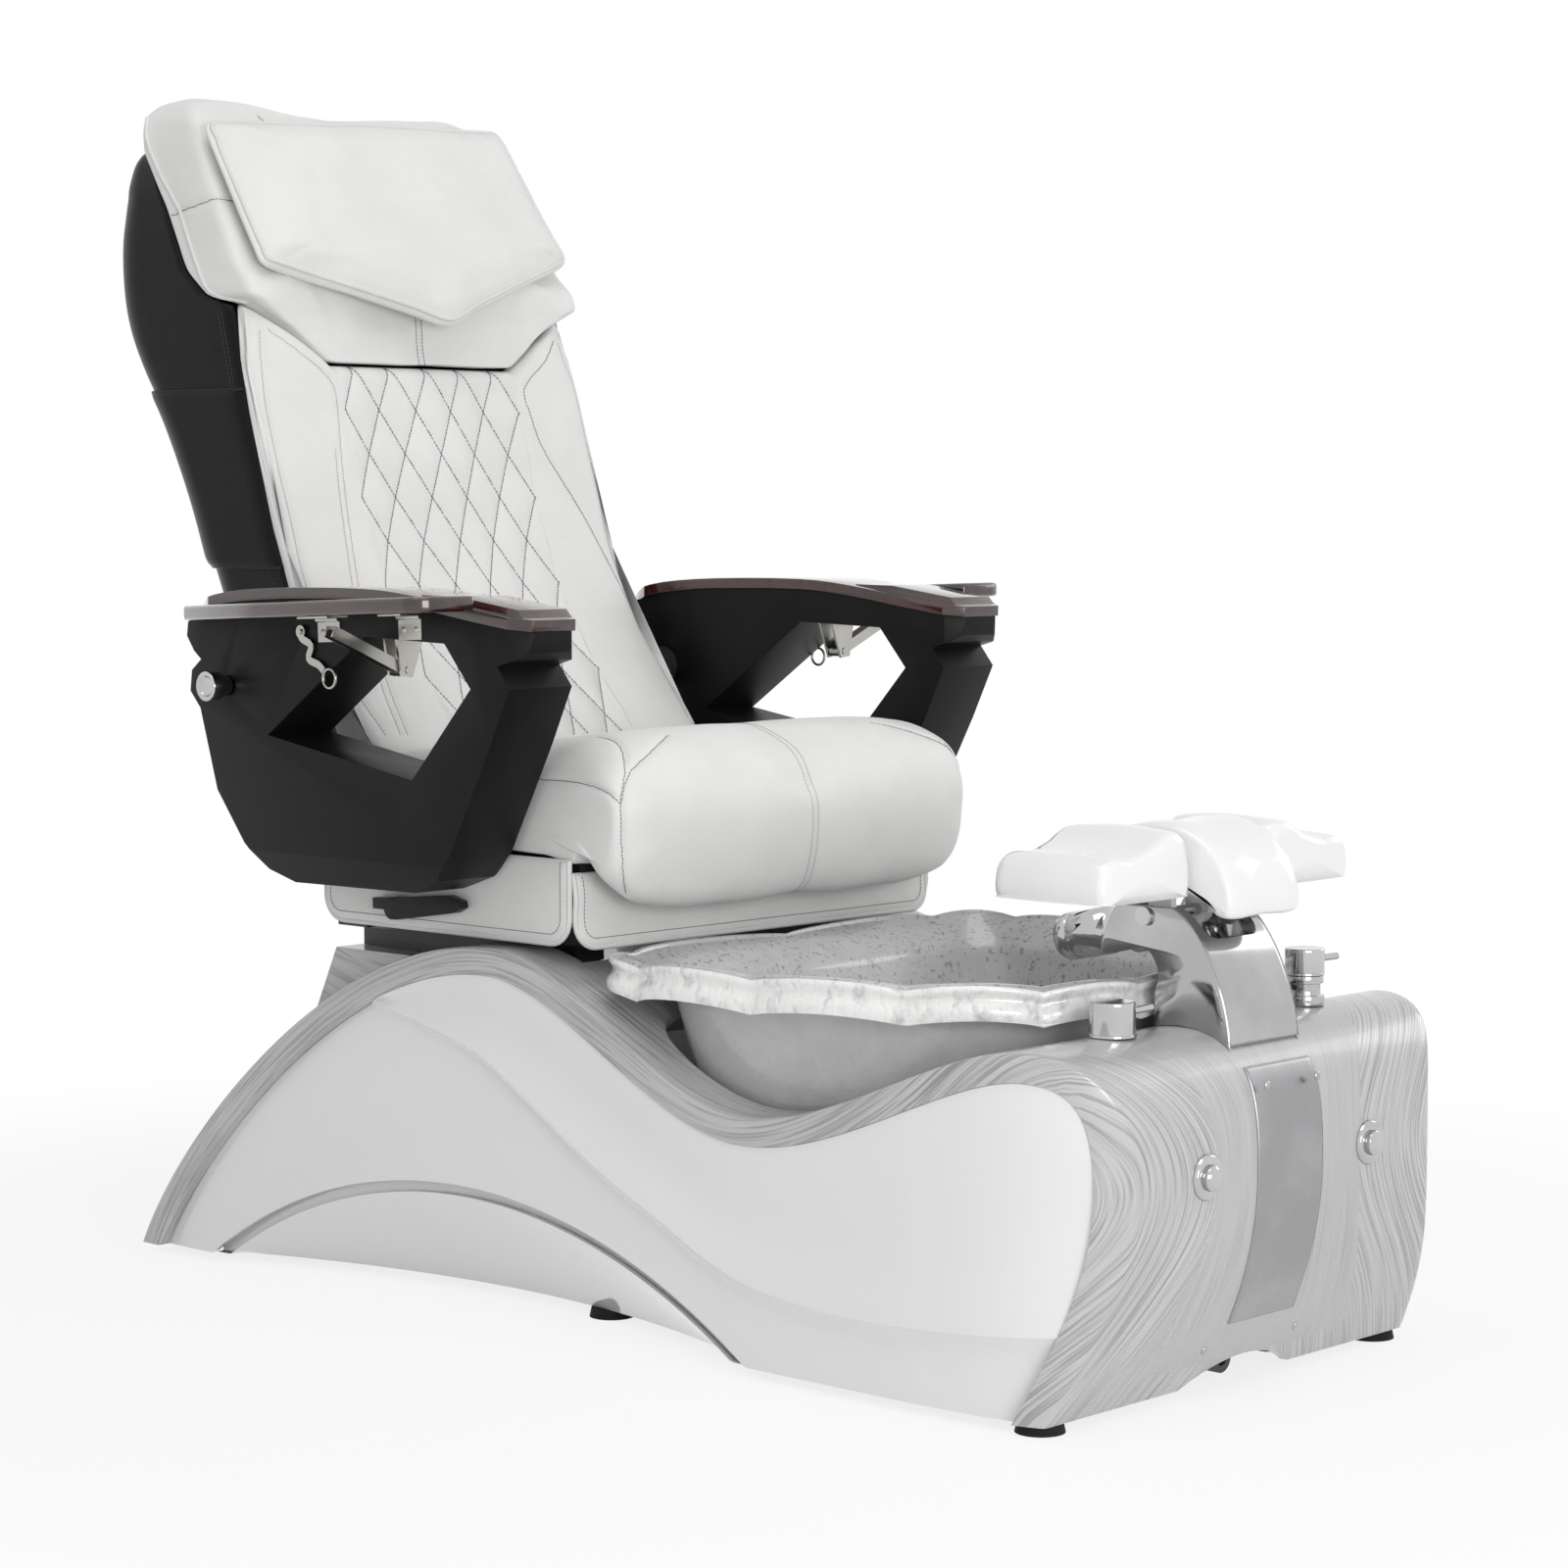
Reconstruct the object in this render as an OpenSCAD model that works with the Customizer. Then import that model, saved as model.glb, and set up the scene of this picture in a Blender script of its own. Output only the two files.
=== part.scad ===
// Pedicure spa chair: a massage seat on a sliding carriage, over a base that holds a foot tub.
// X runs across the chair with +X at the sitter's left, the sitter faces -Y, Z is up, z = 0 is the floor.

/* [Base] */
// Width of the base across its sides
base_w = 632; // [600:2:680]
// Length of the base along the floor
base_len = 1290; // [1270:5:1330]
// Height of the hump under the seat
hump_h = 396; // [392:1:400]
// Height of the saddle beside the tub
saddle_h = 261; // [240:1:280]
// Height of the front deck
deck_h = 356; // [345:1:362]
// Overhang of the nose past the foot of the base
nose_out = 88; // [70:1:100]
// Thickness of the base skin
skin_t = 8; // [6:1:10]
// Depth of the rim round each side panel
rim_d = 28; // [22:1:34]
// Thickness of the side panels
panel_t = 6; // [4:1:8]
// Step between the upper and lower halves of a side panel
panel_step = 12; // [8:1:16]
// Radius of the low arch in each side
arch_r = 735; // [700:5:760]
// Height of the low arch
arch_h = 139; // [125:1:150]
// Height of the levelling feet
foot_h = 10; // [8:1:14]
// Radius of a levelling foot
foot_r = 24; // [20:1:28]

/* [Tub] */
// Half width of the tub rim at its widest
tub_half_w = 310; // [290:1:312]
// Length of the tub rim from back to front
tub_len = 548; // [536:1:552]
// Height of the tub rim
tub_rim_h = 402; // [400:1:404]
// Height of the curtain under the rim
curtain_h = 38; // [30:1:44]
// Depth of the bowl below the rim
bowl_depth = 270; // [240:2:290]
// Wall of the bowl
tub_wall = 6; // [5:1:8]
// Radius of the drain strainer
drain_r = 32; // [26:1:38]
// Radius of the jet cover
jet_r = 44; // [38:1:50]

/* [Footrest] */
// Width of the chrome tower
tower_w = 114; // [104:2:120]
// Sheet thickness of the tower
tower_t = 3; // [2:0.5:4]
// Height of the footrest pads at their crown
pad_crown_h = 552; // [546:1:560]
// Width of one heel pad
heel_w = 142; // [130:1:150]
// Length of a heel pad
heel_len = 138; // [130:1:150]
// Radius of the tilt pin
tilt_pin_r = 6; // [5:0.5:7]
// Radius of the hand shower's head
shower_r = 24; // [20:1:26]

/* [Controls] */
// Distance of each water knob from the middle
knob_x = 156; // [140:1:170]
// Radius of the water knobs
knob_r = 22; // [18:1:24]
// Height of the mixer knob
knob_h = 34; // [28:1:38]
// Distance of each front button from the middle
button_x = 133; // [120:1:150]
// Radius of a button's flange
bezel_r = 22.5; // [20:0.5:26]
// Radius of a button's moving cap
cap_r = 12; // [10:0.5:14]
// Travel of a front button
button_travel = 4; // [3:0.5:5]

/* [Seat] */
// Width of the seat cushion
seat_w = 550; // [530:2:560]
// Height of the seat cushion's front crown
seat_h = 616; // [606:1:622]
// Thickness of the seat's front roll
roll_t = 178; // [166:1:184]
// Thickness of the skirts and the apron
skirt_t = 7; // [5:1:8]
// Width of one slide rail
rail_w = 34; // [30:1:40]
// Distance of each slide rail from the middle
rail_x = 200; // [180:1:206]
// Travel of the seat slide
slide_travel = 150; // [100:5:150]

/* [Backrest] */
// Width of the backrest cushion
back_w = 520; // [500:2:530]
// Width of the backrest shell
shell_w = 504; // [490:2:510]
// Wall of the backrest shell
shell_t = 6; // [5:1:8]
// Width of the pillow
pillow_w = 488; // [470:2:500]
// Thickness of the pillow
pillow_t = 34; // [28:1:40]
// Tilt of the pillow in its own plane, in degrees
pillow_roll = 3; // [0:0.5:4]
// Radius of the recline hinge pins
recline_pin_r = 10; // [8:1:12]
// Radius of one massage roller
roller_r = 32; // [26:1:34]

/* [Arms] */
// Thickness of an arm across the chair
arm_w = 87; // [80:1:96]
// Distance of each arm's inner face from the middle
arm_in = 291; // [289:1:300]
// Thickness of the wooden arm cap
cap_t = 12; // [10:1:15]
// Width of a side tray past the arm
tray_w = 76; // [60:1:90]
// Thickness of a side tray
tray_t = 16; // [12:1:18]
// Radius of the arm's lift shaft
shaft_r = 11; // [9:1:13]
// Radius of the arm's release knob
arm_knob_r = 16; // [13:1:18]

/* [Hidden] */
$fn = 64;

// Clearances: a running fit on a pin, a seated gap between two pieces, a soft piece beside another
run = 0.05;
seat_gap = 0.3;
soft_gap = 0.3;
eps = 0.01;

// ---- Curves and solids ----

function lerp(a, b, t) = a + (b - a) * t;

// Points along a cubic curve, without its last point
function bezier(p0, p1, p2, p3, n) = [
  for (i = [0:n - 1]) let (t = i / n, s = 1 - t)
    s * s * s * p0 + 3 * s * s * t * p1 + 3 * s * t * t * p2 + t * t * t * p3
];

// A smooth closed curve through points, n steps in each stretch
function smooth_ring(pts, n) = [
  for (i = [0:len(pts) - 1], k = [0:n - 1])
    let (m = len(pts), t = k / n,
      a = pts[(i + m - 1) % m], b = pts[i], c = pts[(i + 1) % m], d = pts[(i + 2) % m])
      0.5 * (2 * b + (c - a) * t + (2 * a - 5 * b + 4 * c - d) * t * t
         + (3 * b - a - 3 * c + d) * t * t * t)
];

// A smooth open curve through points, n steps in each stretch, ending on the last point
function smooth_path(pts, n) = concat([
  for (i = [0:len(pts) - 2], k = [0:n - 1])
    let (t = k / n, b = pts[i], c = pts[i + 1],
      a = i == 0 ? 2 * b - c : pts[i - 1],
      d = i == len(pts) - 2 ? 2 * c - b : pts[i + 2])
      0.5 * (2 * b + (c - a) * t + (2 * a - 5 * b + 4 * c - d) * t * t
         + (3 * b - a - 3 * c + d) * t * t * t)
], [pts[len(pts) - 1]]);

// The value at x on a broken line through [x, value] pairs that rise in x
function on_line(pairs, x) =
  x <= pairs[0][0] ? pairs[0][1] :
  x >= pairs[len(pairs) - 1][0] ? pairs[len(pairs) - 1][1] :
  let (k = max([for (i = [0:len(pairs) - 2]) if (pairs[i][0] <= x) i]))
    lerp(pairs[k][1], pairs[k + 1][1], (x - pairs[k][0]) / (pairs[k + 1][0] - pairs[k][0]));

function unit(v) = v / norm(v);

// Direction of travel of a path at point i
function heading(pts, i) = unit(pts[min(i + 1, len(pts) - 1)] - pts[max(i - 1, 0)]);

// A path moved sideways by d, to the right of its travel
function beside(pts, d) = [
  for (i = [0:len(pts) - 1]) let (h = heading(pts, i)) pts[i] + d * [h[1], -h[0]]
];

function reverse(v) = [for (i = [len(v) - 1:-1:0]) v[i]];

function ring_centre(r) = [for (k = [0:2]) [for (p = r) p[k]] * [for (p = r) 1] / len(r)];

// Twice the area of a ring, as a vector along its normal
function ring_turn(r) = let (c = ring_centre(r), n = len(r),
  t = [for (i = [0:n - 1]) cross(r[i] - c, r[(i + 1) % n] - c)]) total(t);

function total(t) = [for (k = [0:2]) [for (p = t) p[k]] * [for (p = t) 1]];

// A closed solid through rings of points, each ring the same length, its ends closed on their middles
module loft(given) {
  m = len(given);
  h = floor(m / 2);
  ahead = ring_turn(given[h]) * (ring_centre(given[h]) - ring_centre(given[h - 1]));
  rings = ahead > 0 ? given : [for (r = given) reverse(r)];
  n = len(rings[0]);
  points = concat([for (r = rings) each r], [ring_centre(rings[0]), ring_centre(rings[m - 1])]);
  sides = [
    for (j = [0:m - 2], i = [0:n - 1])
      let (a = j * n + i, b = j * n + (i + 1) % n) each [[a, b + n, b], [a, a + n, b + n]]
  ];
  first = [for (i = [0:n - 1]) [m * n, i, (i + 1) % n]];
  last = [for (i = [0:n - 1]) [m * n + 1, (m - 1) * n + (i + 1) % n, (m - 1) * n + i]];
  polyhedron(points, concat(sides, first, last));
}

// A [y, z] outline carried across X from x0 to x1
module across(x0, x1) {
  translate([x0, 0, 0]) rotate([90, 0, 90]) linear_extrude(x1 - x0) children();
}

// An [x, z] outline carried along Y from y0 to y1
module along(y0, y1) {
  translate([0, y1, 0]) rotate([90, 0, 0]) linear_extrude(y1 - y0) children();
}

// The part's middle lies over the origin
module centred() {
  translate([0, -mid_y, 0]) children();
}

module mirrored() {
  children();
  mirror([1, 0, 0]) children();
}

// A rod of radius r between two points
module rod(a, b, r) {
  d = b - a;
  l = norm(d);
  translate(a)
    rotate([0, acos(d[2] / l), atan2(d[1], d[0])])
      cylinder(r = r, h = l);
}

module box(x0, x1, y0, y1, z0, z1) {
  translate([x0, y0, z0]) cube([x1 - x0, y1 - y0, z1 - z0]);
}

// ---- Base ----

base_x = base_w / 2;
base_y = base_len / 2;
crest_y = 63;
saddle_y = -305;
nose_y = -base_y - nose_out;
deck_y = nose_y + 93;
foot_y = -base_y - 23;
nose_z = 225;
curve_n = 9;

// The base's outline from its rear foot over the hump and saddle to its front foot
base_path = concat(
  bezier([base_y, foot_h], [base_y - 70, 150], [crest_y + 232, hump_h + 4], [crest_y, hump_h], curve_n),
  bezier([crest_y, hump_h], [crest_y - 123, hump_h], [saddle_y + 115, saddle_h],
     [saddle_y, saddle_h], curve_n),
  bezier([saddle_y, saddle_h], [saddle_y - 115, saddle_h], [deck_y + 80, deck_h],
     [deck_y, deck_h], curve_n),
  bezier([deck_y, deck_h], [nose_y + 8, deck_h], [nose_y, nose_z + 70], [nose_y, nose_z], curve_n),
  bezier([nose_y, nose_z], [nose_y, nose_z - 85], [foot_y - 32, 70], [foot_y, foot_h], curve_n),
  [[foot_y, foot_h]]
);

// The same outline moved in by d, with its ends kept on the foot line
function base_inset(d) = let (p = beside(base_path, -d), k = len(p) - 1) [
  for (i = [0:k]) i == 0 ? [base_y - 1.12 * d, foot_h] :
    i == k ? [foot_y + 1.15 * d, foot_h] : p[i]
];

// The skin between two insets, open along the floor
module base_band(d0, d1) {
  polygon(concat(base_inset(d0), reverse(base_inset(d1))));
}

// Half of the plan outline, from the rear corner forward to the nose
plan_half = concat(
  [[base_x, base_y + 5]],
  smooth_path([[base_x, base_y - 200], [base_x, nose_y + 333], [base_x - 2, nose_y + 193],
    [base_x - 10, nose_y + 113], [base_x - 28, nose_y + 57], [base_x - 52, nose_y + 21],
    [base_x - 86, nose_y - 5]], 4)
);

// The plan outline with both sides moved in by d
module base_plan(d) {
  half = [for (p = plan_half) [p[0] - d, p[1]]];
  polygon(concat(half, [for (p = reverse(half)) [-p[0], p[1]]]));
}

// The strip in plan between two insets of one side
module plan_strip(d0, d1) {
  polygon(concat([for (p = plan_half) [p[0] - d0, p[1]]],
         [for (p = reverse(plan_half)) [p[0] - d1, p[1]]]));
}

rail_top_z = 368;
block_x = 252;
block_y0 = 20;
block_y1 = 372;
tub_rear_y = -56;
back_reach = 788;
button_reach = 11;
mid_y = (back_reach + nose_y - button_reach) / 2;
notch_x = 92;
notch_h = 24;
plate_x = 53;
plate_t = 1.5;
plate_top_z = 323;
plate_low_z = 74;

// Half an outline from its rear middle to its front middle, closed by the other half
function both_sides(half) = concat(half, [for (i = [len(half) - 2:-1:1]) [-half[i][0], half[i][1]]]);

// Plan outline of the tub at a level: its half width, length and how far its back is set in
function tub_plan(half_w, len_y, y_back) = smooth_ring(both_sides([
  for (p = [[0, 0], [0.66, 0], [0.93, 0.055], [1, 0.19], [0.975, 0.4], [0.9, 0.63], [0.745, 0.825],
       [0.53, 0.945], [0.26, 0.992], [0, 1]])
    [p[0] * half_w, y_back - p[1] * len_y]
]), 4);

// Size of the bowl's outside at its neck, and of the cut-out it hangs through
bowl_half_w = tub_half_w - 52;
bowl_len = tub_len - 88;
bowl_back = tub_rear_y - 52;
cut_gap = 3;

module base_shell() {
  color("lightgray") centred()
    difference() {
      union() {
        difference() {
          intersection() {
            union() {
              across(-base_x, base_x) base_band(0, skin_t);
              mirrored() across(base_x - 60, base_x) base_band(0, rim_d);
            }
            linear_extrude(hump_h + 20) base_plan(0);
          }
          // Inner faces of the two rims
          intersection() {
            across(-base_x, base_x) base_band(skin_t, rim_d + 1);
            linear_extrude(hump_h + 20) base_plan(panel_t + panel_step + 10);
          }
        }
        rail_deck();
      }
      // The well that the bowl hangs in
      translate([0, 0, saddle_h - 60])
        linear_extrude(hump_h)
          polygon(tub_plan(bowl_half_w + cut_gap, bowl_len + 2 * cut_gap, bowl_back + cut_gap));
      // Recess over the rail deck
      box(-deck_in, deck_in, block_y0 - 32, block_y1, rail_top_z, hump_h + 20);
      deck_holes();
      mirrored() translate([corner_foot_x, -base_y, 0]) cylinder(r = foot_stem_r + run, h = 60);
      // The drain hose leaves under the middle of the nose
      along(foot_y - 40, foot_y + 60)
        intersection() {
          translate([0, foot_h + notch_h - 180]) circle(180);
          translate([-notch_x, 0]) square([2 * notch_x, 60]);
        }
    }
}

deck_in = block_x - skin_t;

// The rear deck that carries the slide rails, and the walls of its recess in the hump
module rail_deck() {
  y0 = block_y0 - 40;
  difference() {
    across(-block_x, block_x)
      polygon([[y0, rail_top_z - 70], [y0, rail_top_z], [block_y1, rail_top_z],
          [block_y1 + 34, rail_top_z - 70]]);
    across(-deck_in, deck_in)
      polygon([[y0 + skin_t, rail_top_z - 80], [y0 + skin_t, rail_top_z - skin_t],
          [block_y1 - skin_t, rail_top_z - skin_t], [block_y1 + 34 - skin_t, rail_top_z - 80]]);
  }
  intersection() {
    across(-block_x, block_x) polygon(base_inset(1));
    box(-block_x, block_x, y0, block_y1, rail_top_z - skin_t, hump_h);
  }
}

knob_y = deck_y + 2;
stem_r = 9;
button_z = 230.5;
button_hole_r = 15;

module deck_holes() {
  for (s = [-1, 1]) {
    translate([s * knob_x, knob_y, deck_h - 30]) cylinder(r = stem_r + 1, h = 60);
    translate([s * button_x, nose_y + 40, button_z]) rotate([90, 0, 0]) cylinder(r = button_hole_r,
      h = 60);
  }
}

// Height of the crease on a side panel, from front to rear
crease = [[-720, 96], [-600, 88], [-500, 83], [-400, 84], [-283, 102], [-186, 145], [-86, 192],
     [-24, 228], [82, 286], [168, 309], [259, 329], [330, 338]];
crease_path = smooth_path(crease, 3);

// Everything above the crease, raised by up and moved on
module above_crease(up) {
  polygon(concat([for (p = crease_path) p + [0, up]], [[360, hump_h + 40], [-760, hump_h + 40]]));
}

arch_y = base_y - 526;
arch_z = arch_h - arch_r;

module panel_outline() {
  difference() {
    polygon(base_inset(rim_d));
    translate([arch_y, arch_z]) circle(arch_r, $fn = 180);
  }
}

// One glossy side panel: the upper half stands out over the lower half at the crease
module side_panel() {
  face = 3;
  intersection() {
    across(0, base_x) panel_outline();
    union() {
      intersection() {
        across(0, base_x) above_crease(0);
        linear_extrude(hump_h) plan_strip(face, face + panel_t);
      }
      intersection() {
        across(0, base_x) difference() {
          translate([-base_len, 0]) square([2 * base_len, hump_h + 40]);
          above_crease(panel_t);
        }
        linear_extrude(hump_h) plan_strip(face + panel_step, face + panel_step + panel_t);
      }
      intersection() {
        across(0, base_x) difference() {
          above_crease(0);
          above_crease(panel_t);
        }
        linear_extrude(hump_h) plan_strip(face, face + panel_step + panel_t);
      }
    }
  }
}

module side_panel_left() {
  color("white") centred() side_panel();
}

module side_panel_right() {
  color("white") centred() mirror([1, 0, 0]) side_panel();
}

groove = 13;
kick_in = 90;
kick_t = 5;

// Set-back kick panel under the arch: its lower edge bows in towards the middle
module kick_panel() {
  n = 24;
  r = arch_r - groove;
  half = sqrt(r * r - pow(r - (arch_h - groove - foot_h - 6), 2));
  top_x = base_x - 3 - panel_step - panel_t;
  rings = [
    for (i = [0:n])
      let (u = i / n, y = arch_y + half * (1 - 2 * u),
        z = arch_z + sqrt(r * r - pow(y - arch_y, 2)),
        x = top_x - 6 - kick_in * pow(sin(180 * u), 0.8))
      [[top_x, y, z], [x, y, foot_h], [x - kick_t, y, foot_h], [top_x - kick_t, y, z]]
  ];
  loft(rings);
}

module kick_panel_left() {
  color("white") centred() kick_panel();
}

module kick_panel_right() {
  color("white") centred() mirror([1, 0, 0]) kick_panel();
}

// Steel plate down the middle of the nose
module access_plate() {
  color("silver") centred()
    intersection() {
      across(-plate_x, plate_x) base_band(-plate_t - eps, -eps);
      box(-plate_x, plate_x, nose_y - 20, deck_y, plate_low_z, plate_top_z);
    }
}

screw_r = 4;
plate_screw_z = [plate_top_z - 16, 50];

// Foremost face of the nose behind a screw's head at a height, on the base's outline
nose_line = [for (p = reverse([for (q = base_path) if (q[0] < deck_y) q])) [p[1], p[0]]];
function nose_face(z) = min([for (k = [-1:1]) on_line(nose_line, z + k * screw_r)]);

module plate_screws() {
  color("silver") centred() {
    for (s = [-1, 1])
      translate([s * (plate_x - 12), nose_face(plate_screw_z[0]) - plate_t - seat_gap,
           plate_screw_z[0]])
        rotate([90, 0, 0]) screw_head(screw_r);
    for (s = [-1, 1])
      translate([s * (plate_x + 22), nose_face(plate_screw_z[1]) - seat_gap, plate_screw_z[1]])
        rotate([90, 0, 0]) screw_head(screw_r);
  }
}

// Domed head, its flat on z = 0, with a socket in its crown
module screw_head(r) {
  difference() {
    rotate_extrude() polygon(concat([[0, 0], [r, 0]], [for (a = [0:15:90]) [r * cos(a),
      0.6 * r * sin(a)]]));
    translate([0, 0, 0.35 * r]) cylinder(r = 0.4 * r, h = r, $fn = 6);
  }
}

frame_tube = 30;
frame_x = 148;
mid_foot_x = 192;
foot_stem_r = 5;
corner_foot_x = 270;

// Welded tube frame inside the base
module base_frame() {
  color("dimgray") centred()
    difference() {
      union() {
        mirrored() {
          box(frame_x, frame_x + frame_tube, foot_y + 55, base_y - 60, foot_h, foot_h + frame_tube);
          for (y = [60, 180])
            box(frame_x, frame_x + frame_tube, y, y + frame_tube, foot_h + frame_tube,
              rail_top_z - skin_t - seat_gap);
          // Stool under the edge of the bowl
          box(frame_x, frame_x + 16, drain_y + 20, drain_y + 50, foot_h + frame_tube - 1,
            bowl_floor_z - seat_gap);
        }
        mirrored() box(frame_x, mid_foot_x + 7, -14, 14, foot_h, foot_h + frame_tube);
        for (y = [20, base_y - 60 - frame_tube])
          box(-frame_x, frame_x, y, y + frame_tube, foot_h, foot_h + frame_tube);
        // The front cross tube lies on top, over the drain hose
        box(-frame_x - frame_tube, frame_x + frame_tube, foot_y + 55, foot_y + 55 + frame_tube,
          foot_h + frame_tube - 1, foot_h + 2 * frame_tube);
      }
      feet_places() translate([0, 0, -1]) cylinder(r = foot_stem_r + run, h = frame_tube + 2 + foot_h);
    }
}

module feet_places() {
  mirrored()
    for (p = [[frame_x + frame_tube / 2, foot_y + 70], [mid_foot_x, 0],
      [frame_x + frame_tube / 2, base_y - 75]])
      translate([p[0], p[1], foot_h]) children();
  for (s = [-1, 1]) translate([s * corner_foot_x, -base_y, foot_h]) children();
}

// Screw-in feet: a disc on the floor and a stem up into the frame or the shell
module levelling_feet() {
  color("black") centred()
    feet_places() {
      translate([0, 0, -foot_h]) cylinder(r1 = foot_r, r2 = foot_r - 2, h = foot_h - seat_gap);
      translate([0, 0, -foot_h]) cylinder(r = foot_stem_r, h = frame_tube);
    }
}

// ---- Tub and jet ----

bowl_floor_z = tub_rim_h - bowl_depth;
drain_y = tub_rear_y - 254;
drain_neck_r = 20;
jet_wall_y = bowl_back - bowl_len + 16;
jet_z = bowl_floor_z + 84;
jet_neck_r = 18;
ribs = 12;

// One level of the tub: half width, length, back edge and height, with the rim's scallops
function tub_ring(half_w, len_y, y_back, z, wave) = let (p = tub_plan(half_w, len_y, y_back), m = len(p)) [
  for (i = [0:m - 1])
    let (s = pow(abs(sin(180 * ribs * i / m)), 0.7), c = [0, y_back - len_y / 2], d = unit(p[i] - c))
      [p[i][0] + wave * s * d[0], p[i][1] + wave * s * d[1], z + 0.5 * wave * (s - 0.5)]
];

// Levels of the bowl's outside, from its floor to the flange under the rim
bowl_levels = [
  [bowl_half_w - 86, bowl_len - 128, bowl_back - 68, bowl_floor_z],
  [bowl_half_w - 60, bowl_len - 84, bowl_back - 58, bowl_floor_z + 6],
  [bowl_half_w - 36, bowl_len - 66, bowl_back - 50, bowl_floor_z + 34],
  [bowl_half_w - 12, bowl_len - 60, bowl_back - 44, bowl_floor_z + 118],
  [bowl_half_w - 5, bowl_len - 40, bowl_back - 30, bowl_floor_z + 168],
  [bowl_half_w - 1, bowl_len - 6, bowl_back - 4, tub_rim_h - curtain_h + 3]
];

module tub() {
  wave = 5;
  lip = 12;
  low = tub_rim_h - curtain_h;
  outside = [for (l = bowl_levels) tub_ring(l[0], l[1], l[2], l[3], 0)];
  rim = [
    tub_ring(tub_half_w - 16, tub_len - 32, tub_rear_y - 16, low + 10, 0),
    tub_ring(tub_half_w - 6, tub_len - 12, tub_rear_y - 6, low, wave),
    tub_ring(tub_half_w - 1 - wave, tub_len - 2 - 2 * wave, tub_rear_y - 1 - wave, low + 8, wave),
    tub_ring(tub_half_w - 3 - wave, tub_len - 6 - 2 * wave, tub_rear_y - 3 - wave, tub_rim_h - 7, wave),
    tub_ring(tub_half_w - 8 - wave, tub_len - 16 - 2 * wave, tub_rear_y - 8 - wave, tub_rim_h - 2,
      wave / 2),
    tub_ring(tub_half_w - lip - 6, tub_len - 2 * lip - 12, tub_rear_y - lip - 6, tub_rim_h - 6, wave / 2)
  ];
  inside = [for (k = [len(bowl_levels) - 1:-1:0]) let (l = bowl_levels[k]) tub_ring(
    l[0] - tub_wall, l[1] - 2 * tub_wall, l[2] - tub_wall, l[3] + tub_wall, 0)];
  color("silver", 0.6) centred()
    difference() {
      loft(concat(outside, rim, inside));
      translate([0, drain_y, bowl_floor_z - 5]) cylinder(r = drain_neck_r, h = 30);
      translate([0, jet_wall_y + 60, jet_z]) rotate([90, 0, 0]) cylinder(r = jet_neck_r, h = 120);
    }
}

module drain_strainer() {
  color("silver") centred()
    translate([0, drain_y, bowl_floor_z + tub_wall + seat_gap])
      difference() {
        union() {
          cylinder(r = drain_r, h = 3);
          translate([0, 0, -tub_wall - 14]) cylinder(r = drain_neck_r - 0.5, h = tub_wall + 15);
        }
        translate([0, 0, -tub_wall - 15]) cylinder(r = drain_neck_r - 3, h = tub_wall + 15);
        for (a = [0:45:315])
          rotate(a) translate([9, 0, -2]) cylinder(r = 2.6, h = 8);
        for (a = [0:30:330])
          rotate(a + 15) translate([15, 0, -2]) cylinder(r = 1.6, h = 8);
      }
}

pump_r = 42;

// Drain pump under the bowl, with its outlet towards the notch in the nose
module drain_pump() {
  z0 = foot_h + 2;
  color("dimgray") centred()
    difference() {
      union() {
        translate([0, drain_y, z0]) cylinder(r = pump_r, h = 66);
        translate([0, drain_y, z0 + 66]) cylinder(r = drain_neck_r + 6,
          h = bowl_floor_z - z0 - 66 - seat_gap);
        rod([0, drain_y, z0 + 13], [0, foot_y + 24, z0 + 13], 12);
        translate([0, foot_y + 14, z0 + 13]) rotate([-90, 0, 0]) cylinder(r = 15, h = 14);
      }
      translate([0, drain_y, z0 + 30]) cylinder(r = drain_neck_r, h = 200);
      translate([0, foot_y + 10, z0 + 13]) rotate([-90, 0, 0]) cylinder(r = 8, h = 200);
    }
}

module facing_sitter(y, z) {
  translate([0, y, z]) rotate([-90, 0, 0]) children();
}

axle_r = 4;
jet_face_y = jet_wall_y + tub_wall + 3;

// Sealed magnetic drive behind the front wall of the bowl, with the axle that carries the impeller
module jet_housing() {
  color("dimgray") centred() {
    facing_sitter(jet_wall_y - 84, jet_z) cylinder(r = 36, h = 78);
    facing_sitter(jet_wall_y - 6, jet_z) cylinder(r = jet_neck_r - 0.3, h = jet_face_y - jet_wall_y + 6);
    facing_sitter(jet_face_y, jet_z) cylinder(r = jet_r - 5 - seat_gap, h = 2);
    facing_sitter(jet_face_y + 2, jet_z) cylinder(r = axle_r, h = 10);
  }
}

module jet_impeller() {
  color("white") centred()
    facing_sitter(jet_face_y + 2.5, jet_z)
      difference() {
        union() {
          cylinder(r = 9, h = 8);
          cylinder(r = jet_r - 12, h = 2);
          for (a = [0:60:300])
            rotate(a) translate([6, -1.2, 0]) cube([jet_r - 19, 2.4, 7]);
        }
        translate([0, 0, -1]) cylinder(r = axle_r + run, h = 12);
      }
}

module jet_cover() {
  color("silver") centred()
    facing_sitter(jet_face_y, jet_z)
      difference() {
        cylinder(r = jet_r, h = 16);
        translate([0, 0, -1]) cylinder(r = jet_r - 5, h = 14);
        for (a = [0:40:320])
          rotate(a) translate([jet_r * 0.55, 0, 8]) cylinder(r = 5, h = 10);
      }
}

// ---- Footrest ----

tower_x = tower_w / 2;
pin_y = -600;
pin_z = 460;
pad_low_z = 484;
saddle_low_z = 465;

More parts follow.
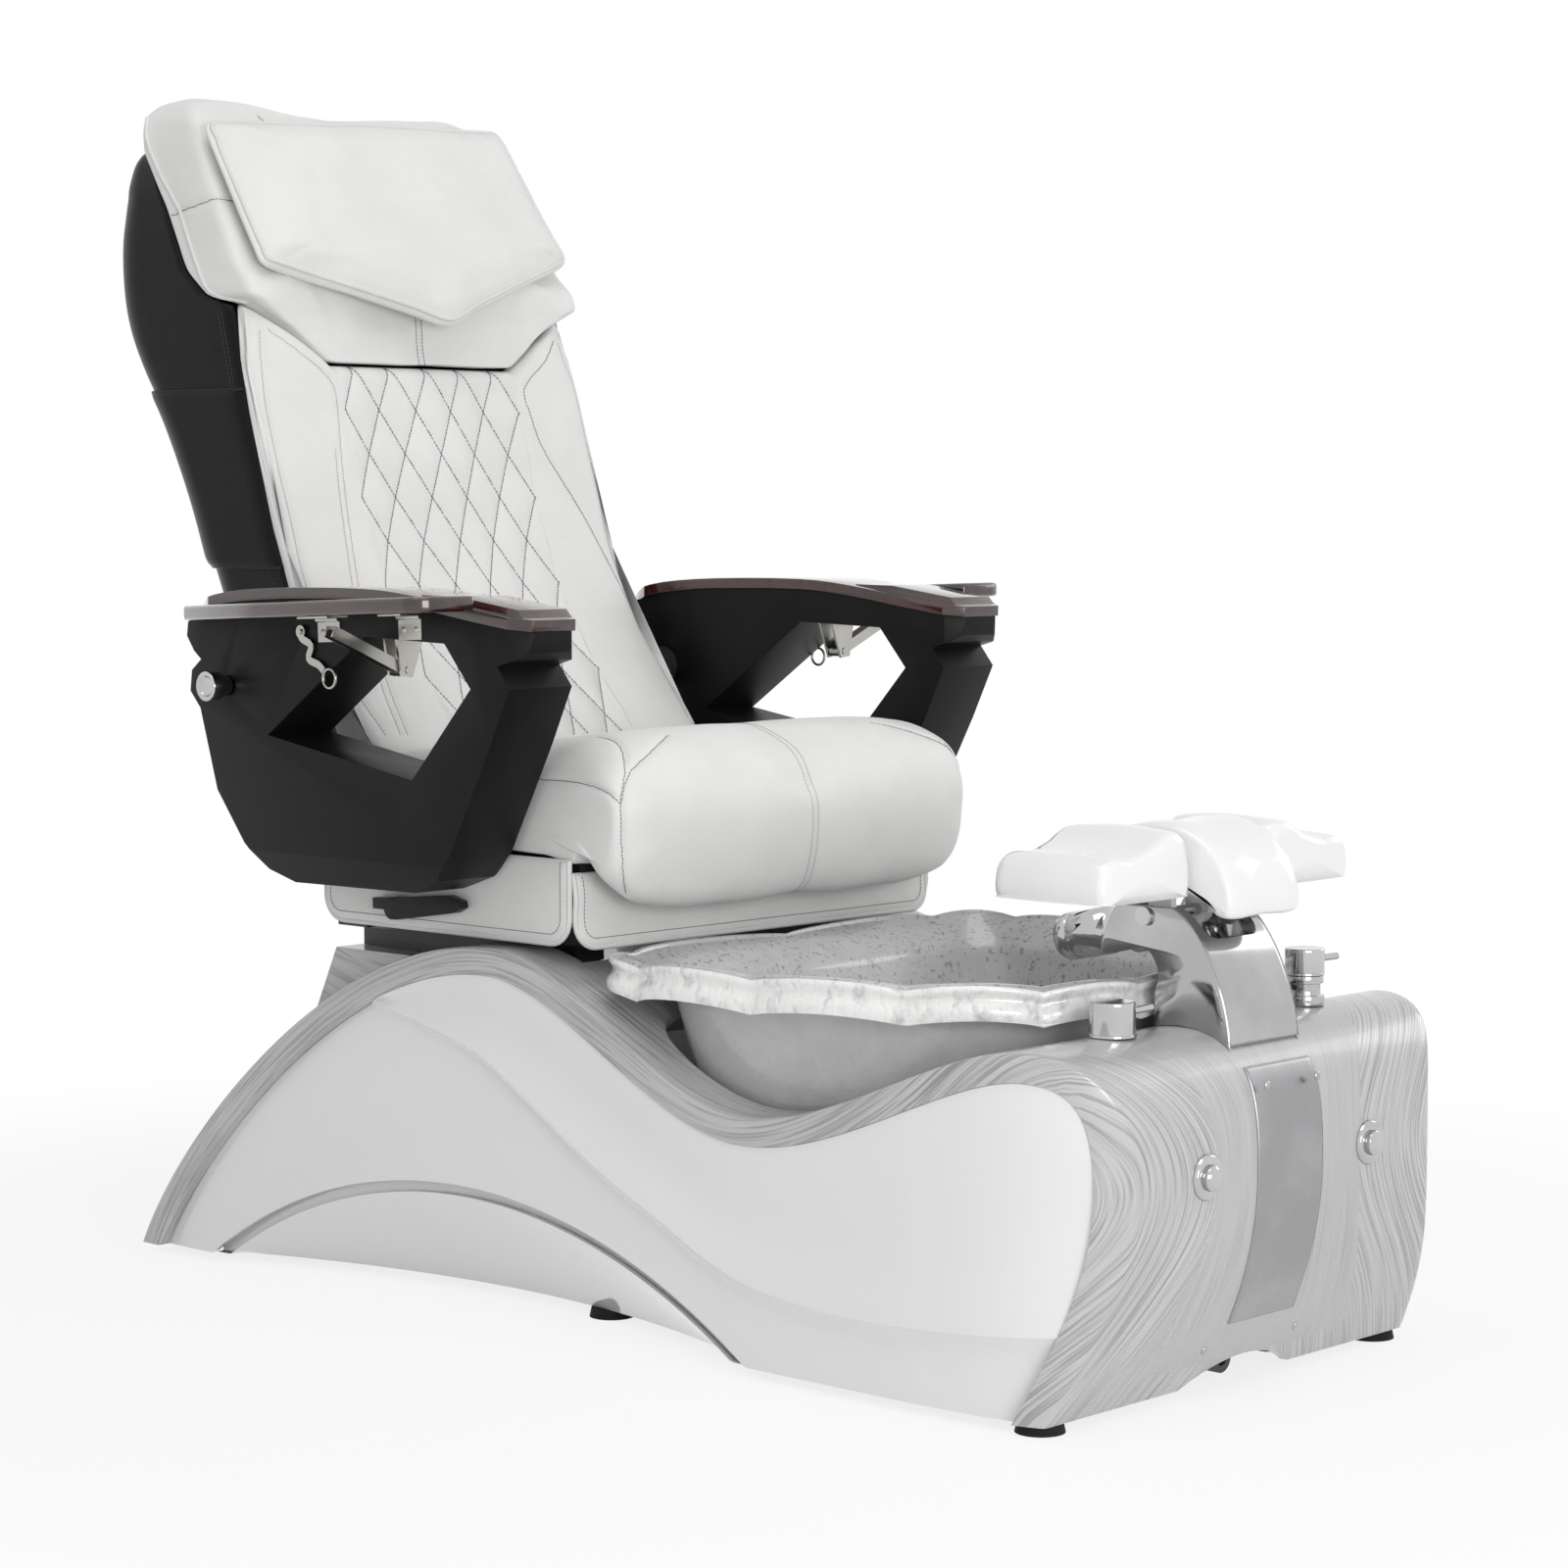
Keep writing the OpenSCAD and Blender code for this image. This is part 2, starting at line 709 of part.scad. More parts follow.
// Side view of the tower: a curved front, and a hook at the rear that holds the hand shower
tower_side = concat(
  [[-612, deck_h - 20], [-612, deck_h + 32], [-616, deck_h + 48], [-608, deck_h + 66], [-596, deck_h + 72],
  [-545, deck_h + 62], [-548, deck_h + 80], [-560, deck_h + 106], [-566, deck_h + 114]],
  bezier([-632, deck_h + 114], [-664, deck_h + 100], [-700, deck_h + 40], [-702, deck_h - 30], 8),
  [[-702, deck_h - 40]]
);

// Clip between the tower's side plates, round the neck of the hand shower
module shower_clip() {
  a = shower_top + 4 * shower_dir;
  b = shower_top + 22 * shower_dir;
  difference() {
    union() {
      rod(a, b, shower_r + 3);
      mirrored() box(shower_r - 4, tower_x - tower_t + eps, a[1], a[1] + 14, a[2] - 21, a[2] - 9);
    }
    rod(a - 5 * shower_dir, b + 5 * shower_dir, shower_r - 5 + 0.2);
  }
}

module above_deck() {
  difference() {
    children();
    across(-base_x, base_x)
      polygon(concat(base_inset(-seat_gap), [[foot_y, 0], [base_y, 0]]));
  }
}

module footrest_tower() {
  front = [for (p = tower_side) if (p[0] <= -632) p];
  color("gainsboro") centred()
    difference() {
      above_deck()
        union() {
          mirrored() across(tower_x - tower_t, tower_x) polygon(tower_side);
          across(-tower_x, tower_x) polygon(concat(front, reverse(beside(front, -tower_t))));
          shower_clip();
        }
      rod([-tower_x - 1, pin_y, pin_z], [tower_x + 1, pin_y, pin_z], tilt_pin_r);
      // Slot in the top of the curved front, under the saddle
      along(-760, -620)
        union() {
          translate([0, deck_h + 94]) square([56, 24], center = true);
          for (s = [-1, 1]) translate([s * 28, deck_h + 94]) circle(12);
          translate([0, deck_h + 120]) square([80, 52], center = true);
        }
    }
}

module tilt_pin() {
  color("silver") centred() {
    rod([-tower_x - 2, pin_y, pin_z], [tower_x + 2, pin_y, pin_z], tilt_pin_r - run);
    mirrored() translate([tower_x + seat_gap, pin_y, pin_z]) rotate([0, 90,
      0]) cylinder(r = tilt_pin_r + 3, h = 4);
  }
}

// Side view of the saddle piece: a crowned top that runs down to a low lip at the front
saddle_side = smooth_ring([
  [-700, saddle_low_z], [-702, 486], [-690, 516], [-664, 540], [-628, pad_crown_h], [-580, pad_crown_h - 4],
  [-540, 532], [-522, 506], [-528, pad_low_z], [-580, pad_low_z + 2], [-640, pad_low_z], [-668, 476],
  [-684, saddle_low_z - 1]
], 2);

// A closed flat outline moved inwards by d
function shrink(p, d) = let (m = len(p)) [
  for (i = [0:m - 1]) let (h = unit(p[(i + 1) % m] - p[(i + m - 1) % m])) p[i] + d * [h[1], -h[0]]
];

// Rings across X of one [y, z] outline, drawn in by an amount at each station
function rings_across(outline, stations) = [
  for (s = stations) [for (p = shrink(outline, s[1])) [s[0], p[0], p[1]]]
];

module footrest_saddle() {
  edge = tower_x + 1;
  color("white") centred()
    difference() {
      union() {
        loft(rings_across(saddle_side, [
          [-edge, 7], [-edge + 3, 2.5], [-edge + 10, 0], [-edge * 0.6, 0], [0, 2],
            [edge * 0.6, 0],
          [edge - 10, 0], [edge - 3, 2.5], [edge, 7]]));
        mirrored()
          across(26, 34)
            difference() {
              union() {
                translate([pin_y, pin_z]) circle(14);
                translate([pin_y - 14, pin_z]) square([28, pad_low_z - pin_z + 8]);
              }
              translate([pin_y, pin_z]) circle(tilt_pin_r + run);
            }
      }
    }
}

// A heel pad: a shell with a long dish between a tall inner ridge and a low outer lip
module heel_pad() {
  x0 = tower_x + 3.2;
  top = pad_crown_h - 4;
  outline = smooth_ring([
    [x0 + 2, pad_low_z + 4], [x0 + 1, pad_low_z + 30], [x0 + 10, top - 6], [x0 + 32, top],
    [x0 + 0.42 * heel_w, top - 12], [x0 + 0.66 * heel_w, top - 21], [x0 + 0.84 * heel_w, top - 20],
    [x0 + 0.96 * heel_w, top - 28], [x0 + heel_w, pad_low_z + 18], [x0 + heel_w - 2, pad_low_z + 3],
    [x0 + heel_w - 12, pad_low_z], [x0 + 12, pad_low_z]
  ], 2);
  front = -600 - heel_len / 2 + 8;
  stations = [[0, 12], [3, 5], [10, 1.5], [26, 0], [0.5 * heel_len, -2], [heel_len - 30, 0],
        [heel_len - 12, 2], [heel_len - 4, 7], [heel_len, 15]];
  mid = x0 + heel_w / 2;
  rings = [
    for (s = stations) let (kx = 1 - 2 * s[1] / heel_w, kz = 1 - s[1] / (top - pad_low_z))
      [for (p = outline) [lerp(mid, p[0], kx), front + s[0], lerp(pad_low_z, p[1], kz)]]
  ];
  loft(rings);
}

module footrest_pad_left() {
  color("white") centred() heel_pad();
}

module footrest_pad_right() {
  color("white") centred() mirror([1, 0, 0]) heel_pad();
}

// Axis of the hand shower as it lies in its holder: down and back over the tub
shower_top = [0, -566, 446];
shower_tip = [0, -462, 424];
shower_dir = unit(shower_tip - shower_top);

module hand_shower() {
  neck = shower_top + 50 * shower_dir;
  color("gainsboro") centred() {
    rod(shower_top, neck + shower_dir, shower_r - 5);
    rod(neck, shower_tip, shower_r);
    rod(shower_tip - shower_dir, shower_tip + 5 * shower_dir, shower_r - 3);
  }
}

// ---- Water and air controls ----

bezel_t = 4;

module mixer_knob() {
  color("gainsboro") centred()
    difference() {
      union() {
        translate([-knob_x, knob_y, deck_h + seat_gap]) cylinder(r = knob_r + 1, h = 3);
        translate([-knob_x, knob_y, deck_h + 3]) cylinder(r = knob_r, h = knob_h - 3);
        rod([-knob_x + knob_r - 4, knob_y - 4, deck_h + knob_h - 12],
          [-knob_x + knob_r + 20, knob_y - 16, deck_h + knob_h - 8], 3.5);
      }
      translate([-knob_x, knob_y, deck_h - 1]) cylinder(r = stem_r + run, h = knob_h - 8);
    }
}

collar_h = 30;

module diverter_knob() {
  z0 = deck_h + collar_h + seat_gap;
  color("gainsboro") centred()
    difference() {
      union() {
        translate([knob_x, knob_y, z0]) cylinder(r = knob_r - 2, h = 27);
        rod([knob_x + knob_r - 6, knob_y - 4, z0 + 15], [knob_x + knob_r + 16, knob_y - 14,
          z0 + 17], 3.5);
      }
      translate([knob_x, knob_y, z0 - 1]) cylinder(r = stem_r + run, h = 20);
    }
}

// Valve bodies under the deck, with the stems that the two knobs turn on
module valve_bodies() {
  color("goldenrod") centred()
    for (s = [-1, 1])
      translate([s * knob_x, knob_y, deck_h]) {
        translate([0, 0, -skin_t - 49]) cylinder(r = 20, h = 46);
        translate([0, 0, -skin_t - 4])
          cylinder(r = stem_r, h = skin_t + 4 + (s < 0 ? knob_h - 10 : collar_h + 18));
      }
  color("gainsboro") centred()
    translate([knob_x, knob_y, deck_h + seat_gap])
      difference() {
        union() {
          cylinder(r = knob_r - 2, h = 10);
          translate([0, 0, 9]) cylinder(r = knob_r - 6, h = collar_h - 13);
          translate([0, 0, collar_h - 8]) cylinder(r = knob_r - 3, h = 8 - seat_gap);
        }
        translate([0, 0, -1]) cylinder(r = stem_r + run, h = collar_h + 2);
      }
}

bezel_back_y = nose_y - seat_gap;

module front_axis(s) {
  translate([s * button_x, bezel_back_y, button_z]) rotate([90, 0, 0]) children();
}

// Chrome flanges on the nose, each with a sleeve through the skin and an air bellows behind it
module button_bezels() {
  color("gainsboro") centred()
    for (s = [-1, 1])
      front_axis(s)
        difference() {
          union() {
            cylinder(r1 = bezel_r, r2 = bezel_r - 2, h = bezel_t);
            translate([0, 0, -40]) cylinder(r = button_hole_r - 0.5, h = 41);
          }
          translate([0, 0, -34]) cylinder(r = cap_r + run, h = 50);
        }
}

module push_button(s, dome) {
  color("gainsboro") centred()
    front_axis(s) {
      translate([0, 0, -24]) cylinder(r = cap_r, h = 24 + bezel_t + button_travel);
      translate([0, 0, bezel_t + button_travel]) cylinder(r1 = cap_r, r2 = cap_r - dome, h = dome);
    }
}

module jet_button() {
  push_button(-1, 3);
}

module light_button() {
  push_button(1, 1);
}

// ---- Seat ----

rail_h = 20;
runner_t = 8;
runner_w = 4;
rail_y0 = block_y0 + 4;
rail_y1 = block_y1 - 6;
runner_len = rail_y1 - rail_y0 - slide_travel + 96;
frame_z0 = rail_top_z + rail_h + runner_t + 2 * seat_gap;
frame_z1 = 440;
frame_y0 = -27.7;
frame_half_w = 235;
hinge_y = 330;
hinge_z = 487;
bracket_x = 266;
bracket_t = 5;
lift_y = 400;
lift_z = 661;

module slide_rails() {
  color("dimgray") centred()
    mirrored()
      difference() {
        box(rail_x - rail_w / 2, rail_x + rail_w / 2, rail_y0, rail_y1,
          rail_top_z + seat_gap, rail_top_z + rail_h);
        for (y = [rail_y0 + 30, rail_y1 - 30])
          translate([rail_x, y, rail_top_z + rail_h - 6]) cylinder(r = 6, h = 10);
      }
}

// Channels that ride over the rails, with low sides
module slide_runners() {
  z = rail_top_z + rail_h + seat_gap;
  half = rail_w / 2 + seat_gap + runner_w;
  color("gray") centred()
    mirrored()
      difference() {
        box(rail_x - half, rail_x + half, rail_y0, rail_y0 + runner_len, z - 12, z + runner_t);
        box(rail_x - half + runner_w, rail_x + half - runner_w, rail_y0 - 1, rail_y0 + runner_len + 1,
          z - 13, z);
      }
}

body_pivot = [0, 40, 420];
crank_arm = 65;
crank_pin_r = 5;

// Welded frame under the cushion: side members, cross members, hinge lugs and the arm brackets
module seat_frame() {
  color("dimgray") centred()
    difference() {
      union() {
        mirrored() {
          box(frame_half_w - 58, frame_half_w, frame_y0, 366, frame_z0, frame_z1);
          // Hinge lug of the backrest
          across(frame_half_w - 8, frame_half_w)
            union() {
              translate([hinge_y, hinge_z]) circle(recline_pin_r + 9);
              translate([hinge_y - recline_pin_r - 9, frame_z1 - 2])
                square([2 * recline_pin_r + 18, hinge_z - frame_z1 + 2]);
            }
          rod([frame_half_w - 30, hinge_y, hinge_z], [frame_half_w + 4, hinge_y, hinge_z], recline_pin_r);
          // Bracket that carries an arm
          box(frame_half_w - 20, bracket_x + bracket_t, 298, 346, frame_z0, frame_z0 + 6);
          across(bracket_x, bracket_x + bracket_t)
            polygon([[298, frame_z0], [346, frame_z0], [350, 480], [lift_y + 26, lift_z],
              [lift_y + 12, lift_z + 24], [lift_y - 12, lift_z + 24], [lift_y - 26, lift_z], [300, 480]]);
          rod([bracket_x, lift_y, lift_z], [arm_in - seat_gap, lift_y, lift_z], shaft_r + 12);
          rod([bracket_x, lift_y, lift_z], [arm_in + arm_w - 18, lift_y, lift_z], shaft_r);
        }
        box(-frame_half_w, frame_half_w, frame_y0, 10, frame_z0, frame_z1);
        box(-frame_half_w, frame_half_w, 336, 366, frame_z0, frame_z0 + 5);
        // Fork for the recline actuator
        mirrored() box(24, 32, 2, body_pivot[1] + 12, frame_z0, frame_z1);
        // Seat pan on its two side walls
        box(-frame_half_w, frame_half_w, 64, 278, seat_low_z - seat_gap - 4, seat_low_z - seat_gap);
        mirrored() box(frame_half_w - 4, frame_half_w, 64, 278, frame_z1 - 1, seat_low_z - seat_gap);
        // Outriggers that carry the skirts
        for (y = [24, 268])
          mirrored() box(frame_half_w - 1, skirt_in - seat_gap, y, y + 20, frame_z0 + 14, frame_z1);
      }
      mirrored() rod([arm_in + 30, lift_y, lift_z], [arm_in + arm_w, lift_y, lift_z], arm_stem_r + run);
      rod([-40, body_pivot[1], body_pivot[2]], [40, body_pivot[1], body_pivot[2]], crank_pin_r + run);
      rod([-frame_half_w - 1, lever_y, lever_z], [-frame_half_w + 59, lever_y, lever_z], lever_r + run);
    }
}

arm_stem_r = 5;
lever_y = 226;
lever_z = 425;
lever_r = 7;

// Side view of the cushion: a deep roll at the front, a crowned top and a flat underside
seat_back_y = 294;
seat_low_z = 497;
seat_side = concat(
  smooth_path([[8, seat_low_z - 2], [-34, 482], [-58, seat_h - roll_t + 8], [-80, seat_h - roll_t],
        [-103, seat_h - roll_t + 18], [-113, seat_h - 90], [-104, seat_h - 40], [-76, seat_h - 12],
        [-22, seat_h], [60, seat_h - 8], [180, seat_h - 20], [270, seat_h - 27],
        [seat_back_y - 4, seat_h - 38], [seat_back_y, seat_h - 62]], 2),
  [[seat_back_y, seat_low_z + 30], [seat_back_y - 6, seat_low_z + 4], [seat_back_y - 14, seat_low_z],
  [150, seat_low_z], [60, seat_low_z]]
);

// How far the outline is drawn towards its middle at each distance across, with its seams
seat_stations = [[0, 0.04], [9, 0], [60, -0.02], [120, -0.01], [180, 0.01], [206, 0.04], [214, 0.09],
  [222, 0.06],
  [242, 0.11], [257, 0.2], [267, 0.31], [seat_w / 2 - 2, 0.42], [seat_w / 2, 0.52]];
seat_mid_z = 540;

module seat_cushion() {
  all = concat([for (s = reverse(seat_stations)) if (s[0] > 0) [-s[0], s[1]]], seat_stations);
  rings = [
    for (s = all) [
      for (p = seat_side)
        let (flat = p[1] < seat_low_z + 1 && p[0] > -34)
          [s[0], lerp(p[0], max(p[0], -60), s[1]), flat ? p[1] : lerp(p[1], seat_mid_z, s[1])]
    ]
  ];
  color("white") centred() loft(rings);
}

skirt_in = seat_w / 2 + 1.5;
skirt_z0 = 403;
skirt_z1 = 492;
paddle_y0 = 119;

// Side view of a skirt, with rounded lower corners
module skirt_side() {
  r = 28;
  difference() {
    union() {
      translate([-30, skirt_z0 + r]) square([385, skirt_z1 - skirt_z0 - r]);
      translate([-30 + r, skirt_z0]) square([385 - 2 * r, r + 1]);
      translate([-30 + r, skirt_z0 + r]) circle(r);
      translate([355 - r, skirt_z0 + r]) circle(r);
    }
    translate([lever_y, lever_z]) circle(lever_r + 3);
  }
}

module side_skirts() {
  color("white") centred()
    mirrored() across(skirt_in, skirt_in + skirt_t) skirt_side();
}

// Front apron under the cushion's roll, clear of the tub rim
module front_apron() {
  front = smooth_path([[-31, 478], [-36, 455], [-35, 430], [-39, 398]], 4);
  color("white") centred()
    across(-seat_w / 2, seat_w / 2)
      polygon(concat(front, reverse(beside(front, -skirt_t))));
}

// Slide release: a flat paddle on a cross shaft, on the right side
module slide_lever() {
  x = skirt_in + skirt_t + 3;
  color("dimgray") centred() {
    mirror([1, 0, 0]) {
      rod([frame_half_w - 40, lever_y, lever_z], [x + 6, lever_y, lever_z], lever_r);
      across(x, x + 13)
        union() {
          translate([lever_y, lever_z]) circle(12);
          polygon([[lever_y - 6, lever_z + 12], [paddle_y0 + 20, lever_z + 20], [paddle_y0,
            lever_z + 15],
              [paddle_y0 - 2, lever_z + 8], [paddle_y0 + 10, lever_z + 2], [lever_y - 6,
                lever_z - 12]]);
          translate([lever_y, lever_z - 2]) square([30, 12]);
        }
    }
  }
}

rod_r = 8;
eye_gap = 5;
crank_y = hinge_y;
crank_z = hinge_z - crank_arm;
rod_axis_dir = unit([0, crank_y, crank_z] - body_pivot);
tube_end = body_pivot + 190 * rod_axis_dir;

// Recline actuator: its tube and gear case turn on a pin in the seat frame
module actuator_body() {
  color("black") centred()
    difference() {
      union() {
        rod(body_pivot - 2 * rod_axis_dir, tube_end, 16);
        rod([-23, body_pivot[1], body_pivot[2]], [23, body_pivot[1], body_pivot[2]], 16);
        box(-20, 20, body_pivot[1] + 14, body_pivot[1] + 62, body_pivot[2] - 17, body_pivot[2] + 18);
      }
      rod(body_pivot + 66 * rod_axis_dir, tube_end + 10 * rod_axis_dir, rod_r + run);
    }
  color("silver") centred()
    rod([-33, body_pivot[1], body_pivot[2]], [33, body_pivot[1], body_pivot[2]], crank_pin_r);
}

module actuator_rod() {
  eye = [0, crank_y, crank_z];
  eye_r = crank_pin_r + eye_gap;
  color("silver") centred()
    difference() {
      union() {
        rod(body_pivot + 112 * rod_axis_dir, eye - (eye_r + 1) * rod_axis_dir, rod_r);
        rod([-9, crank_y, crank_z], [9, crank_y, crank_z], eye_r + 6);
      }
      rod([-10, crank_y, crank_z], [10, crank_y, crank_z], eye_r);
    }
}

// ---- Backrest ----

shell_z0 = 490;
shell_z1 = 1282;
wing_z = 1090;
pad_corner_x = 141;
pad_low_edge = 1017;
head_dip = 26;

// Front edge and rear face of the shell, and half its width, at each height
shell_front = [[490, 350], [560, 375], [650, 405], [750, 441], [830, 472], [900, 492], [960, 512],
  [1010, 525],
       [1079, 545], [1090, 590], [1120, 629], [1195, 676], [1262, 730], [1282, 736]];
shell_rear = [[490, 502], [560, 532], [650, 565], [750, 600], [830, 636], [900, 670], [960, 704], [1010, 740],
       [1060, 768], [1120, 784], [1180, 788], [1230, 782], [1262, 764], [1282, 744]];
shell_half = [[490, 215], [560, 235], [650, 247], [750, 252], [900, 253], [1060, 252], [1120, 249],
  [1180, 243], [1230, 232], [1262, 214], [1282, 186]];
shell_rows = [490, 525, 560, 605, 650, 700, 750, 790, 830, 865, 900, 930, 960, 985, 1010, 1035, 1060,
  1079, 1090,
  1120, 1150, 1180, 1205, 1230, 1248, 1262, 1282];

// Plan outline of the shell at one height: straight sides and a round-cornered rear, set in by d
function shell_ring(z, d, front_out) = let (
  y0 = on_line(shell_front, z) - front_out, y1 = on_line(shell_rear, z) - d,
  w = on_line(shell_half, z) + (shell_w / 2 - 252) - d,
  c = min(60, 0.6 * (y1 + d - y0), (w + d) / 2) - d) concat(
    [for (k = [0:3]) [w, lerp(y0, y1 - c, k / 4), z]],
    [for (k = [0:7]) [w - c + c * cos(90 * k / 7), y1 - c + c * sin(90 * k / 7), z]],
    [[w / 3, y1 + 2, z], [-w / 3, y1 + 2, z]],
    [for (k = [7:-1:0]) [-w + c - c * cos(90 * k / 7), y1 - c + c * sin(90 * k / 7), z]],
    [for (k = [3:-1:0]) [-w, lerp(y0, y1 - c, k / 4), z]]);

module shell_solid(d, front_out, z_low, z_high) {
  rows = concat([z_low], [for (z = shell_rows) if (z > z_low && z < z_high) z], [z_high]);
  loft([for (z = rows) shell_ring(z, d, front_out)]);
}

module back_shell() {
  color("black") centred()
    difference() {
      shell_solid(0, 0, shell_z0, shell_z1);
      loft([for (z = concat([shell_z0 - 5], [for (z = shell_rows) if (z > shell_z0 && z < 1200) z]))
        shell_ring(z, shell_t, 5)]);
    }
}

band_z0 = 785;
band_z1 = 985;
band_t = 3;
band_stop = 13;

// Padded flaps that wrap the shell's sides
module side_bands() {
  color("black") centred()
    intersection() {
      difference() {
        shell_solid(-seat_gap - band_t, 0, 750, 1010);
        shell_solid(-seat_gap, 5, 750, 1010);
      }
      across(-shell_w, shell_w)
        polygon(concat([[200, band_z0], [200, band_z1]],
          [for (z = [band_z1, 960, 900, 830, band_z0]) [on_line(shell_rear, z) - band_stop, z]]));
    }
}

cushion_front = [[528, 318], [560, 303], [589, 295], [612, 312], [650, 348], [704, 391], [760, 424],
  [816, 449],
        [870, 467], [930, 484], [1015, 505], [1090, 524]];
cushion_half = [[528, back_w / 2 - 12], [620, back_w / 2 - 6], [760, back_w / 2 - 6], [900, back_w / 2 - 4],
        [1015, back_w / 2 - 6], [1090, back_w / 2 - 18]];
quilt_x = 135;
diamond_w = 54;
diamond_h = 100;
quilt_top = 1014;
puff = 7;

function quilt(x, z) =
  let (u = x / diamond_w + (z - quilt_top) / diamond_h, v = x / diamond_w - (z - quilt_top) / diamond_h)
  abs(x) < quilt_x + 1 && z > 585 && z < quilt_top + 1 ? puff * abs(sin(180 * u) * sin(180 * v)) : 0;

// Top edge of the cushion at a distance from the middle, under the head pad's wings
function cushion_top(x) = pad_low_edge - 4 * soft_gap
  + max(0, abs(x) - pad_corner_x) * (wing_z - pad_low_edge) / (back_w / 2 - pad_corner_x);

cushion_columns = concat([for (k = [0:10]) 13.5 * k], [pad_corner_x, 150, 190, 225, 246, 256, 260]);

// How far the front stands back from its line beside the quilted panel
cushion_roll = [[0, 0], [134, 0], [135, 3], [150, -3], [190, -6], [225, -3], [246, 2], [256, 8], [260, 14]];

function cushion_x(c, z) = c <= 190 ? c : lerp(190, on_line(cushion_half, z), (c - 190) / 70);

module back_cushion() {
  rows = concat([528, 542, 560], [for (k = [17:-1:0]) quilt_top - 25 * k]);
  back_rows = [1010, 960, 900, 830, 750, 650, 560, 528];
  columns = concat([for (c = reverse(cushion_columns)) if (c > 0) -c], cushion_columns);
  rings = [
    for (c = columns)
      let (s = c < 0 ? -1 : 1, a = abs(c), top = cushion_top(cushion_x(a, 1060)),
        in = on_line(cushion_roll, a))
        concat(
          [for (z = rows)
            [s * cushion_x(a, z), on_line(cushion_front, z) + in - quilt(c, z), z]],
          [[s * cushion_x(a, top), on_line(cushion_front, top) + in + 2, top]],
          [[s * cushion_x(a, top), on_line(shell_front, min(top, 1078)) - soft_gap, top]],
          [for (z = back_rows)
            [s * cushion_x(a, z), on_line(shell_front, z) - soft_gap, z]])
  ];
  color("white") centred() loft(rings);
}

// Head pad: its lower edge runs between two corners, and rises to a wing at each side
pad_centre_y = [[1017, 506], [1061, 517], [1090, 521], [1133, 531], [1230, 592], [1302, 638], [1326, 660]];
pad_wing_y = [[1017, 506], [1061, 508], [1090, 500], [1110, 506], [1133, 531], [1230, 592], [1302, 638],
  [1326, 664]];
pad_rear_y = [[1017, 526], [1079, 544], [1090, 589], [1120, 628], [1195, 675], [1262, 729],
  [1284, 737], [1302, 738], [1318, 726], [1327, 700]];
pad_half = [[1017, pad_corner_x], [1090, 258], [1133, 257], [1200, 249], [1262, 241], [1302, 232],
  [1318, 218], [1327, 190]];
pad_rows = [1017, 1030, 1048, 1068, 1079, 1090, 1104, 1120, 1133, 1165, 1195, 1230, 1262, 1284, 1302,
  1318, 1327];

module head_pad() {
  rings = [
    for (z = pad_rows)
      let (w = on_line(pad_half, z), yc = on_line(pad_centre_y, z), yw = on_line(pad_wing_y, z),
        yr = on_line(pad_rear_y, z) - soft_gap, r = min(12, (yr - yc) / 3))
        [for (p = both_sides([[0, yc], [0.3 * w, yc], [0.6 * w, lerp(yc, yw, 0.25)],
                   [0.82 * w, lerp(yc, yw, 0.7)], [w - r, yw], [w - 0.3 * r, yw + 0.3 * r],
                   [w, yw + r], [w, yr - r], [w - r, yr], [0.6 * w, yr], [0, yr]]))
          [p[0], p[1], z - head_dip * max(0, (z - 1284) / 43) * (1 - pow(p[0] / w, 2))]]
  ];
  color("white") centred() loft(rings);
}

pillow_y = 444.7;
pillow_z = 1061;
pillow_lean = 32.2;
pillow_long = 285;

pillow_shape = smooth_ring(both_sides([
  for (p = [[0, 0], [0.22, 20], [0.55, 48], [0.92, 79], [0.995, 90], [0.995, 108], [0.975, 190],
       [0.96, 262], [0.945, 276], [0.89, 281], [0.45, pillow_long - 1], [0, pillow_long]])
    [p[0] * pillow_w / 2, p[1]]
]), 2);

module pillow() {
  rings = [
    for (s = [[0.4, 0], [0.75, 1.5], [0.93, 6], [0.99, 0.32 * pillow_t], [1, 0.5 * pillow_t],
         [0.99, 0.68 * pillow_t], [0.93, 0.9 * pillow_t], [0.75, 0.97 * pillow_t], [0.4, pillow_t]])
      [for (p = pillow_shape)
        let (u = p[0] * s[0] + pillow_w / 2, v = (p[1] - 150) * s[0] - 30,
          x = u * cos(pillow_roll) - v * sin(pillow_roll) - pillow_w / 2,
          a = u * sin(pillow_roll) + v * cos(pillow_roll) + 180)
          [x, pillow_y + a * sin(pillow_lean) + s[1] * cos(pillow_lean),
          pillow_z + a * cos(pillow_lean) - s[1] * sin(pillow_lean)]]
  ];
  color("white") centred() loft(rings);
}

// Line of the massage rollers' axis and of the track that carries them
track_dir = unit([0, 120, 360]);
roller_at = [0, 470, 700];
track_in = 150;
track_w = 20;
track_t = 24;
track_back = 34;

function track_at(z) = let (a = roller_at + [0, track_back, 0]) a + ((z - a[2]) / track_dir[2]) * track_dir;

module track_strip(z0, z1, half) {
  a = track_at(z0);
  b = track_at(z1);
  polygon([[a[1] - half, a[2]], [a[1] + half, a[2]], [b[1] + half, b[2]], [b[1] - half, b[2]]]);
}

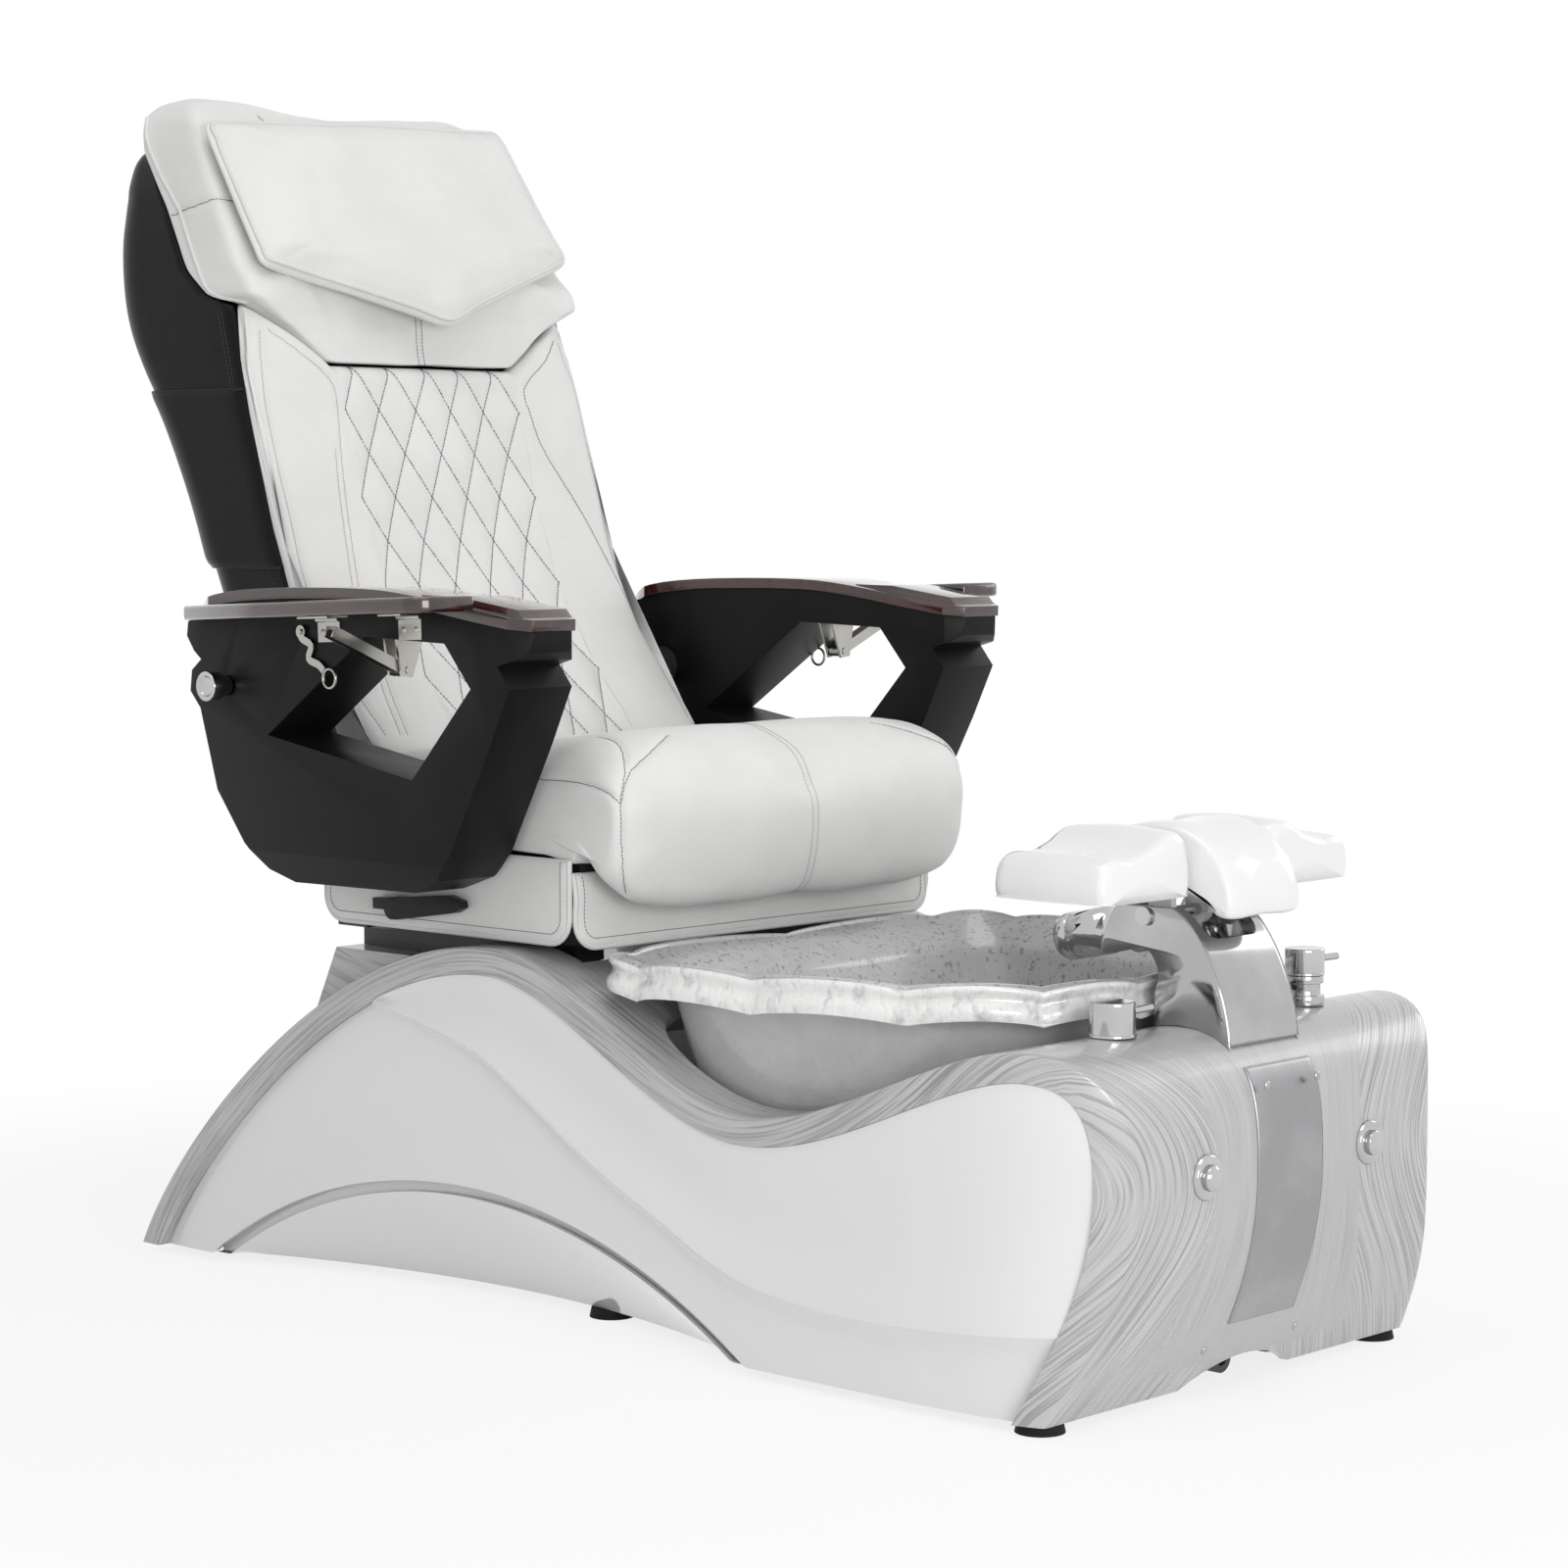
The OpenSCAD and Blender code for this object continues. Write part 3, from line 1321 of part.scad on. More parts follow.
// Steel frame of the backrest: hinge tube, two uprights that guide the carriage, and the crank
module back_frame() {
  color("dimgray") centred()
    difference() {
      union() {
        rod([-frame_half_w + 9, hinge_y, hinge_z], [frame_half_w - 9, hinge_y, hinge_z],
          recline_pin_r + 5);
        mirrored() {
          across(track_in, track_in + track_w) {
            track_strip(530, 1130, track_t / 2);
            polygon([[hinge_y - 12, hinge_z + 6], [hinge_y + 26, hinge_z + 26],
              [track_at(560)[1] - 12, 560],
                [track_at(560)[1] + 12, 560], [track_at(520)[1] + 10, 512],
                  [hinge_y + 30, hinge_z - 10],
                [hinge_y, hinge_z - 12]]);
          }
          across(12, 20)
            union() {
              translate([crank_y, crank_z]) circle(crank_pin_r + 8);
              translate([crank_y - 12, crank_z]) square([24, crank_arm]);
            }
        }
        rod([-18, crank_y, crank_z], [18, crank_y, crank_z], crank_pin_r);
        for (z = [560, 1106])
          across(-track_in - 1, track_in + 1) track_strip(z, z + 24, 10);
        // Stays out to the shell's sides
        mirrored()
          across(track_in + 1, on_line(shell_half, 900) + (shell_w / 2 - 252) - shell_t - seat_gap)
            track_strip(880, 900, 10);
      }
      mirrored()
        rod([frame_half_w - 31, hinge_y, hinge_z], [frame_half_w, hinge_y, hinge_z],
          recline_pin_r + run);
    }
}

shaft_half = 116;
massage_shaft_r = 6;

module carriage_side(z0, z1, y0, y1) {
  a = roller_at + z0 * track_dir;
  b = roller_at + z1 * track_dir;
  polygon([[a[1] + y0, a[2]], [a[1] + y1, a[2]], [b[1] + y1, b[2]], [b[1] + y0, b[2]]]);
}

// Massage carriage between the uprights: cross plate, gear case and two bearing plates
module massage_carriage() {
  color("gray") centred()
    difference() {
      union() {
        across(-track_in + 0.5, track_in - 0.5) carriage_side(-50, 50, 42, 50);
        across(-52, 52) carriage_side(-44, 44, 44, 92);
        mirrored() across(shaft_half - 8, shaft_half) carriage_side(-16, 16, -14, 46);
      }
      rod([-shaft_half - 1, roller_at[1], roller_at[2]], [shaft_half + 1, roller_at[1], roller_at[2]],
        massage_shaft_r + run);
    }
}

module massage_rollers() {
  color("ivory") centred() {
    rod([-shaft_half - 4, roller_at[1], roller_at[2]], [shaft_half + 4, roller_at[1],
      roller_at[2]], massage_shaft_r);
    for (x = [-92, -44, 20, 68])
      rod([x, roller_at[1], roller_at[2]], [x + 24, roller_at[1], roller_at[2]], roller_r);
  }
}

// ---- Arms ----

arm_out = arm_in + arm_w;

// Top of the wooden cap in side view, from front to rear
cap_line = smooth_path([[-66, 741], [4, 750], [97, 763], [176, 769], [309, 768], [400, 762], [450,
  751], [474, 739]], 3);

arm_outline = concat(
  reverse(beside(cap_line, cap_t + seat_gap)),
  [[-60, 708], [-50, 700], [-28, 694], [-46, 672], [-17, 612], [45, 497], [70, 470], [110, 455], [302, 453],
  [341, 465], [375, 492], [420, 547], [448, 635], [465, 653], [462, 676], [446, 688], [458, 697],
    [470, 713]]
);

arm_window = [[333, 610], [174, 719], [51, 715], [12, 670], [102, 573]];

// Plan of one arm: its front corners are cut back
module arm_plan() {
  c = 20;
  polygon([[arm_in, -100 + c], [arm_in + c, -100], [arm_out - c, -100], [arm_out, -100 + c],
      [arm_out, 500], [arm_in, 500]]);
}

module arm_profile() {
  c = 18;
  polygon([[arm_in, 455 + c], [arm_in + c, 430], [arm_out - c, 430], [arm_out, 455 + c + 12],
      [arm_out, 800], [arm_in, 800]]);
}

module arm_body() {
  difference() {
    intersection() {
      across(arm_in, arm_out)
        difference() {
          polygon(arm_outline);
          polygon(arm_window);
        }
      translate([0, 0, 400]) linear_extrude(500) translate([0, 34]) arm_plan();
      along(-200, 600) arm_profile();
    }
    rod([arm_in - 1, lift_y, lift_z], [arm_out + 1, lift_y, lift_z], shaft_r + run);
    rod([arm_out - 13, latch_y - 1, latch_z], [arm_out + 1, latch_y - 1, latch_z], latch_pin_r + run);
  }
}

module arm_body_left() {
  color("black") centred() arm_body();
}

module arm_body_right() {
  color("black") centred() mirror([1, 0, 0]) arm_body();
}

cap_over = 3;

// Wooden cap on the arm, with a raised bevelled wedge at its front
module arm_cap() {
  x0 = arm_in - cap_over;
  x1 = arm_out + cap_over - 1;
  intersection() {
    union() {
      across(x0, x1) polygon(concat(reverse(beside(cap_line, cap_t)), cap_line));
      across(x0 + 12, x1 - 12)
        polygon([[-58, 740], [-48, 751], [40, 763], [96, 764], [96, 756], [0, 745]]);
    }
    translate([0, 0, 600])
      linear_extrude(300)
        polygon([[x0, -46], [x0 + 22, -72], [x1 - 22, -72], [x1, -46], [x1, 430], [x1 - 30, 480],
            [x0 + 30, 480], [x0, 430]]);
  }
}

module arm_cap_left() {
  color("maroon") centred() arm_cap();
}

module arm_cap_right() {
  color("maroon") centred() mirror([1, 0, 0]) arm_cap();
}

knob_gap = 1;

// Release knob: a dished head on a collar, with a stem in the end of the lift shaft
module arm_knob() {
  x = arm_out + knob_gap;
  translate([x, lift_y, lift_z])
    rotate([0, 90, 0])
      difference() {
        union() {
          cylinder(r = arm_knob_r - 5, h = 20);
          translate([0, 0, 14]) cylinder(r = arm_knob_r, h = 16);
          translate([0, 0, -40]) cylinder(r = arm_stem_r, h = 41);
        }
        translate([0, 0, 26]) cylinder(r1 = arm_knob_r - 7, r2 = arm_knob_r - 3, h = 5);
      }
}

module arm_knob_left() {
  color("silver") centred() arm_knob();
}

module arm_knob_right() {
  color("silver") centred() mirror([1, 0, 0]) arm_knob();
}

// Side tray: it folds down along its inner edge, about a line that falls to the rear with it
tray_x = arm_out + 3;
tray_tilt = 2.4;
fold_y = 165;
fold_z = 736;
fold_r = 3;

module on_tray() {
  translate([0, fold_y, fold_z + fold_r]) rotate([-tray_tilt, 0, 0]) children();
}

module tray() {
  y0 = -fold_y;
  y1 = 455 - fold_y;
  r = 26;
  on_tray()
    translate([0, 0, fold_r + seat_gap])
      linear_extrude(tray_t)
        union() {
          polygon([[tray_x, y0], [tray_x + tray_w - r, y0], [tray_x + tray_w, y0 + r],
              [tray_x + tray_w, 90], [tray_x + tray_w - 8, 130], [tray_x + 18, y1 - 6],
                [tray_x + 8, y1],
              [tray_x, y1]]);
          translate([tray_x + tray_w - r, y0 + r]) circle(r);
        }
}

module tray_left() {
  color("maroon") centred() tray();
}

module tray_right() {
  color("maroon") centred() mirror([1, 0, 0]) tray();
}

hinge_ys = [-64, 64];
leaf_w = 35;
leaf_h = 24;
leaf_t = 2;

// Leaves screwed under the tray, with their knuckles, and the lug that the strut meets
module tray_fittings() {
  on_tray() {
    for (y = hinge_ys) {
      translate([tray_x + fold_r + seat_gap, y - leaf_w / 2, 1]) cube([leaf_h, leaf_w, leaf_t]);
      translate([tray_x + 1.8, y + leaf_w / 2 - 12, 1]) cube([leaf_h, 12, leaf_t]);
      difference() {
        translate([tray_x, y + leaf_w / 2 - 12, 0]) rotate([-90, 0, 0]) cylinder(r = fold_r, h = 12);
        translate([tray_x, y + leaf_w / 2 - 13, 0]) rotate([-90, 0, 0]) cylinder(r = 1.5 + run,
          h = 14);
      }
    }
    translate([tray_x + 46, -22, 1]) cube([28, 34, leaf_t]);
  }
}

module tray_fittings_left() {
  color("silver") centred() tray_fittings();
}

module tray_fittings_right() {
  color("silver") centred() mirror([1, 0, 0]) tray_fittings();
}

strut_x = 340;
strut_y = 160;
strut_z = 684;
strut_pin_r = 4;

// Leaves fixed to the arm, with the hinge pins, and the gusset under the beam that carries the strut
module tray_brackets() {
  on_tray()
    for (y = hinge_ys) {
      translate([arm_out + seat_gap, y - leaf_w / 2, -leaf_h]) cube([leaf_t, leaf_w, leaf_h - 3.2]);
      translate([tray_x, y - leaf_w / 2, 0]) rotate([-90, 0, 0]) cylinder(r = fold_r,
        h = leaf_w - 12.3);
      translate([tray_x, y - leaf_w / 2, 0]) rotate([-90, 0, 0]) cylinder(r = 1.5, h = leaf_w);
      translate([arm_out + seat_gap, y - leaf_w / 2, -6]) cube([leaf_t, leaf_w - 12.3, 6]);
    }
  for (y = [strut_y - 11, strut_y + 8])
    along(y, y + 3)
      polygon([[strut_x - 22, 717.9], [strut_x + 16, 717.9], [strut_x + 9, strut_z - 6],
        [strut_x - 6, strut_z - 8]]);
  rod([strut_x, strut_y - 12, strut_z], [strut_x, strut_y + 12, strut_z], strut_pin_r);
}

module tray_brackets_left() {
  color("silver") centred() tray_brackets();
}

module tray_brackets_right() {
  color("silver") centred() mirror([1, 0, 0]) tray_brackets();
}

// Channel strut from the gusset out to the tray's underside
module tray_strut() {
  a = 23.7;
  l = 106;
  translate([strut_x, strut_y, strut_z])
    rotate([0, -a, 0])
      difference() {
        union() {
          translate([0, -7, -6]) cube([l, 14, 12]);
          translate([0, 7, 0]) rotate([90, 0, 0]) cylinder(r = 7, h = 14);
        }
        translate([12, -4.5, -7]) cube([l, 9, 9]);
        translate([0, 8, 0]) rotate([90, 0, 0]) cylinder(r = strut_pin_r + run, h = 16);
      }
}

module tray_strut_left() {
  color("silver") centred() tray_strut();
}

module tray_strut_right() {
  color("silver") centred() mirror([1, 0, 0]) tray_strut();
}

latch_y = 274;
latch_z = 722;
latch_pin_r = 3;

// Tray latch: a bent strap on a pin in the arm's outer face, with a pull ring at its lower end
module tray_latch() {
  x = arm_out + 1;
  strap = smooth_path([[latch_y, latch_z + 6], [latch_y - 2, latch_z - 6], [latch_y - 18, latch_z - 14],
            [latch_y - 14, latch_z - 28], [latch_y - 30, latch_z - 34], [latch_y - 38,
              latch_z - 40]], 4);
  across(x, x + 3) {
    polygon(concat(beside(strap, 4), reverse(beside(strap, -4))));
    translate([latch_y - 1, latch_z]) circle(7);
  }
  rod([x - 12, latch_y - 1, latch_z], [x + 5, latch_y - 1, latch_z], latch_pin_r);
  translate([x + 1.5, latch_y - 46, latch_z - 48])
    rotate([0, 90, 0])
      rotate_extrude()
        translate([10, 0]) circle(1.5);
}

module tray_latch_left() {
  color("silver") centred() tray_latch();
}

module tray_latch_right() {
  color("silver") centred() mirror([1, 0, 0]) tray_latch();
}

base_shell();
side_panel_left();
side_panel_right();
kick_panel_left();
kick_panel_right();
access_plate();
plate_screws();
base_frame();
levelling_feet();
tub();
drain_strainer();
drain_pump();
jet_housing();
jet_impeller();
jet_cover();
footrest_tower();
footrest_saddle();
footrest_pad_left();
footrest_pad_right();
tilt_pin();
hand_shower();
mixer_knob();
diverter_knob();
valve_bodies();
button_bezels();
jet_button();
light_button();
slide_rails();
slide_runners();
seat_frame();
seat_cushion();
side_skirts();
front_apron();
slide_lever();
actuator_body();
actuator_rod();
back_frame();
back_shell();
side_bands();
back_cushion();
head_pad();
pillow();
massage_carriage();
massage_rollers();
arm_body_left();
arm_body_right();
arm_cap_left();
arm_cap_right();
arm_knob_left();
arm_knob_right();
tray_left();
tray_right();
tray_fittings_left();
tray_fittings_right();
tray_brackets_left();
tray_brackets_right();
tray_strut_left();
tray_strut_right();
tray_latch_left();
tray_latch_right();
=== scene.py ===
"""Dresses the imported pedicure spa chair: upholstery, wood-grain base, foot tub, trays and fittings.

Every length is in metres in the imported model's own frame: +X towards the sitter's left, the sitter
faces -Y, +Z up, and z = 0 is the floor. Outlines are written in millimetres and moved by ``place``.
"""

import logging
import math
from dataclasses import dataclass, field
from enum import Enum
from typing import Iterable, Sequence

import bmesh
import bpy
import numpy as np
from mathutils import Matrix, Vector
from mathutils.bvhtree import BVHTree

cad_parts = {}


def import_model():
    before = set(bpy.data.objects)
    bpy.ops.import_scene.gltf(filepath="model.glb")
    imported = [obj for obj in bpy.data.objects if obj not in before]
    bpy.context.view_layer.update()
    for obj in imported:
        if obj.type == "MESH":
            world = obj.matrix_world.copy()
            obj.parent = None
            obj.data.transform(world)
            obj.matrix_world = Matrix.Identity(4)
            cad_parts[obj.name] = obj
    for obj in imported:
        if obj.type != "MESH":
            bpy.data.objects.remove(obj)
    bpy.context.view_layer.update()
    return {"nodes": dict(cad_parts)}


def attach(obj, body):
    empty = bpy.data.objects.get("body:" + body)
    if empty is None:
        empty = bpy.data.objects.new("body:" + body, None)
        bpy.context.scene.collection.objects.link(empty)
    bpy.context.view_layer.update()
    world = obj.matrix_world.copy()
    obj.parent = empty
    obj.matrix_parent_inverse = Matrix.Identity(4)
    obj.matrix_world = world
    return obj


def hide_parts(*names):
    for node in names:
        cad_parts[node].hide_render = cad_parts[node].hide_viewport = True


FRAME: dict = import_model()

LOG = logging.getLogger("spa_chair")
MM = 1000.0  # millimetres in a metre
MID_Y = 22.0  # how far the middle of the base lies behind the middle of the whole chair, in millimetres
SIDES = (("left", 1.0), ("right", -1.0))
Point = Sequence[float]


def place(points: Iterable[Point]) -> np.ndarray:
    """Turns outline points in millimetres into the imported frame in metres.

    Args:
        points: Points as x, y, z in millimetres, with y from the middle of the base.

    Returns:
        An array of points in metres, with y from the middle of the whole chair.
    """
    moved = np.array(list(points), float)
    moved[:, 1] -= MID_Y
    return moved / MM


def on_line(pairs: Sequence[Point], at: float | np.ndarray) -> float | np.ndarray:
    """Gives the value at a place on a broken line of rising (place, value) pairs."""
    table = np.array(pairs, float)
    return np.interp(at, table[:, 0], table[:, 1])


def on_curve(pairs: Sequence[Point], at: float | np.ndarray) -> np.ndarray:
    """Gives the value on a smooth curve through rising (place, value) pairs.

    Args:
        pairs: The points of the curve as (place, value), rising in place.
        at: Where the curve is read.

    Returns:
        The values, held level past both ends.
    """
    table = np.array(pairs, float)
    xs, ys = table[:, 0], table[:, 1]
    slopes = np.gradient(ys, xs)
    x = np.clip(np.atleast_1d(np.asarray(at, float)), xs[0], xs[-1])
    k = np.clip(np.searchsorted(xs, x, side="right") - 1, 0, len(xs) - 2)
    h = xs[k + 1] - xs[k]
    t = (x - xs[k]) / h
    a, b = 2 * t**3 - 3 * t**2 + 1, t**3 - 2 * t**2 + t
    c, d = -2 * t**3 + 3 * t**2, t**3 - t**2
    return a * ys[k] + b * h * slopes[k] + c * ys[k + 1] + d * h * slopes[k + 1]


def stretch(a: np.ndarray, b: np.ndarray, c: np.ndarray, d: np.ndarray, steps: int) -> list[np.ndarray]:
    """Gives points on the smooth curve from b to c, without c, with a and d as its neighbours."""
    return [0.5 * (2 * b + (c - a) * t + (2 * a - 5 * b + 4 * c - d) * t * t + (3 * b - a - 3 * c + d) * t**3)
            for t in (k / steps for k in range(steps))]


def smooth_ring(points: Sequence[Point], steps: int) -> np.ndarray:
    """Gives a smooth closed curve through points, with a number of steps in each stretch.

    Args:
        points: The points, in order.
        steps: Steps in each stretch.

    Returns:
        The curve's points, without a repeated last one.
    """
    p = np.array(points, float)
    n = len(p)
    return np.array([q for i in range(n)
                     for q in stretch(p[i - 1], p[i], p[(i + 1) % n], p[(i + 2) % n], steps)])


def smooth_path(points: Sequence[Point], steps: int) -> np.ndarray:
    """Gives a smooth open curve through points, ending on the last one.

    Args:
        points: The points, in order.
        steps: Steps in each stretch.

    Returns:
        The curve's points.
    """
    p = np.array(points, float)
    p = np.vstack([2 * p[0] - p[1], p, 2 * p[-1] - p[-2]])
    out = [q for i in range(1, len(p) - 2) for q in stretch(*p[i - 1:i + 3], steps)]
    return np.array(out + [p[-2]])


def spaced(points: Sequence[Point], gap: float, closed: bool = False) -> np.ndarray:
    """Gives points at an even spacing along a broken line.

    Args:
        points: The line's points.
        gap: The spacing, in the line's own unit.
        closed: Whether the line returns to its first point.

    Returns:
        The evenly spaced points, without a repeated last point on a closed line.
    """
    p = np.array(points, float)
    if closed:
        p = np.vstack([p, p[:1]])
    run = np.concatenate([[0.0], np.cumsum(np.linalg.norm(np.diff(p, axis=0), axis=1))])
    count = max(2, int(round(run[-1] / gap)) + 1)
    at = np.linspace(0, run[-1], count)
    out = np.stack([np.interp(at, run, p[:, k]) for k in range(p.shape[1])], 1)
    return out[:-1] if closed else out


# ---- Shader graphs ----


class Val:
    """One output socket of a shader graph, on which arithmetic adds Math nodes."""

    def __init__(self, graph: "Graph", socket: bpy.types.NodeSocket) -> None:
        """Keeps the graph and the socket."""
        self.graph = graph
        self.socket = socket

    def do(self, operation: str, a: object, b: object) -> "Val":
        """Adds one Math node on two values."""
        return self.graph.node("ShaderNodeMath", {"operation": operation}, {0: a, 1: b})

    def __add__(self, other: object) -> "Val":
        """Adds."""
        return self.do("ADD", self, other)

    def __radd__(self, other: object) -> "Val":
        """Adds, from the right."""
        return self.do("ADD", other, self)

    def __mul__(self, other: object) -> "Val":
        """Multiplies."""
        return self.do("MULTIPLY", self, other)

    def __rmul__(self, other: object) -> "Val":
        """Multiplies, from the right."""
        return self.do("MULTIPLY", other, self)

    def band(self, low: float, high: float) -> "Val":
        """Gives 0 at or below low and 1 at or above high, smooth between them."""
        return self.graph.node("ShaderNodeMapRange", {"interpolation_type": "SMOOTHSTEP"},
                               {"Value": self, "From Min": low, "From Max": high})


class Graph:
    """The node graph of one material or of the world."""

    def __init__(self, owner: bpy.types.Material | bpy.types.World,
                 shader: str = "ShaderNodeBsdfPrincipled", output: str = "ShaderNodeOutputMaterial") -> None:
        """Empties the owner's tree and adds its shader and output.

        Args:
            owner: The material or the world.
            shader: The shader's type.
            output: The output's type.
        """
        owner.use_nodes = True
        self.tree = owner.node_tree
        self.tree.nodes.clear()
        self.shader, self.output = (self.tree.nodes.new(kind) for kind in (shader, output))
        self.tree.links.new(self.shader.outputs[0], self.output.inputs[0])

    def node(self, kind: str, settings: dict | None = None, inputs: dict | None = None,
             out: int | str = 0) -> Val:
        """Adds one node.

        Args:
            kind: The node's type.
            settings: Its settings, set first.
            inputs: Values or links, by socket name or number.
            out: The output socket to return.

        Returns:
            The chosen output.
        """
        made = self.tree.nodes.new(kind)
        for key, value in (settings or {}).items():
            setattr(made, key, value)
        for key, value in (inputs or {}).items():
            if isinstance(value, Val):
                self.tree.links.new(value.socket, made.inputs[key])
            else:
                made.inputs[key].default_value = value
        return Val(self, made.outputs[out])

    def where(self, scale: Point = (1, 1, 1), turn: Point = (0, 0, 0)) -> Val:
        """Gives the Object coordinates, scaled and turned."""
        at = self.node("ShaderNodeTexCoord", out="Object")
        return self.node("ShaderNodeMapping", None, {"Vector": at, "Scale": scale, "Rotation": turn})

    def stored(self, name: str) -> tuple[Val, Val, Val]:
        """Gives a vector stored on the piece's points, and its first and second number.

        Args:
            name: The name it is stored under.

        Returns:
            The vector and both numbers.
        """
        vector = self.node("ShaderNodeAttribute", {"attribute_name": name}, out="Vector")
        parts = self.node("ShaderNodeSeparateXYZ", None, {0: vector})
        return vector, parts, Val(self, parts.socket.node.outputs[1])

    def noise(self, at: Val, scale: float, detail: float, rough: float = 0.5) -> Val:
        """Gives a noise value."""
        return self.node("ShaderNodeTexNoise", None,
                         {"Vector": at, "Scale": scale, "Detail": detail, "Roughness": rough})

    def cells(self, at: Val, scale: float) -> Val:
        """Gives the distance to the nearest cell's centre."""
        return self.node("ShaderNodeTexVoronoi", None, {"Vector": at, "Scale": scale})

    def mix(self, factor: object, a: object, b: object) -> Val:
        """Mixes two colours."""
        pair = [(*v, 1.0) if isinstance(v, (tuple, list)) and len(v) == 3 else v for v in (a, b)]
        return self.node("ShaderNodeMix", {"data_type": "RGBA"}, {0: factor, 6: pair[0], 7: pair[1]}, 2)

    def feed(self, **sockets: object) -> None:
        """Sets or links the shader's sockets, named with underscores for spaces."""
        for key, value in sockets.items():
            socket = self.shader.inputs[key.replace("_", " ")]
            if isinstance(value, Val):
                self.tree.links.new(value.socket, socket)
            elif isinstance(value, tuple):
                socket.default_value = (*value, 1.0)
            else:
                socket.default_value = value

    def in_view(self) -> Val:
        """Gives 1 on camera, glossy and transmission rays, and 0 on every other ray.

        Returns:
            The value.
        """
        seen = self.node("ShaderNodeLightPath", out="Is Camera Ray")
        rays = seen.socket.node.outputs
        for name in ("Is Glossy Ray", "Is Transmission Ray"):
            seen = seen.do("MAXIMUM", seen, Val(self, rays[name]))
        return seen

    def show_white(self, share: Val, white: Val) -> None:
        """Shows a white light in place of the shader.

        Args:
            share: The white light's share.
            white: The white light.
        """
        own = Val(self, self.shader.outputs[0])
        mixed = self.node("ShaderNodeMixShader", None, {0: share, 1: own, 2: white})
        self.tree.links.new(mixed.socket, self.output.inputs[0])

    def raise_by(self, height: Val, distance: float, strength: float, below: Val | None = None) -> Val:
        """Gives a bumped normal, over another one where given.

        Args:
            height: The height.
            distance: Its full height in metres.
            strength: Its strength, from 0 to 1.
            below: The normal under it, or None.

        Returns:
            The normal.
        """
        inputs: dict = {"Height": height, "Distance": distance, "Strength": strength}
        if below is not None:
            inputs["Normal"] = below
        return self.node("ShaderNodeBump", None, inputs)


# ---- Finishes ----

Colour = tuple[float, float, float]
BLACK_BELOW, BLACK_GLOSS, PLAIN_GLOSS = 0.02, 0.14, 0.5


@dataclass(frozen=True)
class Finish:
    """A finish of the chair: its name, colour and gloss, and how its graph is drawn."""

    name: str
    colour: Colour
    rough: float = 0.4

    def shade(self, share: float) -> Colour:
        """Gives the finish's colour, darker or paler by a share."""
        return tuple(min(1.0, share * c) for c in self.colour)

    def material(self) -> bpy.types.Material:
        """Gives the finish's material, made once.

        Returns:
            The material.
        """
        found = bpy.data.materials.get("finish_" + self.name)
        if found is None:
            found = bpy.data.materials.new("finish_" + self.name)
            graph = Graph(found)
            gloss = BLACK_GLOSS if max(self.colour) < BLACK_BELOW else PLAIN_GLOSS
            graph.feed(Base_Color=self.colour, Roughness=self.rough, Specular_IOR_Level=gloss)
            self.draw(graph)
            found.diffuse_color = (*self.colour, 1.0)
        return found

    def draw(self, graph: Graph) -> None:
        """Draws a plain finish with a slight change of tone and gloss.

        Args:
            graph: The material's graph.
        """
        tone = graph.noise(graph.where(), 22.0, 3.0)
        graph.feed(Base_Color=graph.mix(tone, self.shade(0.9), self.colour),
                   Roughness=tone * 0.08 + (self.rough - 0.04))


@dataclass(frozen=True)
class Vinyl(Finish):
    """Upholstery vinyl with a fine pebble grain and soft creases."""

    grain: float = 1500.0
    depth: float = 0.00012
    creases: float = 0.0006

    def draw(self, graph: Graph) -> None:
        """Draws the pebbled grain, the soft creases and the slight soiling.

        Args:
            graph: The material's graph.
        """
        at = graph.where()
        pebble = graph.cells(at, self.grain)
        folds = graph.noise(graph.where((1.0, 1.0, 2.6)), 16.0, 3.0, 0.6)
        tone = graph.noise(at, 9.0, 4.0, 0.6)
        speck = graph.noise(at, 900.0, 1.0)
        base = graph.mix(tone.band(0.3, 0.75), self.shade(0.93), self.colour)
        graph.feed(Base_Color=graph.mix(speck.band(0.56, 0.72) * 0.6, base, self.shade(0.86)),
                   Roughness=tone * 0.14 + pebble * 0.08 + (self.rough - 0.08))
        wide = graph.raise_by(folds, self.creases, 0.6)
        graph.feed(Normal=graph.raise_by(pebble, self.depth, 0.55, wide))


@dataclass(frozen=True)
class Gelcoat(Finish):
    """Polished gelcoat with a faint ripple under a clear gloss."""

    coat: float = 1.0

    def draw(self, graph: Graph) -> None:
        """Draws the ripple and the gloss.

        Args:
            graph: The material's graph.
        """
        ripple = graph.noise(graph.where(), 5.0, 1.0)
        graph.feed(Base_Color=graph.mix(ripple, self.shade(0.965), self.colour),
                   Roughness=ripple * 0.05 + (self.rough - 0.02), Coat_Weight=self.coat,
                   Coat_Roughness=0.03, Normal=graph.raise_by(ripple, 0.0015, 0.25))


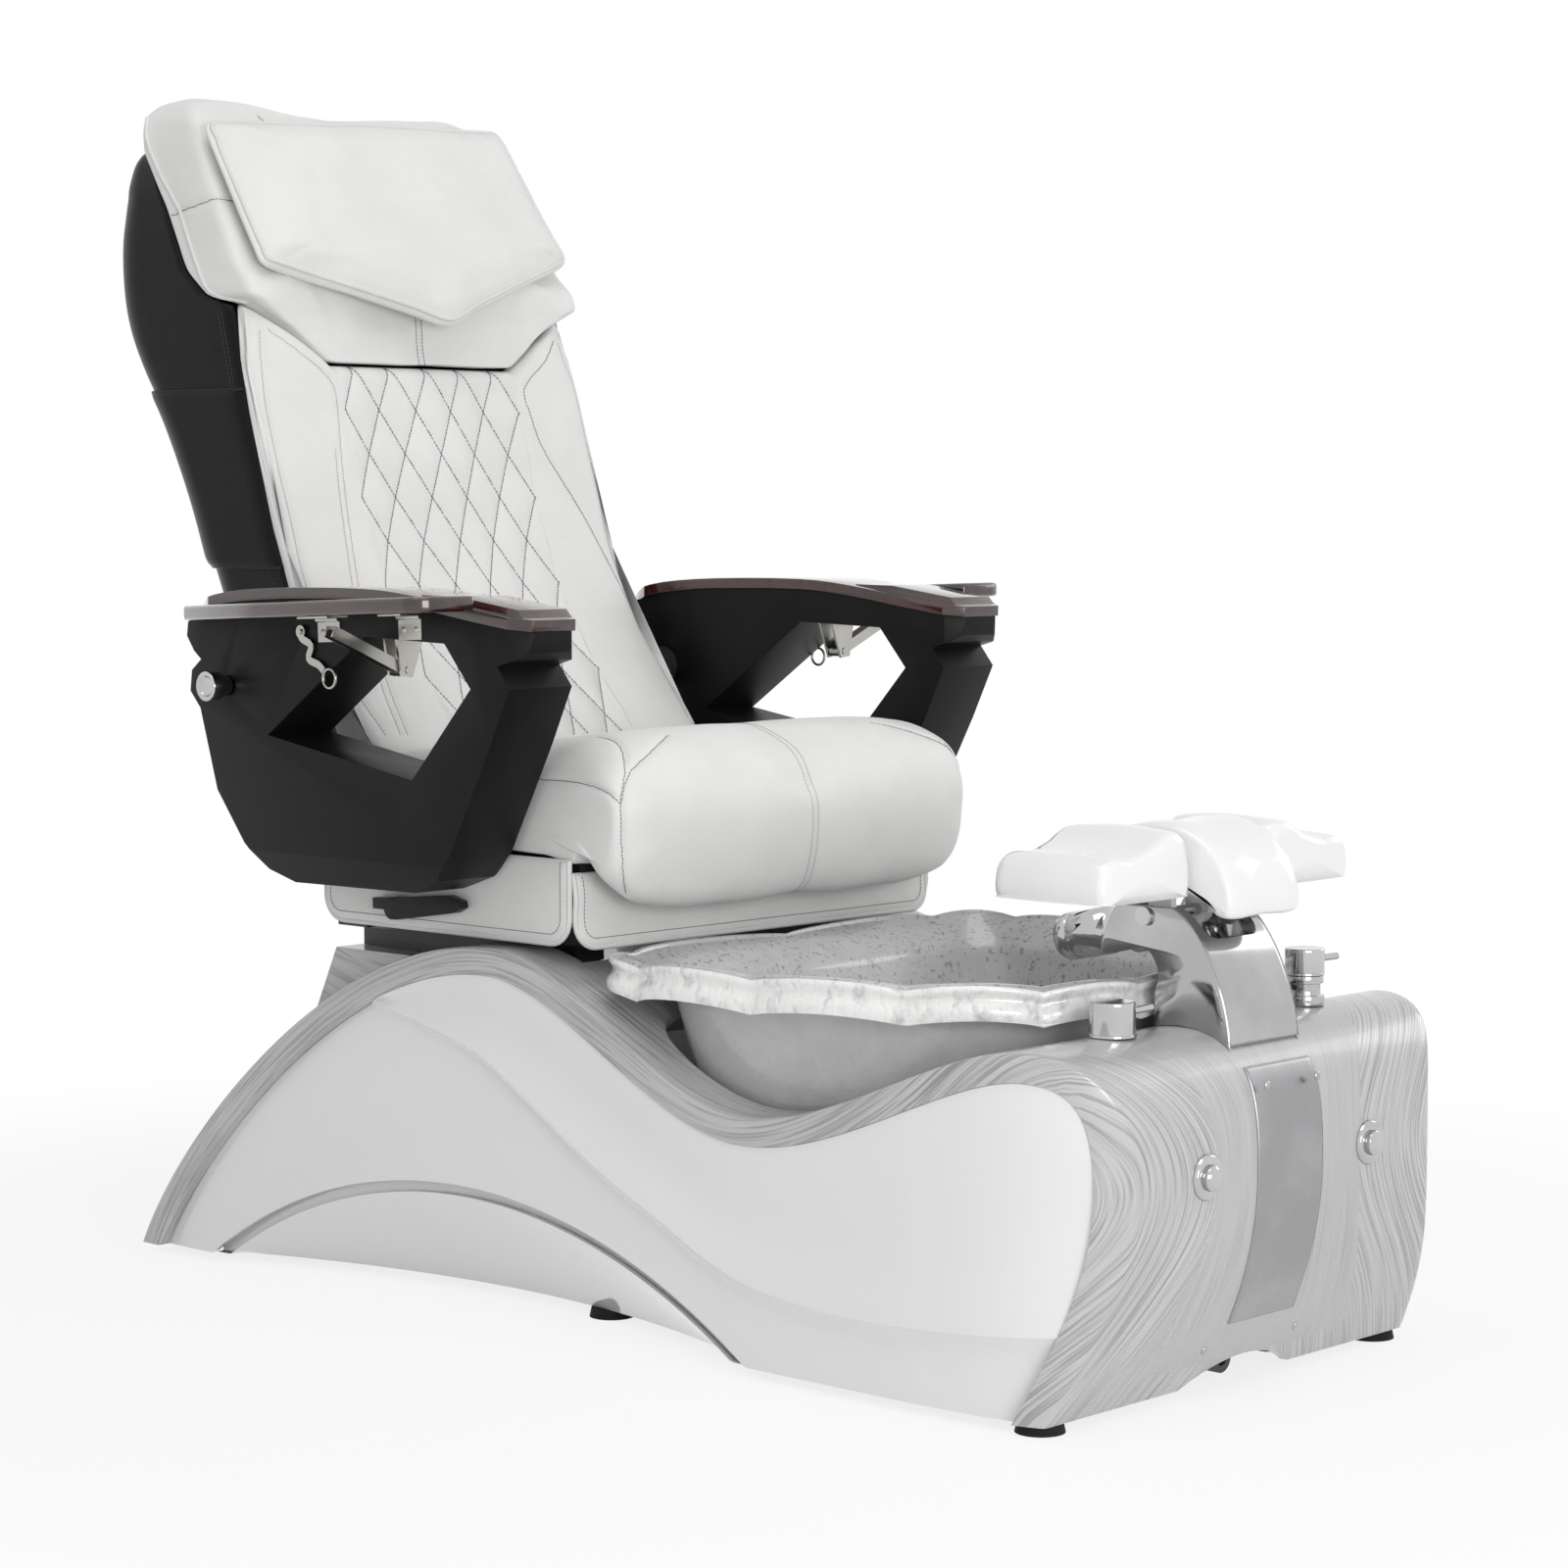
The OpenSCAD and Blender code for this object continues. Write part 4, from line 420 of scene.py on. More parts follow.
@dataclass(frozen=True)
class WoodFilm(Finish):
    """Wood-grain film: fine slanting lines that follow the shell, on the piece's grain attribute."""

    line: Colour = (0.3, 0.3, 0.3)
    slant: float = 0.03

    def draw(self, graph: Graph) -> None:
        """Draws wavering lines along the shell, with broader figure under them.

        Args:
            graph: The material's graph.
        """
        run, first, along = graph.stored("grain")
        sway = graph.noise(graph.node("ShaderNodeMapping", None, {"Vector": run, "Scale": (9.0, 3.5, 1.0)}),
                           1.0, 2.0)
        across = first + along * self.slant + sway * 0.014
        fine = graph.node("ShaderNodeCombineXYZ", None, {0: across * 340.0, 1: along * 6.0})
        wide = graph.node("ShaderNodeCombineXYZ", None, {0: across * 34.0, 1: along * 2.5})
        lines = graph.noise(fine, 1.0, 2.0, 0.6)
        figure = graph.noise(wide, 1.0, 2.0, 0.5)
        mark = lines.band(0.44, 0.62) * (figure * 0.9 + 0.25)
        base = graph.mix(figure.band(0.35, 0.65), self.colour, self.shade(1.07))
        graph.feed(Base_Color=graph.mix(mark, base, self.line), Roughness=mark * 0.15 + self.rough,
                   Coat_Weight=0.5, Coat_Roughness=0.12,
                   Normal=graph.raise_by(lines, 0.0003, 0.25))


@dataclass(frozen=True)
class Metal(Finish):
    """A metal finish: polished, or brushed along one direction."""

    brush: Point = (1.0, 1.0, 1.0)
    scratch: float = 0.03
    depth: float = 0.00002

    def draw(self, graph: Graph) -> None:
        """Draws the brushing, and finger marks that dull it a little.

        Args:
            graph: The material's graph.
        """
        fine = graph.noise(graph.where(self.brush), 420.0, 3.0)
        marks = graph.noise(graph.where(), 14.0, 3.0)
        graph.feed(Base_Color=graph.mix(marks.band(0.35, 0.7), self.shade(0.86), self.colour), Metallic=1.0,
                   Roughness=fine * self.scratch + marks * 0.04 + self.rough,
                   Normal=graph.raise_by(fine, self.depth, 0.5))


@dataclass(frozen=True)
class Moulded(Finish):
    """Moulded polymer with a fine spark-eroded texture."""

    texture: float = 1100.0
    depth: float = 0.00012

    def draw(self, graph: Graph) -> None:
        """Draws the texture and slight wear.

        Args:
            graph: The material's graph.
        """
        fine = graph.noise(graph.where(), self.texture, 2.0)
        wear = graph.noise(graph.where(), 18.0, 4.0)
        paler = tuple(min(1.0, 1.3 * c + 0.001) for c in self.colour)
        graph.feed(Base_Color=graph.mix(wear.band(0.45, 0.8), self.colour, paler),
                   Roughness=wear * 0.12 + fine * 0.08 + (self.rough - 0.1),
                   Normal=graph.raise_by(fine, self.depth, 0.6))


@dataclass(frozen=True)
class Lacquer(Finish):
    """Stained wood under a high-gloss lacquer, its grain along the arm."""

    dark: Colour = (0.01, 0.003, 0.003)

    def draw(self, graph: Graph) -> None:
        """Draws the long grain, the pores and the clear coat.

        Args:
            graph: The material's graph.
        """
        warp = graph.noise(graph.where((1.0, 0.25, 1.0)), 7.0, 2.0)
        long = graph.where((60.0, 3.0, 60.0))
        moved = graph.node("ShaderNodeVectorMath", {"operation": "ADD"}, {0: long, 1: warp})
        grain = graph.noise(moved, 1.6, 5.0, 0.6)
        pores = graph.noise(graph.where((900.0, 30.0, 900.0)), 1.0, 1.0)
        stain = graph.mix(grain.band(0.35, 0.68), self.dark, self.colour)
        graph.feed(Base_Color=graph.mix(pores.band(0.6, 0.75) * 0.5, stain, self.dark),
                   Roughness=grain * 0.1 + self.rough, Coat_Weight=1.0, Coat_Roughness=0.04)


@dataclass(frozen=True)
class Resin(Finish):
    """Speckled resin of the foot tub, with a crumpled pale layer under its curtain's gloss."""

    fleck: Colour = (0.12, 0.12, 0.12)

    def draw(self, graph: Graph) -> None:
        """Draws the bowl's flecks and the curtain's crumpled layer, on the piece's glaze attribute.

        Args:
            graph: The material's graph.
        """
        at = graph.where()
        _, curtain, inside = graph.stored("glaze")
        rim = curtain.band(0.25, 0.75)
        flecks = graph.noise(at, 150.0, 3.0, 0.7)
        cloud = graph.noise(at, 24.0, 4.0, 0.6)
        bowl = graph.mix(cloud.band(0.3, 0.7), self.shade(0.88), self.colour)
        spotted = graph.mix(flecks.band(0.57, 0.64) * (inside * 0.6 + 0.08), bowl, self.fleck)
        rock = graph.noise(graph.where((1.0, 1.0, 0.6)), 75.0, 5.0, 0.6)
        crumple = graph.mix(rock.band(0.25, 0.52), (0.5, 0.5, 0.5), (0.85, 0.85, 0.84))
        bumps = graph.raise_by(rock * rim + flecks * 0.2, 0.006, 0.5)
        graph.feed(Base_Color=graph.mix(rim, spotted, crumple), Roughness=rock * 0.1 + self.rough,
                   Coat_Weight=1.0, Coat_Roughness=0.05, Normal=bumps)


class Looks:
    """Every finish of the chair, by what it is on."""

    WHITE_VINYL = Vinyl("white_vinyl", (0.8, 0.795, 0.785), 0.5)
    BLACK_VINYL = Vinyl("black_vinyl", (0.004, 0.0043, 0.005), 0.3, 1100.0, 0.00014, 0.001)
    PIPING = Vinyl("white_piping", (0.74, 0.735, 0.725), 0.45, 1500.0, 0.0001, 0.0)
    BLACK_PIPING = Vinyl("black_piping", (0.009, 0.0095, 0.011), 0.34, 1500.0, 0.0001, 0.0)
    GREY_THREAD = Moulded("grey_thread", (0.12, 0.12, 0.125), 0.6, 2500.0)
    PALE_THREAD = Moulded("pale_thread", (0.42, 0.42, 0.42), 0.6, 2500.0)
    BLACK_THREAD = Moulded("black_thread", (0.03, 0.03, 0.034), 0.5, 2500.0)
    OAK_FILM = WoodFilm("oak_film", (0.5, 0.5, 0.497), 0.24, (0.24, 0.24, 0.24))
    GELCOAT = Gelcoat("white_gelcoat", (0.8, 0.8, 0.795), 0.08)
    FOAM_SKIN = Gelcoat("white_foam_skin", (0.84, 0.84, 0.835), 0.16, 0.8)
    RESIN = Resin("tub_resin", (0.5, 0.505, 0.505), 0.12)
    CHROME = Metal("chrome", (0.56, 0.56, 0.57), 0.04, (1, 1, 1), 0.02)
    SHEET_CHROME = Metal("tower_chrome", (0.5, 0.5, 0.51), 0.06, (1, 1, 1), 0.02)
    PLATE_STEEL = Metal("plate_steel", (0.4, 0.4, 0.41), 0.2, (1.0, 1.0, 0.02), 0.14, 0.00003)
    ZINC = Metal("zinc_plate", (0.5, 0.49, 0.46), 0.2, (1, 1, 1), 0.04, 0.000004)
    GROUND_STEEL = Metal("ground_steel", (0.6, 0.6, 0.61), 0.16, (40.0, 1.0, 40.0), 0.1)
    BRASS = Metal("valve_brass", (0.66, 0.48, 0.2), 0.28, (1, 1, 1), 0.12)
    POWDER = Moulded("black_powder", (0.018, 0.018, 0.02), 0.45, 700.0, 0.0002)
    GREY_POWDER = Moulded("grey_powder", (0.09, 0.09, 0.1), 0.45, 700.0, 0.0002)
    RUBBER = Moulded("black_rubber", (0.015, 0.015, 0.015), 0.7, 500.0, 0.0002)
    PUMP = Moulded("pump_plastic", (0.04, 0.04, 0.043), 0.5)
    BLACK_PLASTIC = Moulded("black_plastic", (0.014, 0.014, 0.015), 0.35)
    IVORY = Moulded("ivory_roller", (0.62, 0.58, 0.48), 0.45)
    JET_WHITE = Moulded("white_impeller", (0.7, 0.7, 0.69), 0.3)
    ARM_SKIN = Moulded("arm_skin", (0.0055, 0.0058, 0.0065), 0.4, 1400.0, 0.00012)
    MAHOGANY = Lacquer("mahogany", (0.055, 0.009, 0.008), 0.14)


# ---- Meshes ----


def linked(name: str, data: bpy.types.ID) -> bpy.types.Object:
    """Makes an object of a mesh, lamp or camera and links it to the scene at the origin.

    Args:
        name: The object's name.
        data: Its mesh, lamp or camera.

    Returns:
        The object.
    """
    made = bpy.data.objects.new(name, data)
    bpy.context.scene.collection.objects.link(made)
    return made


def written(name: str, work: bmesh.types.BMesh,
            material: bpy.types.Material | None = None) -> bpy.types.Object:
    """Writes a finished BMesh to a new object, with a material where given, and frees it.

    Args:
        name: The object's name.
        work: The BMesh.
        material: Its material, or None.

    Returns:
        The object.
    """
    mesh = bpy.data.meshes.new(name)
    work.to_mesh(mesh)
    work.free()
    if material is not None:
        mesh.materials.append(material)
    return linked(name, mesh)


def shade_smooth(piece: bpy.types.Object, sharp_from: float) -> None:
    """Shades a piece smooth but for edges from an angle in degrees.

    Args:
        piece: The piece.
        sharp_from: Least angle of an edge that stays sharp.
    """
    for face in piece.data.polygons:
        face.use_smooth = True
    piece.data.set_sharp_from_angle(angle=math.radians(sharp_from))


def mesh_object(name: str, vertices: np.ndarray, faces: Sequence, finish: Finish,
                smooth: bool = True) -> bpy.types.Object:
    """Makes an object from vertices and faces.

    Args:
        name: The piece's name.
        vertices: Its points in metres.
        faces: Its faces as tuples of point numbers.
        finish: Its finish.
        smooth: Whether its faces are shaded smooth.

    Returns:
        The object, linked to the scene at the origin.
    """
    mesh = bpy.data.meshes.new(name)
    mesh.from_pydata([tuple(map(float, v)) for v in vertices], [], [tuple(map(int, f)) for f in faces])
    mesh.materials.append(finish.material())
    work = bmesh.new()
    work.from_mesh(mesh)
    bmesh.ops.remove_doubles(work, verts=work.verts, dist=1e-6)
    bmesh.ops.recalc_face_normals(work, faces=work.faces)
    work.to_mesh(mesh)
    work.free()
    for face in mesh.polygons:
        face.use_smooth = smooth
    return linked(name, mesh)


def ring_faces(n: int, rings: int) -> list[tuple[int, ...]]:
    """Gives the faces between rings of n points each, in the order of the rings."""
    return [(j * n + i, j * n + (i + 1) % n, (j + 1) * n + (i + 1) % n, (j + 1) * n + i)
            for j in range(rings - 1) for i in range(n)]


def loft(name: str, rings: Sequence[np.ndarray], finish: Finish, capped: bool = True) -> bpy.types.Object:
    """Makes a closed skin over rings of equal length.

    Args:
        name: The piece's name.
        rings: Closed rings of outline points in millimetres, in order.
        finish: Its finish.
        capped: Whether the first and last ring are closed by a fan.

    Returns:
        The object.
    """
    n = len(rings[0])
    points = np.vstack([np.asarray(r, float) for r in rings])
    faces = ring_faces(n, len(rings))
    if capped:
        first, last, base = len(points), len(points) + 1, (len(rings) - 1) * n
        points = np.vstack([points, np.mean(rings[0], 0), np.mean(rings[-1], 0)])
        faces += [(first, (i + 1) % n, i) for i in range(n)]
        faces += [(last, base + i, base + (i + 1) % n) for i in range(n)]
    return mesh_object(name, place(points), faces, finish)


def evaluated_copy(source: bpy.types.Object, name: str) -> bpy.types.Object:
    """Turns an object's evaluated result into a plain mesh object and removes the source.

    Args:
        source: The object with its modifiers.
        name: The result's name.

    Returns:
        The plain object.
    """
    graph = bpy.context.evaluated_depsgraph_get()
    graph.update()
    mesh = bpy.data.meshes.new_from_object(source.evaluated_get(graph))
    bpy.data.objects.remove(source)
    mesh.name = name
    return linked(name, mesh)


def subdivided(piece: bpy.types.Object) -> bpy.types.Object:
    """Applies one level of subdivision surface.

    Args:
        piece: The piece.

    Returns:
        The finer piece, under the same name.
    """
    smooth = piece.modifiers.new("smooth", "SUBSURF")
    smooth.levels = smooth.render_levels = 1
    return evaluated_copy(piece, piece.name)


def coordinates(piece: bpy.types.Object) -> np.ndarray:
    """Gives the piece's points.

    Args:
        piece: The piece.

    Returns:
        Its points in metres.
    """
    out = np.zeros(len(piece.data.vertices) * 3)
    piece.data.vertices.foreach_get("co", out)
    return out.reshape(-1, 3)


def in_outline(piece: bpy.types.Object) -> np.ndarray:
    """Gives the piece's points in the outlines' own millimetres."""
    return coordinates(piece) * MM + np.array([0, MID_Y, 0])


def normals(piece: bpy.types.Object) -> np.ndarray:
    """Gives the piece's point normals.

    Args:
        piece: The piece.

    Returns:
        One unit vector for each point.
    """
    out = np.zeros(len(piece.data.vertices) * 3)
    piece.data.vertices.foreach_get("normal", out)
    return out.reshape(-1, 3)


def set_coordinates(piece: bpy.types.Object, points: np.ndarray) -> None:
    """Writes the piece's points."""
    piece.data.vertices.foreach_set("co", np.ascontiguousarray(points, float).ravel())
    piece.data.update()


def pushed(piece: bpy.types.Object, way: np.ndarray) -> None:
    """Moves each point of a piece along its normal, by its own way in metres."""
    set_coordinates(piece, coordinates(piece) + normals(piece) * way[:, None])


def marked(mesh: bpy.types.Mesh, name: str, vectors: np.ndarray) -> None:
    """Stores a vector on each point of a mesh."""
    layer = mesh.attributes.new(name, "FLOAT_VECTOR", "POINT")
    layer.data.foreach_set("vector", vectors.ravel())


CLOTH_PRESSURE = 4.0
CLOTH_FRAMES = 20


def inflated(piece: bpy.types.Object, cap: float, free: np.ndarray) -> bpy.types.Object:
    """Swells a padded piece by cloth simulation, with each point's way capped.

    Args:
        piece: A closed mesh with even faces.
        cap: The furthest that a point may move, in metres.
        free: How far each point may follow, from 0 to 1.
    """
    rest = coordinates(piece)
    cloth = piece.modifiers.new("fill", "CLOTH")
    settings = cloth.settings
    settings.quality = 4
    settings.mass = 0.3
    settings.tension_stiffness = settings.compression_stiffness = 15.0
    settings.shear_stiffness = 8.0
    settings.bending_stiffness = 0.6
    settings.use_pressure = True
    settings.uniform_pressure_force = CLOTH_PRESSURE
    settings.effector_weights.gravity = 0.0
    cloth.collision_settings.use_collision = False
    scene = bpy.context.scene
    for frame_number in range(1, CLOTH_FRAMES + 1):
        scene.frame_set(frame_number)
    graph = bpy.context.evaluated_depsgraph_get()
    moved = np.zeros(len(rest) * 3)
    piece.evaluated_get(graph).data.vertices.foreach_get("co", moved)
    piece.modifiers.remove(cloth)
    scene.frame_set(1)
    way = moved.reshape(-1, 3) - rest
    far = np.linalg.norm(way, axis=1, keepdims=True)
    way *= np.minimum(1.0, cap / np.maximum(far, 1e-9))
    set_coordinates(piece, rest + way * free[:, None])
    return piece


def grooved(piece: bpy.types.Object, lines: Sequence[np.ndarray], depth: float, width: float) -> None:
    """Draws the surface in along sewn lines.

    Args:
        piece: The padded piece.
        lines: Seam lines on its surface, as points in metres.
        depth: Depth of the groove.
        width: Its half width.
    """
    points = coordinates(piece)
    near = np.full(len(points), 1e9)
    for line in lines:
        if len(line) < 2:
            continue
        low, high = line.min(0) - 3 * width, line.max(0) + 3 * width
        close = np.flatnonzero(np.all((points > low) & (points < high), axis=1))
        for a, b in zip(line[:-1], line[1:]):
            d = b - a
            t = np.clip(((points[close] - a) @ d) / max(1e-12, d @ d), 0, 1)
            gap = np.linalg.norm(points[close] - (a + t[:, None] * d), axis=1)
            near[close] = np.minimum(near[close], gap)
    pushed(piece, -depth * np.exp(-((near / width) ** 2)))


SEAM_STEP = 3.0  # spacing of the points of a seam, in millimetres


class Skin:
    """The surface of a finished piece, on which seams and stitches are laid."""

    def __init__(self, piece: bpy.types.Object) -> None:
        """Takes the surface of a piece as it stands.

        Args:
            piece: The piece.
        """
        work = bmesh.new()
        work.from_mesh(piece.data)
        self.tree = BVHTree.FromBMesh(work)
        work.free()

    def from_front(self, path: np.ndarray, lift: float) -> np.ndarray:
        """Drops a path from the chair's front onto the surface.

        Args:
            path: Points near the surface, in metres.
            lift: How far the result stands off the surface.

        Returns:
            The points that met the surface, in order.
        """
        way, reach = Vector((0, 1, 0)), 0.25
        out = []
        for p in path:
            hit, normal, *_ = self.tree.ray_cast(Vector(p) - way * reach, way, 2 * reach)
            if hit is not None:
                out.append(hit + normal * lift)
        return np.array([tuple(v) for v in out]) if out else np.zeros((0, 3))

    def closest(self, path: np.ndarray, lift: float) -> np.ndarray:
        """Moves each point of a path to the surface's nearest point, lifted off it.

        Args:
            path: Points near the surface, in metres.
            lift: How far the result stands off the surface.

        Returns:
            The moved points.
        """
        out = []
        for p in path:
            hit, normal, *_ = self.tree.find_nearest(Vector(p))
            out.append(hit + normal * lift)
        return np.array([tuple(v) for v in out])

    def laid(self, rows: Sequence[Sequence[Point]], lift: float = 0.0) -> list[np.ndarray]:
        """Smooths rough rows of points in millimetres and lays them on the nearest surface."""
        return [self.closest(even_row(row), lift) for row in rows]


def even_row(row: Sequence[Point]) -> np.ndarray:
    """Smooths a rough row of points in millimetres, as points in metres at the seams' spacing."""
    return place(spaced(smooth_path(row, 6), SEAM_STEP))


# ---- Geometry Nodes ----


class Tree:
    """A Geometry Nodes tree under construction, with named inputs."""

    def __init__(self, name: str) -> None:
        """Starts a tree with a geometry input and output.

        Args:
            name: The tree's name.
        """
        self.group = bpy.data.node_groups.new(name, "GeometryNodeTree")
        face = self.group.interface
        face.new_socket("Geometry", in_out="INPUT", socket_type="NodeSocketGeometry")
        face.new_socket("Geometry", in_out="OUTPUT", socket_type="NodeSocketGeometry")
        self.entry = self.group.nodes.new("NodeGroupInput")
        self.exit = self.group.nodes.new("NodeGroupOutput")

    def size(self, name: str, kind: str = "NodeSocketFloat") -> bpy.types.NodeSocket:
        """Adds a named input and gives its socket."""
        self.group.interface.new_socket(name, in_out="INPUT", socket_type=kind)
        return self.entry.outputs[name]

    def node(self, kind: str, settings: dict | None = None, inputs: dict | None = None) -> bpy.types.Node:
        """Adds one node with its settings, and the values or links of its inputs.

        Args:
            kind: The node's type.
            settings: Its settings.
            inputs: Values or sockets, by socket name or number.

        Returns:
            The node.
        """
        made = self.group.nodes.new(kind)
        for key, value in (settings or {}).items():
            setattr(made, key, value)
        for key, value in (inputs or {}).items():
            if isinstance(value, bpy.types.NodeSocket):
                self.group.links.new(value, made.inputs[key])
            else:
                made.inputs[key].default_value = value
        return made

    def upright(self, direction: bpy.types.Node) -> bpy.types.Node:
        """Adds the turn that brings +Z to a direction."""
        return self.node("FunctionNodeAlignRotationToVector", {"axis": "Z"}, {"Vector": direction.outputs[0]})

    def spread(self, points: bpy.types.NodeSocket, piece: bpy.types.Node,
               turn: bpy.types.Node) -> bpy.types.Node:
        """Adds copies of a piece on points, each with its turn."""
        return self.node("GeometryNodeInstanceOnPoints", None,
                         {"Points": points, "Instance": piece.outputs[0], "Rotation": turn.outputs[0]})

    def end(self, last: bpy.types.Node, material: bpy.types.NodeSocket) -> bpy.types.NodeTree:
        """Realizes the instances, sets their material and gives the closed tree.

        Args:
            last: The node that gives the instances.
            material: The material's socket.

        Returns:
            The tree.
        """
        real = self.node("GeometryNodeRealizeInstances", None, {"Geometry": last.outputs[0]})
        soft = self.node("GeometryNodeSetShadeSmooth", None, {0: real.outputs[0]})
        dressed = self.node("GeometryNodeSetMaterial", None,
                            {"Geometry": soft.outputs[0], "Material": material})
        self.group.links.new(dressed.outputs[0], self.exit.inputs[0])
        return self.group


class Repeats(Enum):
    """What a Geometry Nodes tree repeats or sweeps along its paths."""

    STITCHES = "stitches"
    PIPING = "piping"
    SCREWS = "screws"


def repeat_tree(kind: Repeats) -> bpy.types.NodeTree:
    """Builds one of the chair's trees, once.

    Args:
        kind: What the tree makes.

    Returns:
        The node tree, with inputs Pitch, Length, Radius and Material.
    """
    found = bpy.data.node_groups.get("chair_" + kind.value)
    if found is not None:
        return found
    tree = Tree("chair_" + kind.value)
    pitch, length, radius = (tree.size(n) for n in ("Pitch", "Length", "Radius"))
    material = tree.size("Material", "NodeSocketMaterial")
    source = tree.entry.outputs[0]
    if kind is Repeats.SCREWS:
        normal = tree.node("GeometryNodeInputNamedAttribute", {"data_type": "FLOAT_VECTOR"}, {"Name": "out"})
        turn = tree.upright(normal)
        head = tree.node("GeometryNodeMeshUVSphere", None, {"Segments": 16, "Rings": 8, "Radius": radius})
        flat = tree.node("GeometryNodeTransform", None,
                         {"Geometry": head.outputs[0], "Scale": (1.0, 1.0, 0.45)})
        cut = tree.node("GeometryNodeMeshCube", None, {"Size": (0.0007, 0.0044, 0.0006)})
        lifted = tree.node("GeometryNodeTransform", None,
                           {"Geometry": cut.outputs[0], "Translation": (0.0, 0.0, 0.0014)})
        both = tree.node("GeometryNodeJoinGeometry")
        tree.group.links.new(flat.outputs[0], both.inputs[0])
        tree.group.links.new(lifted.outputs[0], both.inputs[0])
        return tree.end(tree.spread(source, both, turn), material)
    curve = tree.node("GeometryNodeMeshToCurve", None, {"Mesh": source})
    even = tree.node("GeometryNodeResampleCurve", {"mode": "LENGTH"},
                     {"Curve": curve.outputs[0], "Length": pitch})
    if kind is Repeats.PIPING:
        ring = tree.node("GeometryNodeCurvePrimitiveCircle", None, {"Resolution": 8, "Radius": radius})
        tube = tree.node("GeometryNodeCurveToMesh", None,
                         {"Curve": even.outputs[0], "Profile Curve": ring.outputs[0], "Fill Caps": True})
        return tree.end(tube, material)
    turn = tree.upright(tree.node("GeometryNodeInputTangent"))
    thread = tree.node("GeometryNodeMeshCylinder", None, {"Vertices": 6, "Radius": radius, "Depth": length})
    return tree.end(tree.spread(even.outputs[0], thread, turn), material)


def line_object(name: str, paths: Sequence[np.ndarray], closed: bool = False,
                outward: Sequence[Point] | None = None) -> bpy.types.Object:
    """Makes an object of edges along paths, or of loose points with an outward direction.

    Args:
        name: The object's name.
        paths: Paths of points in metres.
        closed: Whether each path returns to its first point.
        outward: A direction for each loose point, or None for paths.

    Returns:
        The object.
    """
    points, edges = [], []
    for path in paths:
        if len(path) < 2 and outward is None:
            continue
        first = len(points)
        points += [tuple(map(float, p)) for p in path]
        if outward is None:
            edges += [(i, i + 1) for i in range(first, len(points) - 1)]
            if closed:
                edges.append((len(points) - 1, first))
    mesh = bpy.data.meshes.new(name)
    mesh.from_pydata(points, edges, [])
    if outward is not None:
        marked(mesh, "out", np.array(outward, float))
    return linked(name, mesh)


def repeated(name: str, source: bpy.types.Object, kind: Repeats, finish: Finish, pitch: float,
             length: float, radius: float) -> bpy.types.Object:
    """Runs one of the chair's trees on lines or points and gives a plain mesh.

    Args:
        name: The piece's name.
        source: The lines or points.
        kind: Which tree runs.
        finish: The result's finish.
        pitch: Spacing along the line.
        length: Length of one stitch.
        radius: Radius of the thread, piping or screw head.

    Returns:
        The finished mesh object.
    """
    tree = repeat_tree(kind)
    worker = source.modifiers.new("repeat", "NODES")
    worker.node_group = tree
    values = {"Pitch": pitch, "Length": length, "Radius": radius, "Material": finish.material()}
    for item in tree.interface.items_tree:
        if item.item_type == "SOCKET" and item.in_out == "INPUT" and item.name in values:
            worker[item.identifier] = values[item.name]
    return evaluated_copy(source, name)


PIPING_STEP = 0.006  # spacing of a piping's rings, in metres
THREAD_SHARE = 0.74  # the share of a stitch's pitch that its thread covers


def stitched(name: str, paths: Sequence[np.ndarray], finish: Finish, pitch: float = 0.0042,
             radius: float = 0.00045) -> bpy.types.Object:
    """Sews a run of stitches along each path."""
    return repeated(name, line_object(name, paths), Repeats.STITCHES, finish, pitch, THREAD_SHARE * pitch,
                    radius)


def piped(name: str, paths: Sequence[np.ndarray], finish: Finish, radius: float,
          closed: bool = False) -> bpy.types.Object:
    """Sweeps a round piping along each path."""
    return repeated(name, line_object(name, paths, closed), Repeats.PIPING, finish, PIPING_STEP, 0.0,
                    radius)


def screwed(name: str, points: Sequence[Point], outward: Sequence[Point], finish: Finish,
            radius: float) -> bpy.types.Object:
    """Sets a slotted screw head at each point."""
    source = line_object(name, [np.array(points)], outward=outward)
    return repeated(name, source, Repeats.SCREWS, finish, 0.0, 0.0, radius)


def rounded(piece: bpy.types.Object, width: float, segments: int = 2,
            angle: float = 24.0) -> bpy.types.Object:
    """Rounds a piece's hard edges and shades it smooth within a slightly wider angle.

    Args:
        piece: The piece.
        width: Width of the rounded edges in metres.
        segments: Faces across each rounded edge.
        angle: The least angle of an edge that is rounded, in degrees.

    Returns:
        The rounded piece, under the same name.
    """
    edge = piece.modifiers.new("edge", "BEVEL")
    edge.width, edge.segments = width, segments
    edge.limit_method, edge.angle_limit = "ANGLE", math.radians(angle)
    piece = evaluated_copy(piece, piece.name)
    shade_smooth(piece, angle + 8)
    return piece


def softened(name: str, nodes: Sequence[str], finish: Finish, width: float,
             segments: int = 2, angle: float = 24.0) -> bpy.types.Object:
    """Copies hard CAD nodes with their edges rounded, for a piece that stands for them.

    Args:
        name: The piece's name.
        nodes: The CAD nodes.
        finish: Its finish.
        width: Width of the rounded edges.
        segments: Faces across each rounded edge.
        angle: The least angle of an edge that is rounded, in degrees.

    Returns:
        The piece, which already stands for the nodes.
    """
    work = bmesh.new()
    for node in nodes:
        work.from_mesh(FRAME["nodes"][node].data)
    bmesh.ops.remove_doubles(work, verts=work.verts, dist=1e-5)
    bmesh.ops.dissolve_limit(work, angle_limit=math.radians(0.6), verts=work.verts, edges=work.edges)
    piece = rounded(written(name, work, finish.material()), width, segments, angle)
    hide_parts(*nodes)
    return piece


